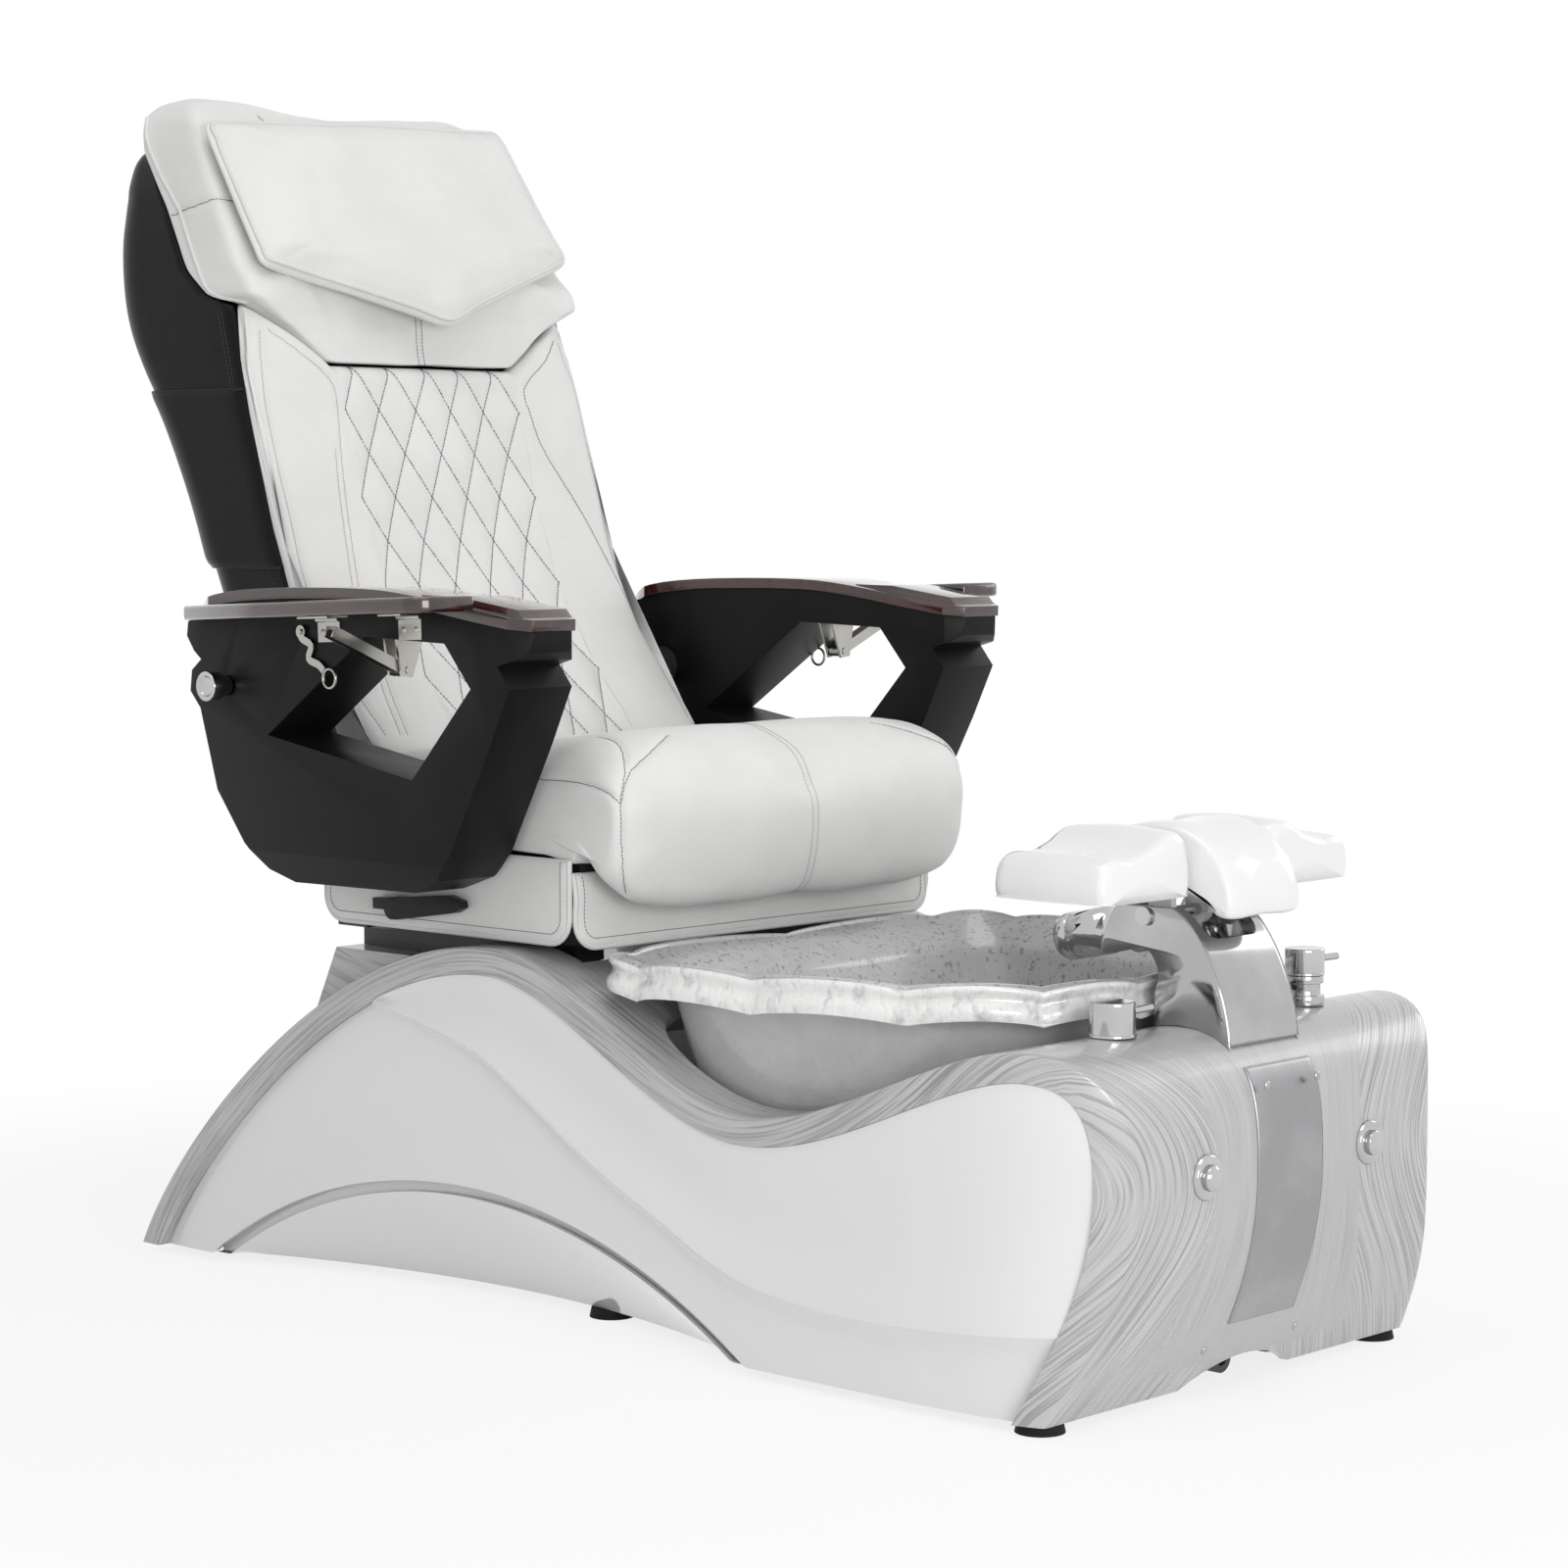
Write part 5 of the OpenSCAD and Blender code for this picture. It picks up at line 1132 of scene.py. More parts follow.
def finish_nodes(finish: Finish, *nodes: str) -> None:
    """Gives CAD nodes that stay their finish.

    Args:
        finish: The finish.
        *nodes: The nodes' names.
    """
    for node in nodes:
        kept = FRAME["nodes"][node]
        kept.data.materials.clear()
        kept.data.materials.append(finish.material())
        LOG.info("%s: %s", node, finish.name)


def settle(piece: bpy.types.Object, body: str, slot: str, *nodes: str) -> bpy.types.Object:
    """Hides the nodes that a piece stands for, sets it on its body and logs it.

    Args:
        piece: The piece.
        body: The body that it rides on.
        slot: Its material slot, not used.
        *nodes: The nodes it stands for, where it doesn't stand for them yet.

    Returns:
        The same piece.
    """
    if nodes:
        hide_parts(*nodes)
    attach(piece, body)
    LOG.info("%s rides on %s: %d faces", piece.name, body, len(piece.data.polygons))
    return piece


# ---- Shapes ----


def bezier(corners: Sequence[Point], steps: int) -> np.ndarray:
    """Gives points along a cubic curve, without its last point.

    Args:
        corners: Its four control points.
        steps: How many points it gives.

    Returns:
        The points.
    """
    a, b, c, d = (np.array(p, float) for p in corners)
    t = (np.arange(steps) / steps)[:, None]
    s = 1 - t
    return s**3 * a + 3 * s * s * t * b + 3 * s * t * t * c + t**3 * d


def beside(path: np.ndarray, gap: float) -> np.ndarray:
    """Moves a flat line sideways, to the right of its travel.

    Args:
        path: The line's points.
        gap: How far it moves.

    Returns:
        The moved points.
    """
    way = np.gradient(path, axis=0)
    way /= np.linalg.norm(way, axis=1, keepdims=True)
    return path + gap * np.stack([way[:, 1], -way[:, 0]], 1)


def grown(outline: np.ndarray, inward: float) -> np.ndarray:
    """Moves a closed flat outline inwards along its own normals.

    Args:
        outline: The outline's points.
        inward: How far it moves.

    Returns:
        The moved points.
    """
    way = np.roll(outline, -1, 0) - np.roll(outline, 1, 0)
    way /= np.linalg.norm(way, axis=1, keepdims=True)
    return outline + inward * np.stack([way[:, 1], -way[:, 0]], 1)


def oblong(x0: float, x1: float, y0: float, y1: float) -> list[Point]:
    """Gives an oblong's corners."""
    return [(x0, y0), (x1, y0), (x1, y1), (x0, y1)]


def both_sides(half: Sequence[Point]) -> list[Point]:
    """Closes half an outline, from its rear middle to its front middle, with its mirror image."""
    return list(half) + [(-p[0], *p[1:]) for p in reversed(half[1:-1])]


def prism(name: str, outline: Sequence[Point], axis: int, low: float, high: float,
          finish: Finish) -> bpy.types.Object:
    """Carries a flat outline in millimetres along an axis.

    Args:
        name: The piece's name.
        outline: The outline on the two other axes, in their order.
        axis: The axis along which it is carried.
        low: Where it starts.
        high: Where it ends.
        finish: Its finish.

    Returns:
        The closed piece, with flat faces.
    """
    ends = [np.insert(np.array(outline, float), axis, at, axis=1) for at in (low, high)]
    n = len(ends[0])
    faces = [tuple(range(n)), tuple(range(2 * n - 1, n - 1, -1))]
    faces += [(i, (i + 1) % n, n + (i + 1) % n, n + i) for i in range(n)]
    return mesh_object(name, place(np.vstack(ends)), faces, finish, smooth=False)


def sheet_solid(name: str, front: np.ndarray, back: np.ndarray, finish: Finish) -> bpy.types.Object:
    """Closes two grids of points, in millimetres, into one solid sheet.

    Args:
        name: The piece's name.
        front: Rows of points on one side.
        back: The other side's points, in the same order.
        finish: Its finish.

    Returns:
        The closed piece.
    """
    rows, columns = front.shape[:2]
    points = np.vstack([front.reshape(-1, 3), back.reshape(-1, 3)])
    other = rows * columns
    faces = []
    for r in range(rows - 1):
        for c in range(columns - 1):
            a = r * columns + c
            quad = (a, a + 1, a + columns + 1, a + columns)
            faces += [quad, tuple(other + i for i in reversed(quad))]
    rim = ([c for c in range(columns)] + [r * columns + columns - 1 for r in range(1, rows)]
           + [(rows - 1) * columns + c for c in range(columns - 2, -1, -1)]
           + [r * columns for r in range(rows - 2, 0, -1)])
    faces += [(a, other + a, other + b, b) for a, b in zip(rim, rim[1:] + rim[:1])]
    return mesh_object(name, place(points), faces, finish)


def turned(name: str, origin: Point, axis: Point, profile: Sequence[Point], finish: Finish,
           steps: int = 48) -> bpy.types.Object:
    """Turns a profile of (radius, height) in millimetres about an axis.

    Args:
        name: The piece's name.
        origin: Where height 0 lies.
        axis: The direction of rising height.
        profile: The profile, closed on itself unless both its ends lie on the axis.
        finish: Its finish.
        steps: Points round the axis.

    Returns:
        The closed piece.
    """
    up = Vector(axis).normalized()
    side = up.orthogonal().normalized()
    other = up.cross(side)
    ring = [tuple(math.cos(a) * side + math.sin(a) * other)
            for a in np.linspace(0, math.tau, steps, False)]
    rows = [np.array(origin) + np.array(ring) * r + np.array(tuple(up)) * h for r, h in profile]
    if profile[0][0] > 0:
        rows.append(rows[0])
    return loft(name, rows, finish, capped=False)


def joined(name: str, pieces: Sequence[bpy.types.Object]) -> bpy.types.Object:
    """Joins pieces of one finish into one object.

    Args:
        name: The object's name.
        pieces: The pieces, which are removed.

    Returns:
        The object.
    """
    work = bmesh.new()
    for piece in pieces:
        work.from_mesh(piece.data)
    made = written(name, work, pieces[0].data.materials[0])
    for piece in pieces:
        bpy.data.objects.remove(piece)
    return made


def carved(piece: bpy.types.Object, cutters: Sequence[bpy.types.Object]) -> bpy.types.Object:
    """Cuts each cutter's shape out of a piece and removes the cutters.

    Args:
        piece: The piece.
        cutters: The shapes cut out of it.

    Returns:
        The cut piece, under the same name.
    """
    for cutter in cutters:
        cut = piece.modifiers.new("cut", "BOOLEAN")
        cut.operation = "DIFFERENCE"
        cut.solver = "EXACT"
        cut.object = cutter
    piece = evaluated_copy(piece, piece.name)
    for cutter in cutters:
        bpy.data.objects.remove(cutter)
    return piece


# ---- Base ----


REAR_CUT, NOSE_CUT = 1.12, 1.15  # length of the shell's cut at the foot line, for each of its depth


@dataclass
class BaseHousing:
    """The base: its wood-film shell, glossy side panels, access plate, frame and feet."""

    half_w: float = 316.0
    rear_y: float = 645.0
    foot_y: float = -668.0
    nose_y: float = -733.0
    nose_z: float = 225.0
    foot_h: float = 10.0
    crest: Point = (63.0, 396.0)
    saddle: Point = (-305.0, 261.0)
    deck: Point = (-640.0, 356.0)
    rim: float = 28.0
    plate_x: float = 53.0
    arch_r: float = 735.0
    arch_y: float = 119.0
    line: np.ndarray = field(init=False)
    plan: np.ndarray = field(init=False)

    def __post_init__(self) -> None:
        """Draws the side outline and half of the plan outline."""
        (cy, cz), (sy, sz), (dy, dz) = self.crest, self.saddle, self.deck
        stretches = [[(self.rear_y, self.foot_h), (self.rear_y - 70, 150), (cy + 232, cz + 4), (cy, cz)],
                     [(cy, cz), (cy - 123, cz), (sy + 115, sz), (sy, sz)],
                     [(sy, sz), (sy - 115, sz), (dy + 80, dz), (dy, dz)],
                     [(dy, dz), (self.nose_y + 8, dz), (self.nose_y, self.nose_z + 70),
                      (self.nose_y, self.nose_z)],
                     [(self.nose_y, self.nose_z), (self.nose_y, self.nose_z - 85),
                      (self.foot_y - 32, 70), (self.foot_y, self.foot_h)]]
        whole = np.vstack([bezier(s, 60) for s in stretches] + [[self.foot_y, self.foot_h]])
        self.line = spaced(whole, 5.0)
        w, n = self.half_w, self.nose_y
        self.plan = smooth_path([(w, 445), (w, n + 333), (w - 2, n + 193), (w - 10, n + 113),
                                 (w - 28, n + 57), (w - 52, n + 21), (w - 86, n - 5)], 12)

    def half_at(self, y: float | np.ndarray) -> np.ndarray:
        """Gives half the base's width at a distance along it."""
        return np.interp(-np.asarray(y), -self.plan[:, 1], self.plan[:, 0])

    def inset(self, depth: float) -> np.ndarray:
        """Gives the side outline moved inwards, its ends kept on the foot line.

        Args:
            depth: How far it moves.

        Returns:
            The moved outline.
        """
        moved = beside(self.line, -depth)
        low = moved[:, 1] < self.foot_h
        rear = moved[:, 0] > 0
        behind = (self.rear_y - REAR_CUT * depth, self.foot_h)
        before = (self.foot_y + NOSE_CUT * depth, self.foot_h)
        moved[low & rear] = moved[0] = behind
        moved[low & ~rear] = moved[-1] = before
        return moved

    def surface(self, y: float | np.ndarray) -> np.ndarray:
        """Gives the height of the outline's top at a distance along the base."""
        top = self.line[: int(np.argmin(self.line[:, 0]))]
        return np.interp(y, top[::-1, 0], top[::-1, 1])

    def ribbon(self) -> bpy.types.Object:
        """Sweeps the shell's section along the outline.

        Returns:
            The swept piece.
        """
        section = [(120, 0), (60, 0), (12, 0), (3, 0), (0.9, 0.9), (0, 3), (0, 15), (0, 26.5), (0.45, 27.55),
                   (1.5, 28), (14, 28), (26.5, 28), (28, 26.5), (28, 16), (28, 8), (60, 8), (120, 8)]
        insets = {d: self.inset(d) for _, d in section}
        rings = []
        for i in range(len(self.line)):
            right = [(self.half_at(insets[d][i][0]) - u, *insets[d][i]) for u, d in section]
            rings.append(np.array(right + [(-x, y, z) for x, y, z in reversed(right)]))
        n, last = len(rings[0]), len(rings) - 1
        faces = ring_faces(n, len(rings)) + [tuple(range(n)), tuple(range(last * n, last * n + n))]
        return mesh_object("ribbon", place(np.vstack(rings)), faces, Looks.OAK_FILM)

    def shell(self) -> bpy.types.Object:
        """Builds the wood-film shell with its well, its rail deck and the notch for the hose.

        Returns:
            The shell.
        """
        well = tub_plan(261.0, 466.0, -105.0, 6)
        notch = [(180 * math.sin(a), -146 + 180 * math.cos(a)) for a in np.linspace(-0.6, 0.6, 25)]
        film = Looks.OAK_FILM
        skin = carved(self.ribbon(), [
            prism("well", well, 2, 200, 460, film),
            prism("recess", oblong(-244, 244, -12, 372), 2, 368, 430, film),
            prism("notch", notch + [(100, -40), (-100, -40)], 1, -740, -600, film)])
        wall, front = ([(y0, 360)] + [(y, float(self.surface(y)) - 1.0) for y in np.linspace(y0, y1, n)]
                       + [(y1, 360)] for y0, y1, n in ((-20, 225, 30), (-20, -12, 2)))
        deck = [prism("deck", [(-20, 298), (-20, 368), (372, 368), (406, 298)], 0, -252, 252, film),
                prism("wall", wall, 0, 244, 252, film), prism("wall", wall, 0, -252, -244, film),
                prism("wall", front, 0, -252, 252, film)]
        shell = joined("base_shell_film", [skin] + deck)
        shell.data.set_sharp_from_angle(angle=math.radians(38))
        self.mark_grain(shell)
        return shell

    def mark_grain(self, shell: bpy.types.Object) -> None:
        """Stores where each point lies across and along the film's figure, in metres.

        The lines run along the outline, and bow in towards the access plate over the nose.

        Args:
            shell: The shell.
        """
        points = in_outline(shell)
        run = np.concatenate([[0.0], np.cumsum(np.linalg.norm(np.diff(self.line, axis=0), axis=1))])
        gap = np.linalg.norm(points[:, None, 1:] - self.line[None, ::2], axis=2)
        near = np.argmin(gap, axis=1) * 2
        way = np.gradient(self.line, axis=0)
        way /= np.linalg.norm(way, axis=1, keepdims=True)
        offset = points[:, 1:] - self.line[near]
        along = run[near] + np.clip(np.sum(offset * way[near], axis=1), -8.0, 8.0)
        depth = np.abs(offset[:, 0] * way[near, 1] - offset[:, 1] * way[near, 0])
        nose = run[int(np.argmin(self.line[:, 0]))]
        tip, reach, lean, apart = 55.0, 260.0, 0.62, 900.0
        away = np.sqrt((along - nose) ** 2 + tip**2) - tip
        bow = reach * np.tanh(away / reach)
        inward = self.half_at(points[:, 1]) - np.abs(points[:, 0]) - np.minimum(depth, 60.0)
        grain = np.zeros((len(points), 3))
        grain[:, 0] = (inward + lean * bow + apart) * np.sign(points[:, 0] + 1e-9) / MM
        grain[:, 1] = along / MM
        marked(shell.data, "grain", grain)

    def panel(self, side: float) -> bpy.types.Object:
        """Builds one glossy side panel with its crease.

        Args:
            side: 1 on the sitter's left, -1 on the right.

        Returns:
            The panel.
        """
        face, step, thick, gap = 3.0, 12.0, 6.0, 0.4
        edge = self.inset(self.rim + gap)
        tip = int(np.argmin(edge[:, 0]))
        upper, lower = edge[:tip + 1][::-1], edge[tip:]
        y0, y1 = float(edge[tip, 0]) + 0.05, self.rear_y - REAR_CUT * (self.rim + gap) - 0.2
        ends = np.concatenate([[0, 0.3, 0.8, 1.6, 3, 5], np.arange(8, 40, 4)])
        ys = np.concatenate([y0 + ends, np.arange(y0 + 44, y1 - 44, 7.0), (y1 - ends)[::-1]])
        high = np.interp(ys, upper[:, 0], upper[:, 1])
        arch = np.sqrt(np.maximum(self.arch_r**2 - (ys - self.arch_y) ** 2, 0.0)) + 139.0 - self.arch_r
        low = np.maximum(self.foot_h, arch)
        low = np.where(ys < lower[-1, 0], np.interp(ys, lower[:, 0], lower[:, 1]), low)
        low = np.minimum(low, high)
        crease = on_curve([(-760, 97), (-720, 96), (-600, 88), (-500, 83), (-400, 84), (-283, 102),
                           (-186, 145), (-86, 192), (-24, 228), (82, 286), (168, 309), (259, 329),
                           (330, 345), (420, 380)], ys)
        marks = ([(0, k / 6) for k in range(6)] + [(0, 0.96), (0, 1.0)]
                 + [(1, t) for t in (0.04, 0.12, 0.3, 0.5, 0.7, 0.88, 0.96, 1.0)]
                 + [(2, t) for t in (0.02, 0.05, 0.1, 0.18, 0.28, 0.4, 0.52, 0.64, 0.76, 0.87, 0.95, 1.0)])
        tall = np.interp(ys, (-700, -450, -150, 300, 500), (27.0, 25.0, 17.0, 11.0, 8.0))
        front = np.zeros((len(marks), len(ys), 3))
        for r, (zone, t) in enumerate(marks):
            below, above = crease + 1.0 - tall, crease + 1.0
            z = [low + (np.maximum(below, low) - low) * t, below + tall * t,
                 above + (np.maximum(high, above) - above) * t][zone]
            z = np.clip(z, low, high)
            drop = np.clip((above - z) / tall, 0, 1)
            rise = np.clip((z - above) / np.maximum(high - above, 1.0), 0, 1)
            deep = face + step * (1 - (1 - drop) ** 1.7) + 5.0 * np.sin(math.pi * rise ** 0.8) ** 2
            front[r] = np.stack([side * (self.half_at(ys) - deep), ys, z], 1)
        return self.gloss_sheet("side_panel_gloss", front, side * thick)

    def kick_panel(self, side: float) -> bpy.types.Object:
        """Builds the set-back panel under the arch, with the flange that closes its groove.

        Args:
            side: 1 on the sitter's left, -1 on the right.

        Returns:
            The panel.
        """
        outer, mid_y, inner, mid_z, top_x, thick = self.arch_r, self.arch_y, 722.0, -596.0, 294.8, 5.0
        half = math.sqrt(outer**2 - (self.foot_h - mid_z) ** 2) - 0.5
        steps = 81
        share = (1 - np.cos(np.linspace(0, math.pi, steps))) / 2
        ys = mid_y + half * (1 - 2 * share)
        crown = np.maximum(mid_z + np.sqrt(inner**2 - (ys - mid_y) ** 2), self.foot_h + 0.6)
        reach = mid_z + np.sqrt((outer + 7.0) ** 2 - (ys - mid_y) ** 2)
        foot_x = top_x - 6 - 90.0 * np.sin(math.pi * share) ** 0.8
        rows = [np.stack([np.full(steps, top_x - 9.0), ys, z], 1)
                for z in (reach, np.minimum(crown + 1.0, reach), crown)]
        for t in (0.0, 0.012, 0.06, 0.2, 0.4, 0.6, 0.8, 0.94, 1.0):
            z = crown + (self.foot_h - crown) * t
            rows.append(np.stack([top_x + (foot_x - top_x) * t, ys, z], 1))
        front = np.array(rows[::-1]) * np.array([side, 1, 1])
        return self.gloss_sheet("kick_panel_gloss", front, side * thick)

    @staticmethod
    def gloss_sheet(name: str, front: np.ndarray, thick: float) -> bpy.types.Object:
        """Backs a grid of points with its copy a thickness further in across, in glossy gelcoat.

        Args:
            name: The piece's name.
            front: The grid of points.
            thick: The thickness, with the sign of its side.

        Returns:
            The sheet.
        """
        piece = sheet_solid(name, front, front - np.array([thick, 0, 0]), Looks.GELCOAT)
        piece.data.set_sharp_from_angle(angle=math.radians(22))
        return piece

    def plate(self) -> bpy.types.Object:
        """Lays the access plate over the nose, with eased edges.

        Returns:
            The plate.
        """
        z0, z1, inner, outer, x1 = 74, 323, 0.2, 1.7, self.plate_x
        nose = self.line[(self.line[:, 0] < self.deck[0] + 2) & (self.line[:, 1] > z0 - 12)
                         & (self.line[:, 1] < z1 + 12)]
        heights = np.concatenate([[z1, z1 - 0.8], np.linspace(z1 - 4, z0 + 4, 40), [z0 + 0.8, z0]])
        order = np.argsort(nose[:, 1])
        run = np.stack([np.interp(heights, nose[order, 1], nose[order, 0]), heights], 1)
        widths = np.concatenate([[-x1, 0.8 - x1], np.linspace(4 - x1, x1 - 4, 9), [x1 - 0.8, x1]])
        ease = np.ones((len(run), len(widths)))
        ease[0, :] = ease[-1, :] = ease[:, 0] = ease[:, -1] = 0.25
        way = np.gradient(run, axis=0)
        way /= np.linalg.norm(way, axis=1, keepdims=True)
        out = np.stack([way[:, 1], -way[:, 0]], 1)
        front, back = np.zeros((*ease.shape, 3)), np.zeros((*ease.shape, 3))
        for grid, off in ((front, inner + (outer - inner) * ease), (back, np.full(ease.shape, inner))):
            grid[:, :, 0] = widths
            grid[:, :, 1:] = run[:, None, :] + out[:, None, :] * off[:, :, None]
        return sheet_solid("access_plate_steel", front, back, Looks.PLATE_STEEL)

    def nose_at(self, z: float) -> float:
        """Gives how far forward the outline of the nose reaches at a height.

        Args:
            z: The height.

        Returns:
            The distance along the base.
        """
        top = int(np.argmin(self.line[:, 0]))
        part = self.line[:top] if z > self.nose_z else self.line[top:]
        rising = part if part[0, 1] < part[-1, 1] else part[::-1]
        return float(np.interp(z, rising[:, 1], rising[:, 0]))

    def screws(self) -> bpy.types.Object:
        """Sets the two screws of the access plate and the two at the foot of the nose.

        Returns:
            The screw heads.
        """
        reach = 4
        spots, outward = [], []
        for x, z in ((41, 307), (-41, 307), (75, 50), (-75, 50)):
            lean = (self.nose_at(z + reach) - self.nose_at(z - reach)) / (2.0 * reach)
            spots.append((x, self.nose_at(z) - (1.6 if abs(x) < self.plate_x else 0.1), z))
            outward.append(tuple(Vector((0, -1, lean)).normalized()))
        return screwed("plate_screw_heads", place(spots), outward, Looks.ZINC, 0.0045)

    def build(self) -> None:
        """Builds and dresses the base."""
        settle(self.shell(), "base", "oak_laminate", "base_shell")
        for word, side in SIDES:
            for kind, make in (("side_panel", self.panel), ("kick_panel", self.kick_panel)):
                made = make(side)
                made.name = f"{kind}_gloss_{word}"
                settle(made, "base", "white_gelcoat", f"{kind}_{word}")
        settle(self.plate(), "base", "brushed_plate", "access_plate")
        settle(self.screws(), "base", "screw_steel", "plate_screws")
        finish_nodes(Looks.POWDER, "base_frame")
        finish_nodes(Looks.RUBBER, "levelling_feet")


# ---- Foot tub ----


def tub_plan(half_w: float, length: float, back: float, steps: int) -> np.ndarray:
    """Gives the tub's plan outline at one level.

    Args:
        half_w: Half its width.
        length: Its length.
        back: Where its rear edge lies.
        steps: Points in each stretch of the outline.

    Returns:
        The closed outline as (x, y).
    """
    half = [(0, 0), (0.66, 0), (0.93, 0.055), (1, 0.19), (0.975, 0.4), (0.9, 0.63), (0.745, 0.825),
            (0.53, 0.945), (0.26, 0.992), (0, 1)]
    return smooth_ring(both_sides([(p[0] * half_w, back - p[1] * length) for p in half]), steps)


@dataclass
class FootTub:
    """The glazed resin tub with its scalloped rim, drain and water jet."""

    half_w: float = 310.0
    length: float = 548.0
    rear_y: float = -56.0
    rim_h: float = 402.0
    curtain: float = 38.0
    floor_z: float = 132.0
    wall: float = 6.0
    ribs: int = 13
    wave: float = 8.0

    def ring(self, level: np.ndarray) -> np.ndarray:
        """Gives one level of the tub: half width, length, rear edge, height and scallop.

        Args:
            level: Half its width, its length, rear edge, height and wave.

        Returns:
            The ring's points.
        """
        half_w, length, back, z, wave = level
        plan = tub_plan(half_w, length, back, 14)
        around = np.arange(len(plan)) / len(plan)
        lobe = np.abs(np.sin(math.pi * self.ribs * around)) ** 0.7
        away = plan - np.array([0, back - length / 2])
        away /= np.linalg.norm(away, axis=1, keepdims=True)
        moved = plan + wave * lobe[:, None] * away
        return np.column_stack([moved, z + wave * (1.1 * lobe - 0.85)])

    def tub(self) -> bpy.types.Object:
        """Builds the tub's closed skin, outside, over the rim and inside.

        Returns:
            The tub.
        """
        bw, bl, bb = self.half_w - 52, self.length - 88, self.rear_y - 52
        fz, rim_z = self.floor_z, self.rim_h
        low = rim_z - self.curtain
        bowl = [(bw - 86, bl - 128, bb - 68, fz, 0), (bw - 60, bl - 84, bb - 58, fz + 6, 0),
                (bw - 36, bl - 66, bb - 50, fz + 34, 0), (bw - 12, bl - 60, bb - 44, fz + 118, 0),
                (bw - 5, bl - 40, bb - 30, fz + 168, 0), (bw - 1, bl - 6, bb - 4, low + 3, 0)]
        t, hw, ln, ry, v = self.wall, self.half_w, self.length, self.rear_y, self.wave
        rim = [(hw - 16, ln - 32, ry - 16, low + 9, 0), (hw - 9, ln - 18, ry - 9, low + 2, v * 0.7),
               (hw - 5 - v * 0.6, ln - 10 - v * 1.2, ry - 5 - v * 0.6, low, v),
               (hw - 1 - v, ln - 2 - 2 * v, ry - 1 - v, low + 5, v),
               (hw - 1.5 - v, ln - 3 - 2 * v, ry - 1.5 - v, low + 12, v),
               (hw - 5 - v, ln - 10 - 2 * v, ry - 5 - v, low + 21, v * 0.8),
               (hw - 3 - v, ln - 6 - 2 * v, ry - 3 - v, rim_z - 10, v),
               (hw - 3 - v, ln - 6 - 2 * v, ry - 3 - v, rim_z - 6, v),
               (hw - 5 - v, ln - 10 - 2 * v, ry - 5 - v, rim_z - 2.6, v * 0.8),
               (hw - 9 - v, ln - 18 - 2 * v, ry - 9 - v, rim_z - 1.6, v * 0.6),
               (hw - 18, ln - 36, ry - 18, rim_z - 6, v * 0.45)]
        inside = [(b[0] - t, b[1] - 2 * t, b[2] - t, b[3] + t, 0) for b in reversed(bowl)]
        parts = [smooth_path(bowl, 4), smooth_path(rim, 3), smooth_path(inside, 5)]
        rings = [self.ring(level) for level in np.vstack(parts)]
        piece = loft("foot_tub_resin", rings, Looks.RESIN)
        start, stop = len(parts[0]), len(parts[0]) + len(parts[1]) - 8
        levels = np.repeat(np.arange(len(rings)), len(rings[0]))
        glaze = np.zeros((len(piece.data.vertices), 3))
        glaze[:len(levels), 0] = (levels >= start) & (levels < stop)
        glaze[:len(levels), 1] = levels >= stop
        marked(piece.data, "glaze", glaze)
        return piece

    def build(self) -> None:
        """Builds and dresses the tub and its fittings."""
        settle(self.tub(), "base", "glazed_resin", "tub")
        for name in ("drain_strainer", "jet_cover"):
            settle(softened(name + "_bright", [name], Looks.CHROME, 0.0008), "base", "polished_chrome")
        finish_nodes(Looks.PUMP, "drain_pump", "jet_housing")
        finish_nodes(Looks.JET_WHITE, "jet_impeller")


# ---- Footrest and controls ----


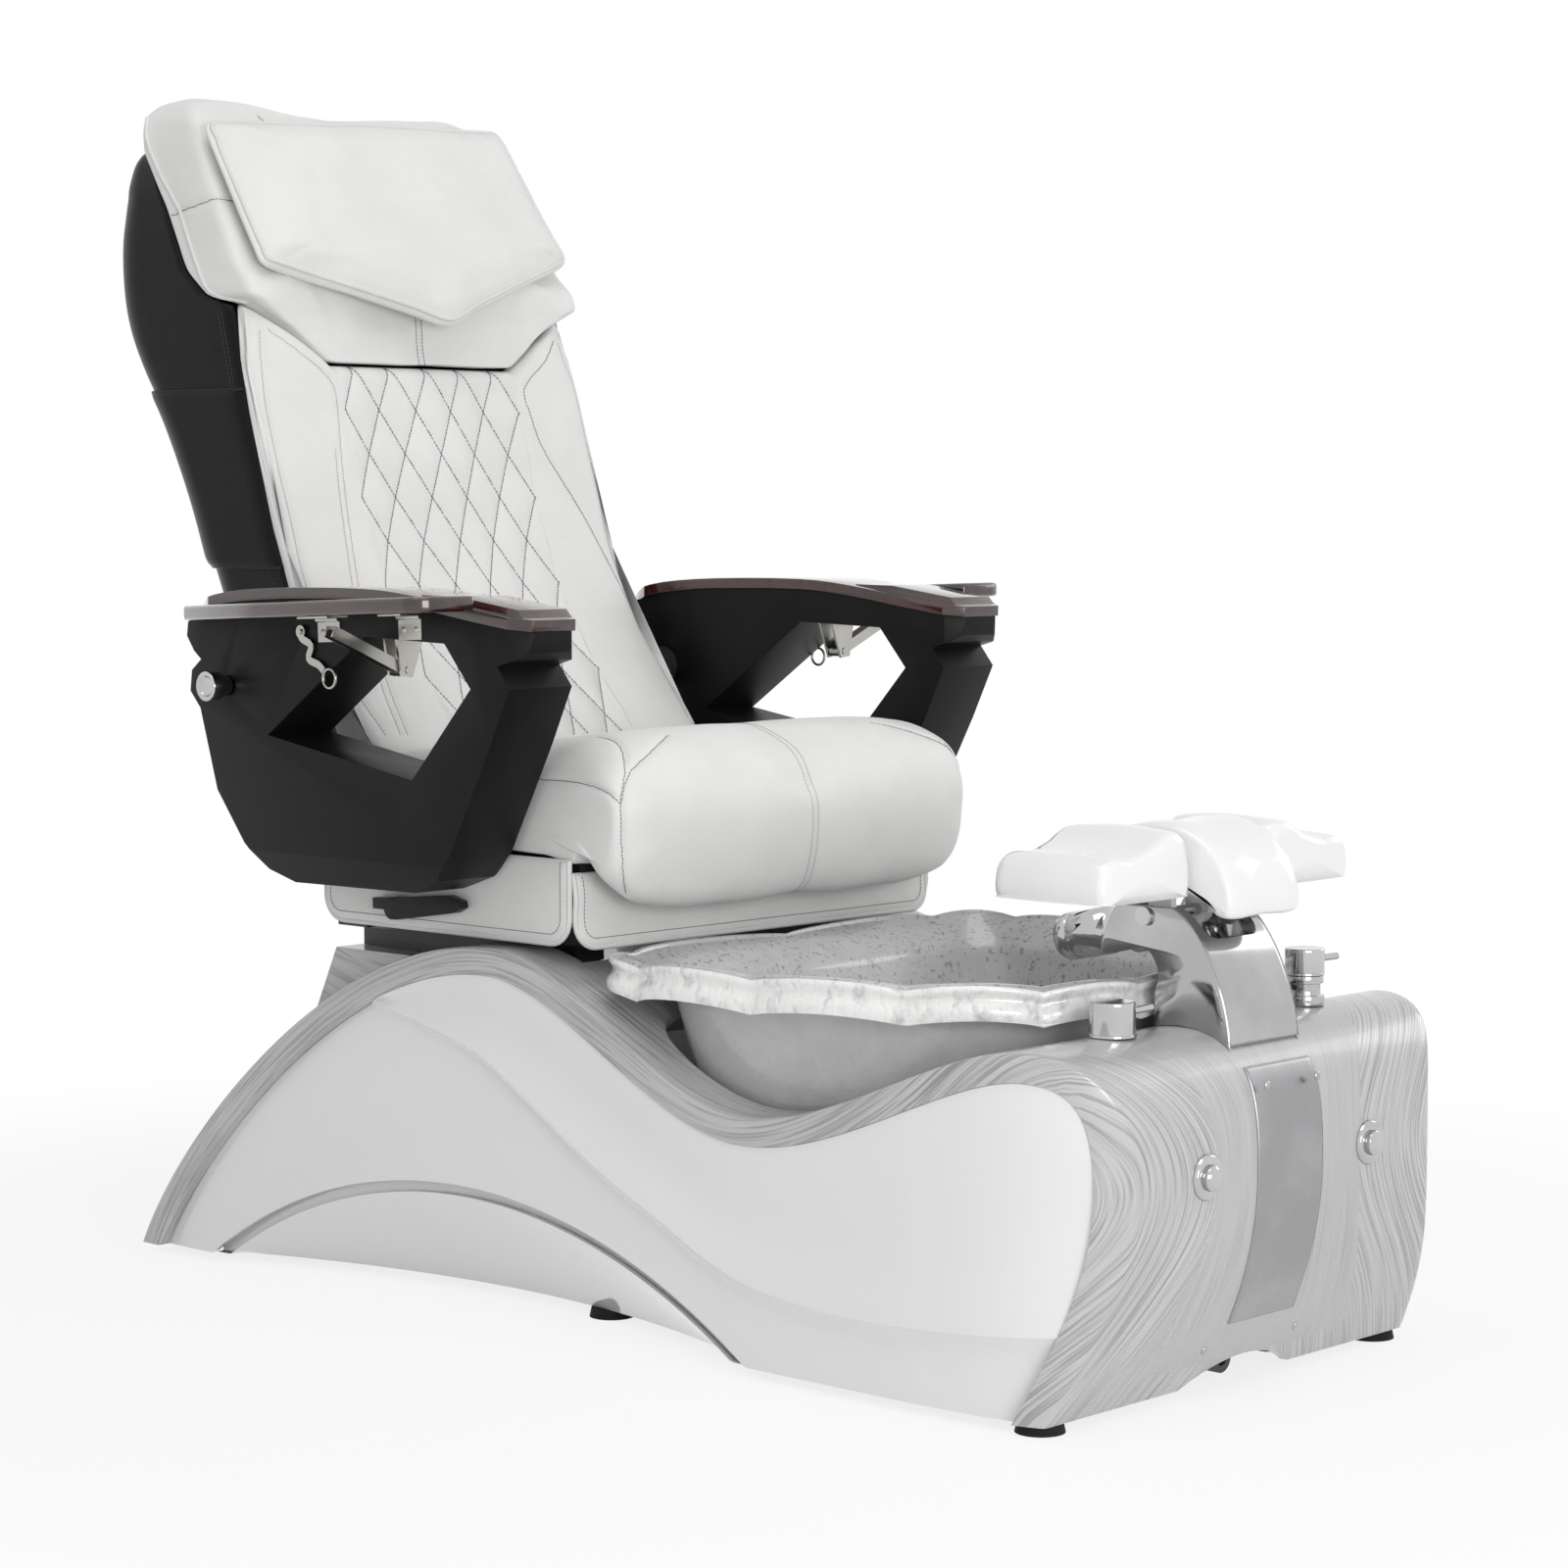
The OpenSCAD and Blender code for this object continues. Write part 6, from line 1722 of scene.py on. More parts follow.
@dataclass
class Footrest:
    """The polished tower, the tilting footrest and the hand shower in its clip."""

    half_w: float = 57.0
    sheet: float = 3.0
    deck_h: float = 356.0
    crown: float = 552.0
    pad_low: float = 484.0
    heel_w: float = 142.0
    heel_len: float = 138.0
    shower_top: Point = (0.0, -566.0, 446.0)
    shower_tip: Point = (0.0, -462.0, 424.0)

    def tower(self, base: BaseHousing) -> bpy.types.Object:
        """Folds the tower from sheet: a curved front between two side plates, and the shower's clip.

        Args:
            base: The base that it stands on.

        Returns:
            The tower with its clip.
        """
        d, w, t = self.deck_h, self.half_w, self.sheet
        front = np.vstack([bezier([(-632, d + 114), (-664, d + 100), (-700, d + 40), (-702, d - 24)], 40),
                           [(-702, d - 24)]])
        foot = np.linspace(-702, -612, 14)
        rear = smooth_path([(-612, d + 32), (-616, d + 48), (-608, d + 66), (-596, d + 72), (-572, d + 67),
                            (-545, d + 62)], 4)
        hook = smooth_path([(-545, d + 62), (-548, d + 80), (-560, d + 106), (-566, d + 114)], 4)
        floor = [(y, float(base.surface(y)) + 0.4) for y in foot]
        keep = front[front[:, 1] > floor[0][1] + 1]
        side = [tuple(p) for p in keep] + floor + [tuple(p) for p in rear] + [tuple(p) for p in hook[1:]]
        plates = [rounded(prism("plate", side, 0, x0, x1, Looks.SHEET_CHROME), 0.0009, 2, 40)
                  for x0, x1 in ((w - t, w), (-w, t - w))]
        xs = np.linspace(-w + 0.6, w - 0.6, 24)
        inner = beside(keep, -t)
        grids = [np.array([[(x, y, z) for x in xs] for y, z in path]) for path in (keep, inner)]
        sheet = sheet_solid("front", grids[0], grids[1], Looks.SHEET_CHROME)
        low, r = d + 84, 14.0
        corner = [(28 + r * math.cos(a), low + r + r * math.sin(a)) for a in np.linspace(-math.pi / 2, 0, 8)]
        corner.append((42, d + 160))
        notch = [(-x, z) for x, z in reversed(corner)] + corner
        sheet = carved(sheet, [prism("notch", notch, 1, -760, -615, Looks.SHEET_CHROME)])
        way = np.array(self.shower_tip) - np.array(self.shower_top)
        way /= np.linalg.norm(way)
        at = np.array(self.shower_top) + 4 * way
        clip = turned("clip", at, way, [(19.4, 0), (26, 0), (27, 1), (27, 17), (26, 18), (19.4, 18)],
                      Looks.SHEET_CHROME)
        arm = oblong(at[1], at[1] + 14, at[2] - 21, at[2] - 9)
        arms = [prism("arm", arm, 0, x0, x1, Looks.SHEET_CHROME) for x0, x1 in ((20, w - t), (t - w, -20))]
        return joined("footrest_tower_chrome", [sheet, *plates, clip, *arms])

    def shower(self) -> bpy.types.Object:
        """Turns the hand shower: its neck, its bell and its face.

        Returns:
            The hand shower.
        """
        way = np.array(self.shower_tip) - np.array(self.shower_top)
        long = float(np.linalg.norm(way))
        profile = [(0, 0), (14, 0), (18, 2), (19, 5), (19, 46), (20.5, 49), (24, 52), (24, long - 14),
                   (23.2, long - 13), (23.2, long - 11), (24, long - 10), (24, long - 1), (22.5, long + 0.5),
                   (21, long + 5), (19, long + 4.2), (0, long + 3.6)]
        return turned("hand_shower_chrome", self.shower_top, way, profile, Looks.CHROME, 64)

    def saddle(self) -> bpy.types.Object:
        """Lofts the saddle between the heel pads, crowned and drawn down to a low lip in front.

        Returns:
            The saddle.
        """
        low, crown = self.pad_low, self.crown
        outline = smooth_ring([(-700, 465), (-702, 486), (-690, 516), (-664, 540), (-628, crown),
                               (-580, crown - 4), (-540, 532), (-522, 506), (-528, low), (-580, low + 2),
                               (-640, low), (-668, 476), (-684, 464)], 8)
        half = [(58, 7), (57.4, 4.6), (56, 2.6), (53, 1.2), (48, 0.3), (35, -0.4), (16, 0.8)]
        stations = [(-x, inward) for x, inward in half] + [(0, 1.6)] + half[::-1]
        rings = [np.column_stack([np.full(len(outline), float(x)), grown(outline, inward)])
                 for x, inward in stations]
        shell = loft("saddle", rings, Looks.FOAM_SKIN)
        lug = ([(-600 + 14 * math.cos(a), 460 + 14 * math.sin(a))
                for a in np.linspace(math.pi, math.tau, 17)] + [(-586, low + 6), (-614, low + 6)])
        lugs = [prism("lug", lug, 0, x0, x1, Looks.FOAM_SKIN) for x0, x1 in ((26, 34), (-34, -26))]
        return joined("footrest_saddle_gloss", [shell] + lugs)

    def heel(self, side: float) -> bpy.types.Object:
        """Lofts one heel pad: a long dish between a tall inner ridge and a low outer lip.

        Args:
            side: 1 on the sitter's left, -1 on the right.

        Returns:
            The pad.
        """
        x0, top, low, w = self.half_w + 3.2, self.crown - 4, self.pad_low, self.heel_w
        outline = smooth_ring([(x0 + 2, low + 4), (x0 + 1, low + 30), (x0 + 10, top - 6), (x0 + 32, top),
                               (x0 + 0.42 * w, top - 12), (x0 + 0.66 * w, top - 21),
                               (x0 + 0.84 * w, top - 20), (x0 + 0.96 * w, top - 28), (x0 + w, low + 18),
                               (x0 + w - 2, low + 3), (x0 + w - 12, low), (x0 + 12, low)], 8)
        front, mid = -600 - self.heel_len / 2 + 8, x0 + w / 2
        stations = [(0, 14), (0.8, 10), (3, 5.4), (6, 3), (10, 1.5), (26, 0), (0.5 * self.heel_len, -2),
                    (self.heel_len - 30, 0), (self.heel_len - 12, 2), (self.heel_len - 4, 7),
                    (self.heel_len - 1, 11), (self.heel_len, 15)]
        rings = []
        for along, inward in smooth_path(stations, 4):
            kx, kz = 1 - 2 * inward / w, 1 - inward / (top - low)
            rings.append(np.column_stack([side * (mid + (outline[:, 0] - mid) * kx),
                                          np.full(len(outline), front + along),
                                          low + (outline[:, 1] - low) * kz]))
        return loft("footrest_pad_gloss", rings, Looks.FOAM_SKIN)

    def build(self, base: BaseHousing) -> None:
        """Builds and dresses the footrest.

        Args:
            base: The base that it stands on.
        """
        settle(self.tower(base), "base", "tower_chrome", "footrest_tower")
        settle(self.shower(), "shower", "shower_chrome", "hand_shower")
        settle(self.saddle(), "footrest", "footrest_white", "footrest_saddle")
        for word, side in SIDES:
            pad = self.heel(side)
            pad.name = "footrest_pad_gloss_" + word
            settle(pad, "footrest", "footrest_white", "footrest_pad_" + word)
        finish_nodes(Looks.GROUND_STEEL, "tilt_pin")


@dataclass
class WaterControls:
    """The two water knobs, their valves, and the two air buttons on the nose."""

    edge: float = 0.0009
    bore: float = 9.05
    deck_h: float = 356.0

    def knob(self, name: str, at: Point, bore_top: float, height: float, foot: float, radius: float,
             pin: tuple[Point, Point]) -> bpy.types.Object:
        """Turns a water knob round its blind bore and adds its lever pin.

        Args:
            name: The piece's name.
            at: The middle of its underside.
            bore_top: Height of the bore's end over the underside.
            height: Height of the knob.
            foot: Radius of its foot ring.
            radius: Radius of its grip.
            pin: Both ends of the lever pin.

        Returns:
            The knob and its pin as one piece.
        """
        r, h = radius, height
        profile = [(0, bore_top), (self.bore, bore_top), (self.bore, 0), (foot - 0.7, 0), (foot, 0.7),
                   (foot, 2.3), (foot - 0.3, 2.8), (r, 3), (r, 5), (r, h - 3), (r, h - 1.6),
                   (r - 0.214, h - 0.8), (r - 0.8, h - 0.214), (r - 1.6, h), (r - 2.6, h), (0, h)]
        grip = turned("grip", at, (0, 0, 1), profile, Looks.CHROME, 72)
        way = np.array(pin[1]) - np.array(pin[0])
        long = float(np.linalg.norm(way))
        lever = turned("pin", pin[0], way, [(0, 0), (3.5, 0), (3.5, long - 1.6), (3.29, long - 0.8),
                                            (2.7, long - 0.21), (1.9, long), (0, long)], Looks.CHROME, 28)
        made = joined(name, [grip, lever])
        shade_smooth(made, 33)
        return made

    def build(self) -> None:
        """Builds and dresses the knobs, valves and buttons."""
        mixer = self.knob("mixer_knob_bright", (-156, -638, 356.3), 24.7, 33.7, 23, 22,
                          ((-138, -642, 378), (-114, -654, 382)))
        settle(mixer, "mixer", "polished_chrome", "mixer_knob")
        diverter = self.knob("diverter_knob_bright", (156, -638, 386.3), 19, 27, 20, 20,
                             ((172, -642, 401.3), (194, -652, 403.3)))
        settle(diverter, "diverter", "polished_chrome", "diverter_knob")
        for node, body in (("button_bezels", "base"), ("jet_button", "jet_push"),
                           ("light_button", "light_push")):
            settle(softened(node + "_bright", [node], Looks.CHROME, self.edge, 3), body, "polished_chrome")
        valves = softened("valve_bodies_cast", ["valve_bodies"], Looks.BRASS, self.edge)
        valves.data.materials.append(Looks.CHROME.material())
        for face in valves.data.polygons:
            face.material_index = int(face.center.z > (self.deck_h - 1.5) / MM)
        settle(valves, "base", "valve_brass")


# ---- Seat ----


def both_ways(rows: Sequence[Sequence[Point]]) -> list[np.ndarray]:
    """Gives rows of points and their mirror images across the chair's middle."""
    out = [np.array(row, float) for row in rows]
    return out + [row * np.array([-1.0, 1.0, 1.0]) for row in out]


def eased(distance: np.ndarray, width: float) -> np.ndarray:
    """Gives a round shoulder: 0 on an edge, 1 from a width inwards."""
    t = np.clip(distance / width, 0, 1)
    return np.sqrt(t * (2 - t))


@dataclass
class SeatUnit:
    """The sliding seat: its cushion, its skirts and apron, its frame and its release lever."""

    half_w: float = 275.0
    mid_z: float = 540.0
    low_z: float = 497.0
    crown_z: float = 616.0
    skirt_x: float = 276.6
    flap: float = 7.0
    drawn_in: tuple = ((0, 0), (60, -0.02), (120, -0.01), (180, 0.01), (206, 0.035), (222, 0.06),
                       (242, 0.11), (257, 0.2), (267, 0.31), (273, 0.42), (275, 0.52))

    def side_line(self) -> np.ndarray:
        """Gives the cushion's side outline at its middle as closed, even (y, z) points.

        Returns:
            The outline's points.
        """
        h = self.crown_z
        round_part = smooth_path([(8, 495), (-34, 482), (-58, h - 170), (-80, h - 178), (-103, h - 160),
                                  (-113, h - 90), (-104, h - 40), (-76, h - 12), (-22, h), (60, h - 8),
                                  (180, h - 20), (270, h - 27), (290, h - 38), (294, h - 62)], 8)
        flat = [(294, 527), (288, 501), (280, 497), (150, 497), (60, 497)]
        return spaced(np.vstack([round_part, flat]), 7.5, closed=True)

    def ring(self, line: np.ndarray, x: float, s: float) -> np.ndarray:
        """Gives the cushion's outline at a distance across, drawn in by s.

        Args:
            line: The side outline.
            x: The distance across.
            s: The share by which it is drawn in.

        Returns:
            The ring's points.
        """
        y, z = line[:, 0], line[:, 1]
        flat = (z < self.low_z + 1) & (y > -34)
        return np.stack([np.full(len(line), x), y + (np.maximum(y, -60) - y) * s,
                         np.where(flat, z, z + (self.mid_z - z) * s)], 1)

    def cushion(self) -> bpy.types.Object:
        """Builds the seat cushion, swells it and adds slight folds of its cover.

        Returns:
            The cushion.
        """
        line = self.side_line()
        ends = [275, 274, 272, 269, 265, 260, 254, 248]
        xs = np.concatenate([[-x for x in ends], np.arange(-242, 243, 6.0), ends[::-1]])
        rings = [self.ring(line, x, float(on_curve(self.drawn_in, abs(x))[0])) for x in xs]
        closers = []
        for first, side in ((rings[0], -1), (rings[-1], 1)):
            middle = first.mean(0)
            closers.append([middle + (first - middle) * f + np.array([side * b, 0, 0])
                            for f, b in ((0.94, 0.4), (0.84, 0.8), (0.7, 1.1), (0.54, 1.3), (0.36, 1.4),
                                         (0.18, 1.4))])
        piece = loft("seat_cushion_padded", closers[0][::-1] + rings + closers[1], Looks.WHITE_VINYL)
        at = in_outline(piece)
        free = np.clip((at[:, 2] - 470) / 60, 0.0, 1) * np.clip((292 - at[:, 1]) / 30, 0, 1)
        free = np.maximum(free, np.clip((-20 - at[:, 1]) / 30, 0, 1) * 0.9)
        free *= np.clip((277.5 - np.abs(at[:, 0])) / 16, 0.15, 1)
        piece = subdivided(inflated(piece, 0.0045, free))
        pushed(piece, self.folds(coordinates(piece) * MM, normals(piece)))
        return piece

    @staticmethod
    def folds(at: np.ndarray, outward: np.ndarray) -> np.ndarray:
        """Gives slight sags and pulls of the cover, in metres along the normal.

        Args:
            at: Points in millimetres.
            outward: Their normals.

        Returns:
            Each point's way.
        """
        wave = (np.sin(at[:, 0] * 0.021 + 1.3) * np.sin(at[:, 1] * 0.026 + 0.4)
                + 0.5 * np.sin(at[:, 0] * 0.047 + at[:, 1] * 0.018) * np.sin(at[:, 2] * 0.05))
        pull = np.exp(-((np.abs(at[:, 0]) - 246) / 22) ** 2) * np.sin(at[:, 2] * 0.13 + at[:, 1] * 0.05)
        return (0.9 * wave + 0.5 * pull * (np.abs(outward[:, 0]) > 0.15)) / MM

    def seams(self) -> tuple[np.ndarray, list]:
        """Gives the cushion's middle seam, and the seams on one side that are mirrored.

        Returns:
            The middle seam, and the seams of one side.
        """
        middle = self.ring(self.side_line(), 0.0, 0.0)
        top = middle[(middle[:, 2] > 560) | (middle[:, 1] < -60)]
        start = int(np.argmax(top[:, 1]))
        top = np.roll(top, -start, axis=0)
        if top[1, 1] > top[0, 1] - 1e-6 or top[-1, 2] > 560:
            top = top[np.argsort(-np.unwrap(np.arctan2(top[:, 2] - 520, top[:, 1] + 20)))][::-1]
        box = [(-276, 286, 572), (-276, 120, 574), (-276, 13, 573), (-276, -38, 572), (-274, -74, 565),
               (-270, -92, 555)]
        front = [(-160, -52, 613), (-200, -72, 604), (-226, -84, 598), (-254, -90, 582), (-268, -94, 556),
                 (-270, -95, 523), (-267, -94, 495), (-262, -90, 472), (-256, -82, 452)]
        top_seam = [(-214, 284, 590), (-214, 180, 598), (-214, 60, 608), (-216, -10, 612), (-230, -52, 606),
                    (-252, -82, 586), (-268, -93, 558)]
        return top, [box, front, top_seam]

    def flap_edge(self, y0: float, y1: float, z0: float, z1: float, r: float, inset: float) -> np.ndarray:
        """Gives the open lower edge of a flap with rounded corners, moved in by an inset.

        Args:
            y0: Where the flap starts along its run.
            y1: Where it ends.
            z0: Its lower edge.
            z1: Its upper edge.
            r: Radius of its corners.
            inset: How far the edge is moved in.

        Returns:
            The edge's points.
        """
        a, b, c, rr = y0 + inset, y1 - inset, z0 + inset, max(4.0, r - inset)
        quarter = [(rr - rr * math.cos(t), c + rr - rr * math.sin(t))
                   for t in np.linspace(0, math.pi / 2, 10)]
        left = [(a, z1 - min(inset, 4))] + [(a + y, z) for y, z in quarter]
        right = [(b - y, z) for y, z in reversed(quarter)] + [(b, z1 - min(inset, 4))]
        return spaced(left + right, 4.0)

    @staticmethod
    def flap_grid(ends: Sequence[float], a0: float, a1: float, z0: float, z1: float,
                  gap: float) -> tuple[np.ndarray, np.ndarray, np.ndarray]:
        """Spreads the points of a flap with rounded lower corners.

        Args:
            ends: Places near either end, up to the corners' radius.
            a0: Where the flap starts along its run.
            a1: Where it ends.
            z0: Its lower edge.
            z1: Its upper edge.
            gap: Spacing of the points between the corners.

        Returns:
            The places along the run, each point's height, and its distance from the edge.
        """
        close = np.array(ends)
        r = close[-1]
        along = np.concatenate([a0 + close, np.arange(a0 + r + 6, a1 - r - 5, gap), (a1 - close)[::-1]])
        inward = np.minimum(along - a0, a1 - along)
        low = z0 + r - np.sqrt(np.maximum(r * r - (r - np.minimum(inward, r)) ** 2, 0))
        rows = np.array([0, 0.008, 0.03, 0.07, 0.13, 0.22, 0.34, 0.48, 0.62, 0.76, 0.88, 0.95, 0.985, 1.0])
        z = low[None, :] + (z1 - low[None, :]) * rows[:, None]
        return along, z, np.minimum(np.minimum(z - low[None, :], z1 - z), inward[None, :])

    def skirt(self, side: float) -> tuple[bpy.types.Object, list, list]:
        """Builds one side skirt.

        Args:
            side: 1 on the sitter's left, -1 on the right.

        Returns:
            The flap, the path of its piping and the path of its topstitch.
        """
        y0, y1, z0, z1, r = -30.0, 355.0, 403.0, 492.0, 28.0
        ys, z, edge = self.flap_grid((0, 0.6, 1.6, 3, 5, 8, 12, 17, 23, r), y0, y1, z0, z1, 6.0)
        ripple = 0.7 * np.sin(ys * 0.045 + 0.6)[None, :] * np.sin(z * 0.06)
        out = 2.0 + (self.flap - 2.0 + ripple) * eased(edge, 9.0)
        front = np.stack([side * (self.skirt_x + out), np.broadcast_to(ys, z.shape), z], 2)
        back = np.stack([np.full(z.shape, side * (self.skirt_x + 0.2)), np.broadcast_to(ys, z.shape), z], 2)
        piece = sheet_solid("skirt", front, back, Looks.WHITE_VINYL)
        hole_r = 10.5
        hole = [(226 + hole_r * math.cos(a), 425 + hole_r * math.sin(a))
                for a in np.linspace(0, math.tau, 24, False)]
        near, far = sorted((side * 260, side * 300))
        piece = carved(piece, [prism("hole", hole, 0, near, far, Looks.WHITE_VINYL)])
        x = side * (self.skirt_x + 3.4)
        pipe = [(x, *p) for p in self.flap_edge(y0, y1, z0, z1, r, 1.0)]
        stitch = [(side * (self.skirt_x + 8), *p) for p in self.flap_edge(y0, y1, z0, z1, r, 11.0)]
        return piece, pipe, stitch

    def apron(self) -> tuple[bpy.types.Object, list, list]:
        """Builds the front apron, with the paths of its piping and topstitch.

        Returns:
            The apron, the path of its piping and the path of its topstitch.
        """
        line = smooth_path([(478, -31), (455, -36), (430, -35), (398, -39)], 6)[::-1]
        x1, z0, z1, r = 275.0, 399.0, 478.0, 26.0
        xs, z, edge = self.flap_grid((0, 0.6, 1.6, 3, 5, 8, 12, 17, 22, r), -x1, x1, z0, z1, 7.0)
        y = np.interp(z, line[:, 0], line[:, 1])
        ripple = 0.8 * np.sin(xs * 0.033 + 0.6)[None, :] * np.sin(z * 0.06)
        grid_x = np.broadcast_to(xs, z.shape)
        front = np.stack([grid_x, y + 5.0 - (5.0 + ripple) * eased(edge, 9.0), z], 2)
        back = np.stack([grid_x, y + 6.8, z], 2)
        piece = sheet_solid("front_apron_padded", front, back, Looks.WHITE_VINYL)

        def path(inset: float, stand: float) -> list:
            """Follows the apron's open edge at an inset, standing off its middle."""
            edge_line = self.flap_edge(-x1, x1, z0, z1, r, inset)
            return [(x, float(np.interp(h, line[:, 0], line[:, 1])) + stand, h) for x, h in edge_line]

        return piece, path(1.0, 3.4), path(11.0, -2.0)

    @staticmethod
    def dress(piece: bpy.types.Object, *nodes: str) -> bpy.types.Object:
        """Settles a white piece on the seat."""
        return settle(piece, "seat", "white_vinyl", *nodes)

    def build(self) -> None:
        """Builds and dresses the seat."""
        cushion = self.cushion()
        middle, sides = self.seams()
        skin = Skin(cushion)
        lines = skin.laid(both_ways(sides))
        centre = skin.closest(place(spaced(middle, SEAM_STEP)), 0.0)
        grooved(cushion, [centre], 0.0016, 0.0022)
        grooved(cushion, lines, 0.0022, 0.0035)
        self.dress(cushion, "seat_cushion")
        skin = Skin(cushion)
        rows = [skin.closest(centre + np.array([off, 0, 0]), 0.0002) for off in (-0.0045, 0.0045)]
        self.dress(stitched("seat_middle_stitches", rows, Looks.PALE_THREAD))
        rows = [skin.closest(line, 0.0001) for line in lines]
        self.dress(stitched("seat_side_stitches", rows, Looks.GREY_THREAD))
        skirts = [self.skirt(side) for _, side in SIDES]
        flaps = joined("side_skirts_padded", [s[0] for s in skirts])
        self.dress(flaps, "side_skirts")
        apron, apron_pipe, apron_stitch = self.apron()
        self.dress(apron, "front_apron")
        board = prism("seat_board", oblong(-27, 270, 468, 494), 0, -262, 262, Looks.BLACK_PLASTIC)
        settle(rounded(board, 0.002), "seat", "frame_steel")
        pipes = [place(s[1]) for s in skirts] + [place(apron_pipe)]
        self.dress(piped("skirt_piping", pipes, Looks.PIPING, 0.0031))
        skin = Skin(flaps)
        rows = [skin.closest(place(s[2]), 0.0001) for s in skirts]
        rows.append(Skin(apron).closest(place(apron_stitch), 0.0001))
        self.dress(stitched("skirt_topstitch", rows, Looks.GREY_THREAD))
        settle(softened("slide_lever_moulded", ["slide_lever"], Looks.BLACK_PLASTIC, 0.0018, 3), "lever",
               "lever_plastic")
        finish_nodes(Looks.POWDER, "seat_frame", "slide_runners", "slide_rails")
        finish_nodes(Looks.BLACK_PLASTIC, "actuator_body")
        finish_nodes(Looks.GROUND_STEEL, "actuator_rod")


# ---- Backrest ----


@dataclass
class Backrest:
    """The reclining back: shell, bands, quilted cushion, head pad, pillow and massage carriage."""

    shell_front: tuple = ((490, 350), (560, 375), (650, 405), (750, 441), (830, 472), (900, 492), (960, 512),
                          (1010, 525), (1079, 545), (1090, 590), (1120, 629), (1195, 676), (1262, 730),
                          (1282, 736))
    shell_rear: tuple = ((490, 502), (560, 532), (650, 565), (750, 600), (830, 636), (900, 670), (960, 704),
                         (1010, 740), (1060, 768), (1120, 784), (1180, 788), (1230, 782), (1262, 764),
                         (1282, 744))
    shell_half: tuple = ((490, 215), (560, 235), (650, 247), (750, 252), (900, 253), (1060, 252), (1120, 249),
                         (1180, 243), (1230, 232), (1262, 214), (1282, 186))
    front: tuple = ((528, 318), (560, 303), (589, 295), (612, 312), (650, 348), (704, 391), (760, 424),
                    (816, 449), (870, 467), (930, 484), (1015, 505), (1090, 524))
    half: tuple = ((528, 248), (620, 254), (760, 254), (900, 256), (1015, 254), (1090, 242))
    roll: tuple = ((0, 0), (134, 0), (150, -3), (190, -6), (225, -3), (246, 2), (256, 8), (260, 14))
    quilt_x: float = 135.0
    quilt_top: float = 1014.0
    quilt_low: float = 585.0
    diamond: Point = (54.0, 100.0)
    puff: float = 7.0
    pillow_w: float = 488.0
    pillow_t: float = 34.0
    pillow_lean: float = 32.2

    def shell_path(self, z: float, off: float, stop: float = 0.0) -> np.ndarray:
        """Gives half the shell's plan outline at a height, from its front edge to its rear.

        Args:
            z: The height.
            off: How far it stands outside the shell.
            stop: How far short of the rear it ends, or 0 to reach the middle.

        Returns:
            Points in millimetres on the +X side.
        """
        y0 = float(on_line(self.shell_front, z))
        y1 = float(on_curve(self.shell_rear, z)[0])
        w = float(on_curve(self.shell_half, z)[0])
        c = min(60.0, 0.6 * (y1 - y0), w / 2)
        top = math.pi / 2 if stop == 0 else math.asin(max(0.05, min(1.0, (c - stop) / c)))
        r = c + off
        straight = [(w + off, y, z) for y in np.linspace(y0, y1 - c, 9)[:-1]]
        arc = [(w - c + r * math.cos(a), y1 - c + r * math.sin(a), z) for a in np.linspace(0, top, 13)]
        rear = [((w - c) * t, y1 + off + 2 * (1 - t * t), z) for t in (0.75, 0.5, 0.25, 0.0)]
        return np.array(straight + arc + (rear if stop == 0 else []))

    def shell(self) -> bpy.types.Object:
        """Builds the vinyl-covered shell as a sheet open to the front.

        Returns:
            The shell.
        """
        zs = np.concatenate([np.arange(490, 1270, 7.0), [1270, 1276, 1280, 1282]])
        grids = []
        for off in (0.0, -6.0):
            rows = []
            for z in zs:
                half = self.shell_path(z, off)
                rows.append(np.vstack([half, half[-2::-1] * np.array([-1, 1, 1])]))
            grids.append(np.array(rows))
        return sheet_solid("back_shell_vinyl", grids[0], grids[1], Looks.BLACK_VINYL)

    def bands(self) -> tuple[bpy.types.Object, list]:
        """Builds the padded flaps round the shell's sides, with the paths of their piping.

        Returns:
            The flaps as one piece, and the paths of their piping.
        """
        low, high, wide, off, stop = 785, 985, 190, 0.4, 13.0
        ends = np.array([0, 0.8, 2, 5, 9])
        zs = np.concatenate([low + ends, np.arange(800, 972, 8.0), (high - ends)[::-1]])
        flaps, pipes = [], []
        for _, side in SIDES:
            turn = np.array([side, 1, 1])
            inner = np.array([self.shell_path(z, off, stop) for z in zs])
            run = np.linspace(0, 1, inner.shape[1]) * wide
            edge = np.minimum(np.minimum(zs - low, high - zs)[:, None], np.minimum(run, wide - run)[None, :])
            flare = 3.0 * np.exp(-((zs - low) / 40.0) ** 2)[:, None] * (run / wide)[None, :]
            thick = 2.0 + (3.6 + flare) * eased(edge, 12.0)
            outer = np.array([[self.shell_path(z, off + thick[r, c], stop)[c] for c in range(len(run))]
                              for r, z in enumerate(zs)])
            flaps.append(sheet_solid("band", outer * turn, inner * turn, Looks.BLACK_VINYL))
            pipes += [place(self.shell_path(z, 2.4, stop) * turn) for z in (low + 0.6, high - 0.6)]
        return joined("side_bands_padded", flaps), pipes

    def cushion_x(self, c: np.ndarray, z: np.ndarray) -> np.ndarray:
        """Gives the distance across of a column at a height."""
        return np.where(c <= 190, c, 190 + (on_line(self.half, z) - 190) * (c - 190) / 70)

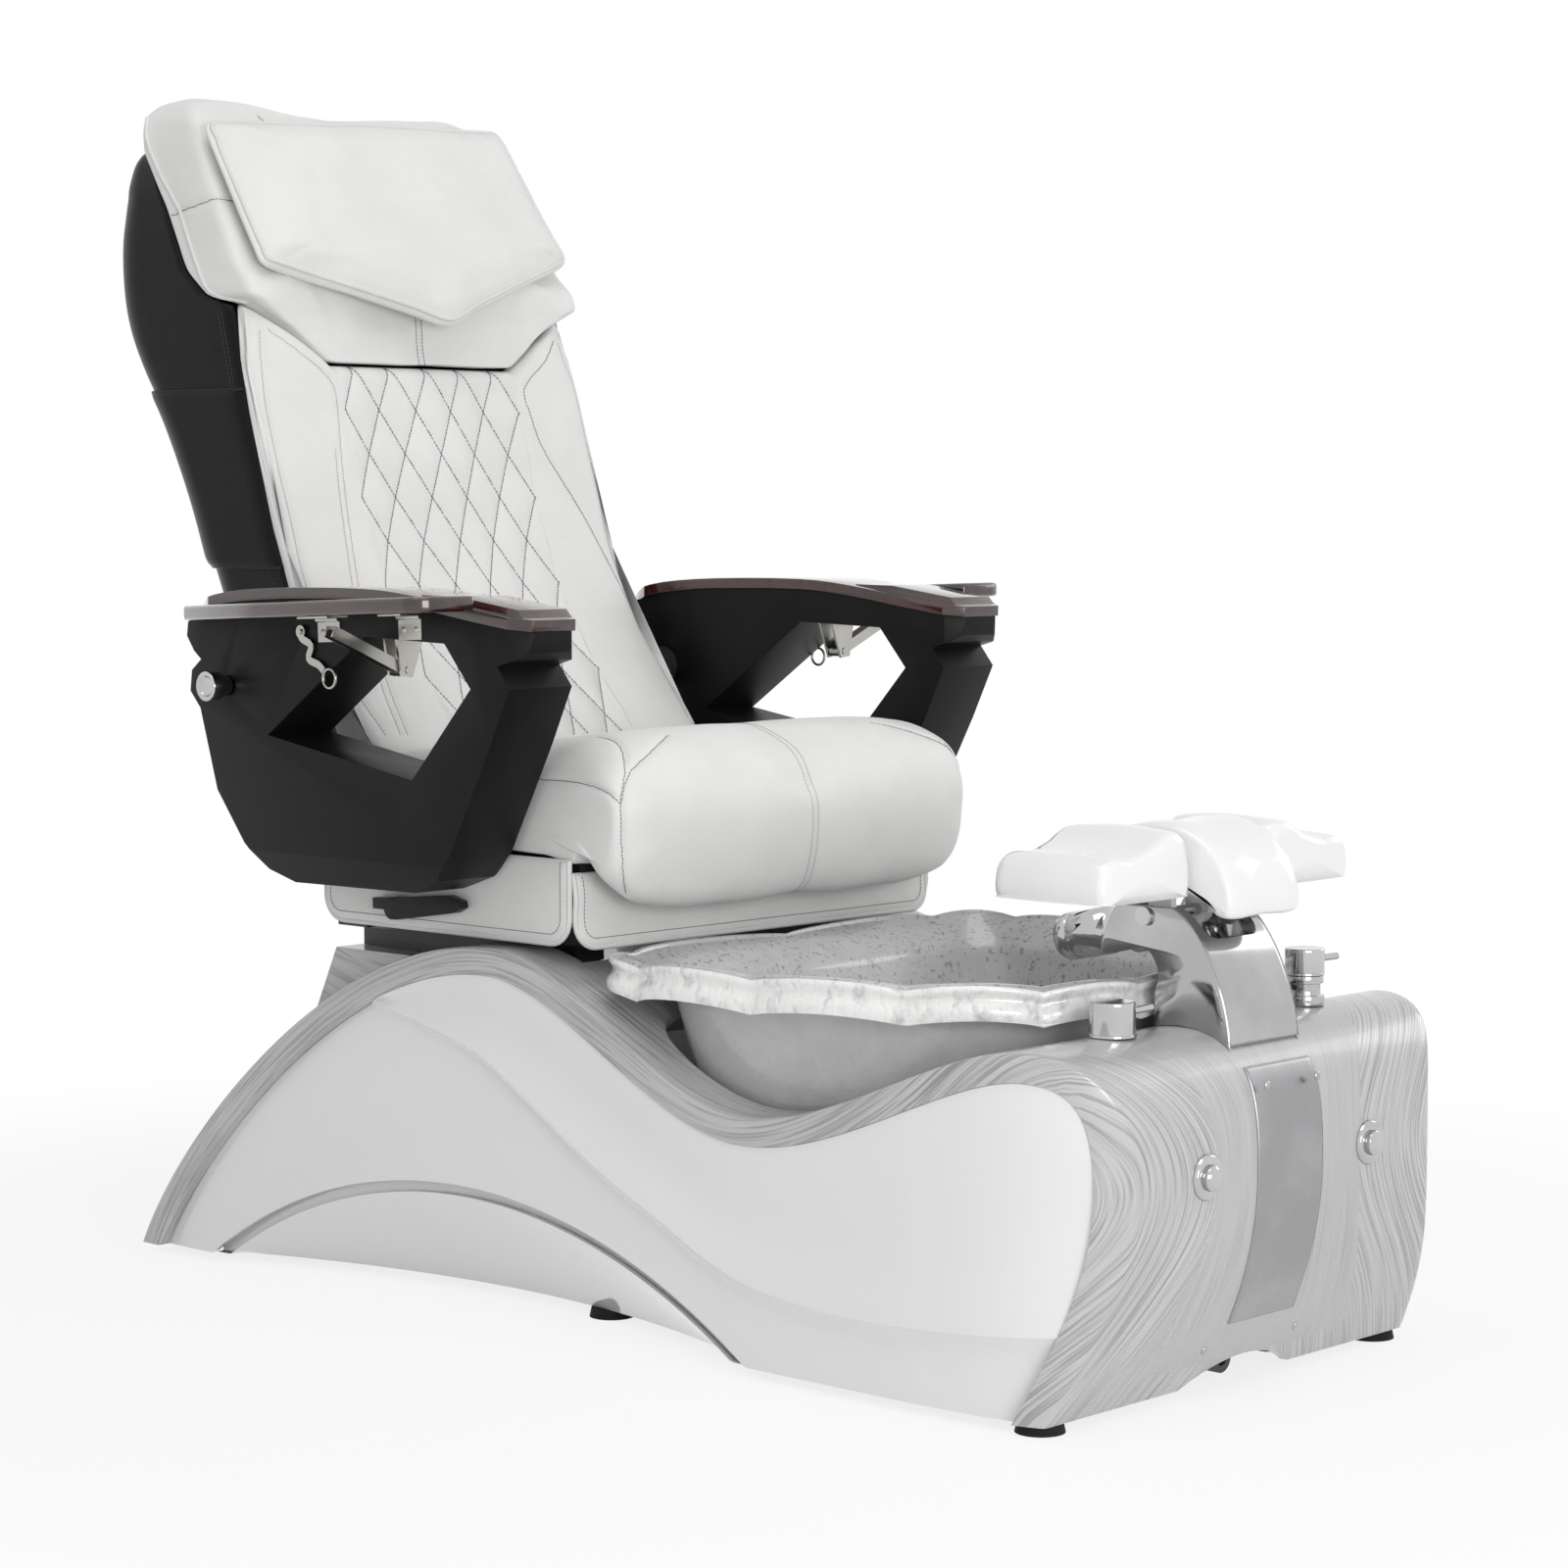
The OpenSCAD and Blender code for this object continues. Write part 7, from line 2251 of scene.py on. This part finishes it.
    def cushion(self) -> bpy.types.Object:
        """Builds the back cushion column by column, swells it and raises the quilting.

        Returns:
            The cushion.
        """
        cs = np.concatenate([np.arange(0, 245, 5.0), [247, 250, 253, 255.5, 257.5, 259, 260]])
        columns = np.concatenate([-cs[:0:-1], cs])
        rings = []
        for c in columns:
            a, sign = abs(c), (-1 if c < 0 else 1)
            x_top = float(self.cushion_x(np.array(a), np.array(1060.0)))
            top = 1015.8 + max(0.0, x_top - 141) * 73 / 119
            inward = float(on_curve(self.roll, a)[0])
            zs = 528 + (top - 528) * np.linspace(0, 1, 84)
            xs = sign * self.cushion_x(np.full(84, a), zs)
            lift = 2.0 * np.exp(-((top - zs) / 6.0) ** 2)
            ys = on_curve(self.front, zs) + inward + lift
            rear = np.array([on_line(self.shell_front, min(z, 1078.0)) for z in zs]) - 0.3
            ys = np.minimum(ys, rear - 1.0)
            front = np.stack([xs, ys, zs], 1)
            back = np.stack([xs, rear, zs], 1)[::-1]
            rings.append(np.vstack([front, back]))
        piece = loft("back_cushion_padded", rings, Looks.WHITE_VINYL)
        at = in_outline(piece)
        free = np.clip(-normals(piece)[:, 1] * 1.4, 0, 1) * np.clip((at[:, 2] - 600) / 60, 0.1, 1)
        free *= np.clip((262 - np.abs(at[:, 0])) / 20, 0.2, 1)
        piece = subdivided(inflated(piece, 0.006, free))
        at, facing = in_outline(piece), normals(piece)[:, 1] < -0.3
        u = at[:, 0] / self.diamond[0] + (at[:, 2] - self.quilt_top) / self.diamond[1]
        v = at[:, 0] / self.diamond[0] - (at[:, 2] - self.quilt_top) / self.diamond[1]
        inside = (np.clip((self.quilt_x + 0.5 - np.abs(at[:, 0])) / 3, 0, 1)
                  * np.clip((self.quilt_top + 1 - at[:, 2]) / 3, 0, 1)
                  * np.clip((at[:, 2] - self.quilt_low) / 3, 0, 1) * facing)
        hill = (np.abs(np.sin(math.pi * u) * np.sin(math.pi * v))) ** 0.8 * self.puff
        across = 1 / math.hypot(1 / self.diamond[0], 1 / self.diamond[1])
        near = np.minimum(np.abs(u - np.round(u)), np.abs(v - np.round(v))) * across
        hill -= 1.3 * np.exp(-((near / 2.4) ** 2))
        soft = 0.8 * np.sin(at[:, 2] * 0.05 + at[:, 0] * 0.01) * np.clip((np.abs(at[:, 0]) - 150) / 30, 0, 1)
        moved = coordinates(piece)
        moved[:, 1] -= (hill * inside + soft * facing) / MM
        set_coordinates(piece, moved)
        return piece

    def quilt_rows(self) -> list[np.ndarray]:
        """Gives the quilting's crossing lines, in millimetres, on a plane before the cushion.

        Returns:
            The lines.
        """
        w, h = self.diamond
        rows = []
        for way in (1, -1):
            for n in range(-12, 13):
                z = np.arange(self.quilt_low + 2, self.quilt_top - 1, 2.5)
                x = w * (n - way * (z - self.quilt_top) / h)
                keep = np.abs(x) <= self.quilt_x
                if keep.sum() > 4:
                    y = on_curve(self.front, z)
                    rows.append(np.stack([x, y, z], 1)[keep])
        return rows

    def head_pad(self) -> bpy.types.Object:
        """Builds the head pad, from its pointed lower edge over its wings to its dipped top.

        Returns:
            The head pad.
        """
        centre = ((1017, 506), (1061, 517), (1090, 521), (1133, 531), (1230, 592), (1302, 638), (1326, 660))
        wing = ((1017, 506), (1061, 508), (1090, 500), (1110, 506), (1133, 531), (1230, 592), (1302, 638),
                (1326, 664))
        rear = ((1017, 526), (1079, 544), (1090, 589), (1120, 628), (1195, 675), (1262, 729), (1284, 737),
                (1302, 738), (1318, 726), (1327, 700))
        half = ((1017, 141), (1090, 258), (1133, 257), (1200, 249), (1262, 241), (1302, 232), (1318, 218),
                (1327, 190))
        zs = np.concatenate([[1017, 1019, 1022], np.arange(1027, 1300, 7.0),
                             [1302, 1309, 1315, 1320, 1324, 1327]])
        shares = (6, 7, 6, 5, 2, 2, 6, 2, 7, 8)
        rings = []
        for z in zs:
            w, yc, yw, yr = (float(v) for v in (on_line(half, z), on_line(centre, z), on_line(wing, z),
                                                 on_line(rear, z) - 0.3))
            r = min(12.0, (yr - yc) / 3)
            corners = [(0, yc), (0.3 * w, yc), (0.6 * w, yc + 0.25 * (yw - yc)),
                       (0.82 * w, yc + 0.7 * (yw - yc)), (w - r, yw), (w - 0.3 * r, yw + 0.3 * r),
                       (w, yw + r), (w, yr - r), (w - r, yr), (0.6 * w, yr), (0, yr)]
            fine = [(corners[k][0] + (corners[k + 1][0] - corners[k][0]) * j / n,
                     corners[k][1] + (corners[k + 1][1] - corners[k][1]) * j / n)
                    for k, n in enumerate(shares) for j in range(n)] + [corners[-1]]
            rings.append(np.array([(x, y, z - 26 * max(0.0, (z - 1284) / 43) * (1 - (x / w) ** 2))
                                   for x, y in both_sides(fine)]))
        crown, middle = rings[-1], rings[-1].mean(0)
        rings += [middle + (crown - middle) * f + np.array([0, 0, 1.2]) for f in (0.8, 0.55, 0.3)]
        piece = loft("head_pad_padded", rings, Looks.WHITE_VINYL)
        at = in_outline(piece)
        rear_y = np.array([on_line(rear, z) for z in at[:, 2]])
        free = np.clip((rear_y - at[:, 1] - 3) / 18, 0, 1) * np.clip((at[:, 2] - 1018) / 30, 0.1, 1)
        piece = subdivided(inflated(piece, 0.0065, free))
        pushed(piece, self.sag(piece))
        return piece

    @staticmethod
    def sag(piece: bpy.types.Object) -> np.ndarray:
        """Gives shallow hollows of a soft cover, in metres along the normal.

        Args:
            piece: The piece.

        Returns:
            Each point's way.
        """
        at = coordinates(piece) * MM
        return 0.0008 * (np.sin(at[:, 0] * 0.03 + 0.5) * np.sin(at[:, 2] * 0.035)
                         + 0.6 * np.sin(at[:, 0] * 0.061 + at[:, 2] * 0.04))

    def on_pillow(self, x: float, up: float, deep: float, s: float) -> Point:
        """Places a point of the pillow: across, up it and into it, drawn in by s.

        Args:
            x: Distance across.
            up: Distance up the pillow.
            deep: Distance into it.
            s: The share of its full size.

        Returns:
            The point.
        """
        roll, lean = math.radians(3.0), math.radians(self.pillow_lean)
        u, v = x * s + self.pillow_w / 2, (up - 150) * s - 30
        a = u * math.sin(roll) + v * math.cos(roll) + 180
        return (u * math.cos(roll) - v * math.sin(roll) - self.pillow_w / 2,
                444.7 + a * math.sin(lean) + deep * math.cos(lean),
                1061 + a * math.cos(lean) - deep * math.sin(lean))

    def pillow_line(self) -> np.ndarray:
        """Gives the pillow's outline as (across, up).

        Returns:
            The outline's points.
        """
        half = [(0, 0), (0.22, 20), (0.55, 48), (0.92, 79), (0.995, 90), (0.995, 108), (0.975, 190),
                (0.96, 262), (0.945, 276), (0.89, 281), (0.45, 284), (0, 285)]
        return spaced(smooth_ring(both_sides([(p[0] * self.pillow_w / 2, p[1]) for p in half]), 8), 8.0,
                      closed=True)

    def pillow(self) -> bpy.types.Object:
        """Builds the pillow and swells it.

        Returns:
            The pillow.
        """
        t = self.pillow_t
        layers = [(0.06, 0), (0.18, 0), (0.3, 0), (0.42, 0.2), (0.54, 0.5), (0.65, 1), (0.75, 1.7),
                  (0.83, 2.7), (0.89, 4.1), (0.935, 6), (0.965, 8.4), (0.985, 11), (0.996, 14), (1, 17),
                  (0.997, 20), (0.988, 23.5), (0.972, 26.6), (0.945, 29.4), (0.9, 31.4), (0.83, 32.6),
                  (0.72, 33.4), (0.58, 33.8), (0.44, t), (0.3, t), (0.16, t), (0.06, t)]
        line = self.pillow_line()
        rings = [np.array([self.on_pillow(x, up, deep, s) for x, up in line]) for s, deep in layers]
        piece = loft("pillow_padded", rings, Looks.WHITE_VINYL)
        lean = math.radians(self.pillow_lean)
        away = normals(piece) @ np.array([0, -math.cos(lean), math.sin(lean)])
        piece = subdivided(inflated(piece, 0.008, np.clip(away * 1.5 + 0.25, 0, 1)))
        pushed(piece, 0.7 * self.sag(piece))
        return piece

    def seam_rows(self) -> tuple[list, list]:
        """Gives the back cushion's seams: those of pale thread and those of dark thread.

        Returns:
            The rows of pale thread, and the rows of dark thread.
        """
        near = [(-221, 516, 1052), (-193, 506, 1030), (-150, 498, 995), (-147, 490, 961), (-154, 477, 916),
                (-160, 464, 872), (-170, 440, 806), (-186, 400, 720), (-200, 350, 650), (-208, 315, 606)]
        far = [(-x, y, z) for x, y, z in near[:3]] + [(152, 490, 961), (160, 480, 925), (180, 466, 884),
                                                      (217, 445, 816), (240, 415, 745), (250, 370, 680)]
        return [near, [(x - 9, y, z) for x, y, z in near[4:]]], [far]

    def shell_seams(self) -> list[np.ndarray]:
        """Gives the double seam behind the shell's front edge on both sides.

        Returns:
            The rows on both sides.
        """
        rows = []
        for back in (20.0, 25.0):
            zs = np.arange(500, 1072, 6.0)
            half = np.interp(zs, *np.array(self.shell_half, float).T)
            rows.append(np.stack([half, on_line(self.shell_front, zs) + back, zs], 1))
        return both_ways(rows)

    @staticmethod
    def dress(piece: bpy.types.Object, *nodes: str, slot: str = "white_vinyl") -> bpy.types.Object:
        """Settles a piece on the back, passing on a slot name that is white_vinyl unless another is given."""
        return settle(piece, "back", slot, *nodes)

    def dress_cushion(self) -> None:
        """Builds the back cushion with its quilting thread, seams and edge stitches."""
        cushion = self.cushion()
        pale, dark = self.seam_rows()
        skin = Skin(cushion)
        outer = [[(-232, 515, 1050), (-244, 500, 975), (-244, 481, 905), (-243, 459, 839), (-244, 436, 785),
                  (-244, 400, 715), (-242, 350, 650), (-236, 320, 606)]]
        groups = [[skin.from_front(even_row(r), 0.0) for r in rows]
                  for rows in (pale, dark, both_ways(outer))]
        for group, depth in zip(groups, (0.002, 0.002, 0.0008)):
            grooved(cushion, group, depth, 0.0035)
        self.dress(cushion, "back_cushion")
        skin = Skin(cushion)
        quilt = [skin.from_front(place(row), 0.0002) for row in self.quilt_rows()]
        self.dress(stitched("quilt_stitches", quilt, Looks.GREY_THREAD, 0.0046, 0.0006))
        threads = (("pale", Looks.PALE_THREAD), ("dark", Looks.GREY_THREAD), ("edge", Looks.PALE_THREAD))
        for (name, thread), group in zip(threads, groups):
            rows = [skin.closest(line, 0.0002) for line in group]
            self.dress(stitched(f"back_{name}_stitches", rows, thread))

    def dress_head(self) -> None:
        """Builds the head pad and the pillow with their seams and piping."""
        pad = self.head_pad()
        skin = Skin(pad)
        wing = [(-254, 655, 1187), (-250, 608, 1196), (-220, 570, 1203), (-120, 560, 1206), (0, 558, 1207)]
        wing += [(-x, y, z) for x, y, z in reversed(wing[:-1])]
        tops = [[(-124, 640, 1318), (-126, 630, 1270), (-128, 590, 1212)]]
        centre = [[(off, 505, 1019), (off, 512, 1045), (off, 520, 1090)] for off in (-4.5, 4.5)]
        sewn_rows = skin.laid([wing] + both_ways(tops))
        double, middle = ([skin.from_front(place(spaced(r, SEAM_STEP)), 0.0) for r in rows]
                          for rows in (centre, [[(0, 505, 1019), (0, 520, 1090)]]))
        grooved(pad, sewn_rows, 0.0022, 0.004)
        grooved(pad, middle, 0.0014, 0.0022)
        self.dress(pad, "head_pad")
        skin = Skin(pad)
        rows = [skin.closest(line, 0.0002) for line in sewn_rows + double]
        self.dress(stitched("head_pad_stitches", rows, Looks.GREY_THREAD))
        edge = [(-225, 724, 1300), (-237, 718, 1278), (-244, 686, 1237), (-250, 643, 1190), (-256, 609, 1138),
                (-258, 582, 1098), (-249, 549, 1084), (-240, 531, 1079)]
        self.dress(piped("head_pad_piping", skin.laid(both_ways([edge]), 0.0006), Looks.PIPING, 0.0024))
        pillow = self.pillow()
        self.dress(pillow, "pillow")
        welt = np.array([self.on_pillow(x, up, 9.0, 0.985) for x, up in self.pillow_line()])
        row = Skin(pillow).closest(place(welt), 0.0008)
        self.dress(piped("pillow_piping", [row], Looks.PIPING, 0.0024, closed=True))

    def build(self) -> None:
        """Builds and dresses the backrest."""
        shell = self.shell()
        skin = Skin(shell)
        lines = [skin.closest(place(row), 0.0) for row in self.shell_seams()]
        grooved(shell, lines[::2], 0.0012, 0.003)
        settle(shell, "back", "black_vinyl", "back_shell")
        skin = Skin(shell)
        rows = [skin.closest(line, 0.0003) for line in lines]
        black = "black_vinyl"
        self.dress(stitched("back_shell_stitches", rows, Looks.BLACK_THREAD, 0.005, 0.0006), slot=black)
        bands, pipes = self.bands()
        self.dress(bands, "side_bands", slot=black)
        self.dress(piped("side_band_piping", pipes, Looks.BLACK_PIPING, 0.0022), slot=black)
        self.dress_cushion()
        self.dress_head()
        finish_nodes(Looks.POWDER, "back_frame")
        finish_nodes(Looks.GREY_POWDER, "massage_carriage")
        finish_nodes(Looks.IVORY, "massage_rollers")


# ---- Arms ----


@dataclass
class Arm:
    """One arm with its wooden cap, its fold-down tray and the tray's hardware."""

    word: str
    side: float
    out_x: float = 378.0
    fold: Point = (165.0, 739.0)
    tilt_deg: float = -2.4

    def on_tray(self, x: float, y: float, z: float) -> Point:
        """Places a point given along the tray's fold line."""
        c, s = math.cos(math.radians(self.tilt_deg)), math.sin(math.radians(self.tilt_deg))
        return (self.side * x, self.fold[0] + y * c - z * s, self.fold[1] + y * s + z * c)

    def build(self) -> None:
        """Builds and dresses the arm."""
        w, s = self.word, self.side
        for name, node, finish, width, segments, angle, body, slot in (
                ("arm_body_skin_", "arm_body_", Looks.ARM_SKIN, 0.0028, 3, 18.0, "arm_", "arm_polyurethane"),
                ("arm_cap_lacquer_", "arm_cap_", Looks.MAHOGANY, 0.0024, 3, 18.0, "arm_", "mahogany"),
                ("tray_lacquer_", "tray_", Looks.MAHOGANY, 0.0045, 4, 30.0, "table_", "mahogany"),
                ("arm_knob_bright_", "arm_knob_", Looks.CHROME, 0.0012, 3, 30.0, "release_",
                 "polished_chrome")):
            settle(softened(name + w, [node + w], finish, width, segments, angle), body + w, slot)
        finish_nodes(Looks.ZINC, *(f"tray_{kind}_{w}" for kind in ("fittings", "brackets", "strut", "latch")))
        spots = [self.on_tray(self.out_x + 2.1, y + off, -13.5) for y in (-64, 64) for off in (-9.5, 9.5)]
        heads = screwed("hinge_screws_" + w, place(spots), [(s, 0, 0)] * len(spots), Looks.ZINC, 0.0036)
        settle(heads, "arm_" + w, "hinge_zinc")


# ---- Studio ----


@dataclass
class Studio:
    """The pale floor, the soft lights, the white surround and the camera."""

    eye: Point = (-2.9444, -2.8299, 0.861)
    turn_deg: float = 42.92
    drop_deg: float = 4.32
    lens: float = 86.35
    floor_tone: Colour = (0.86, 0.86, 0.86)
    surround: float = 0.6

    def camera(self) -> None:
        """Sets the camera at a level gaze across the chair's right front corner."""
        data = bpy.data.cameras.new("camera")
        data.lens, data.sensor_width, data.sensor_fit = self.lens, 36.0, "HORIZONTAL"
        data.clip_end = 100.0
        seen = linked("camera", data)
        seen.location = self.eye
        seen.rotation_euler = (math.radians(90 - self.drop_deg), 0, math.radians(self.turn_deg - 90))
        bpy.context.scene.camera = seen

    def floor(self) -> None:
        """Lays the floor, which keeps the shadow and reads as white from the camera."""
        work = bmesh.new()
        bmesh.ops.create_circle(work, cap_ends=True, segments=96, radius=40.0)
        ground = written("floor", work)
        paint = bpy.data.materials.new("floor_paint")
        graph = Graph(paint)
        cloud = graph.noise(graph.where(), 3.0, 2.0)
        graph.feed(Base_Color=graph.mix(cloud, tuple(0.985 * c for c in self.floor_tone), self.floor_tone),
                   Roughness=0.9)
        far = graph.node("ShaderNodeVectorMath", {"operation": "LENGTH"}, {0: graph.where()}, "Value")
        glow = graph.node("ShaderNodeEmission", None, {"Color": (1.0, 1.0, 1.0, 1.0)})
        graph.show_white(graph.in_view() * (far.band(0.9, 1.9) * 0.18 + 0.82), glow)
        ground.data.materials.append(paint)

    def world(self) -> None:
        """Sets a white surround for the camera and a softer one for the light."""
        world = bpy.data.worlds.new("studio")
        bpy.context.scene.world = world
        graph = Graph(world, "ShaderNodeBackground", "ShaderNodeOutputWorld")
        graph.feed(Color=(1.0, 1.0, 1.0), Strength=self.surround)
        white = graph.node("ShaderNodeBackground", None, {"Color": (1.0, 1.0, 1.0, 1.0), "Strength": 1.0})
        graph.show_white(graph.in_view(), white)

    def lamp(self, name: str, at: Point, towards: Point, size: float, power: float) -> None:
        """Hangs one soft box.

        Args:
            name: Its name.
            at: Where it hangs.
            towards: What it faces.
            size: Its width.
            power: Its power in watts.
        """
        data = bpy.data.lights.new(name, "AREA")
        data.shape = "RECTANGLE"
        data.size, data.size_y = size, size * 0.7
        data.energy = power
        box = linked(name, data)
        box.location = at
        box.rotation_euler = (Vector(towards) - Vector(at)).to_track_quat("-Z", "Y").to_euler()

    def build(self) -> None:
        """Sets up the studio."""
        self.camera()
        self.floor()
        self.world()
        self.lamp("soft_top", (-0.8, -0.5, 3.2), (0, 0, 0.5), 2.2, 17.0)
        self.lamp("soft_front", (-1.6, -3.4, 1.0), (0, 0, 0.6), 1.8, 46.0)
        self.lamp("soft_side", (3.0, -1.2, 1.6), (0, 0, 0.6), 1.6, 12.0)
        bpy.context.scene.view_settings.view_transform = "Standard"


def main() -> None:
    """Builds the studio and every part of the chair."""
    logging.basicConfig(level=logging.INFO, format="%(name)s: %(message)s")
    Studio().build()
    base = BaseHousing()
    base.build()
    FootTub().build()
    Footrest().build(base)
    WaterControls().build()
    SeatUnit().build()
    Backrest().build()
    for word, side in SIDES:
        Arm(word, side).build()


if __name__ == "__main__":
    main()
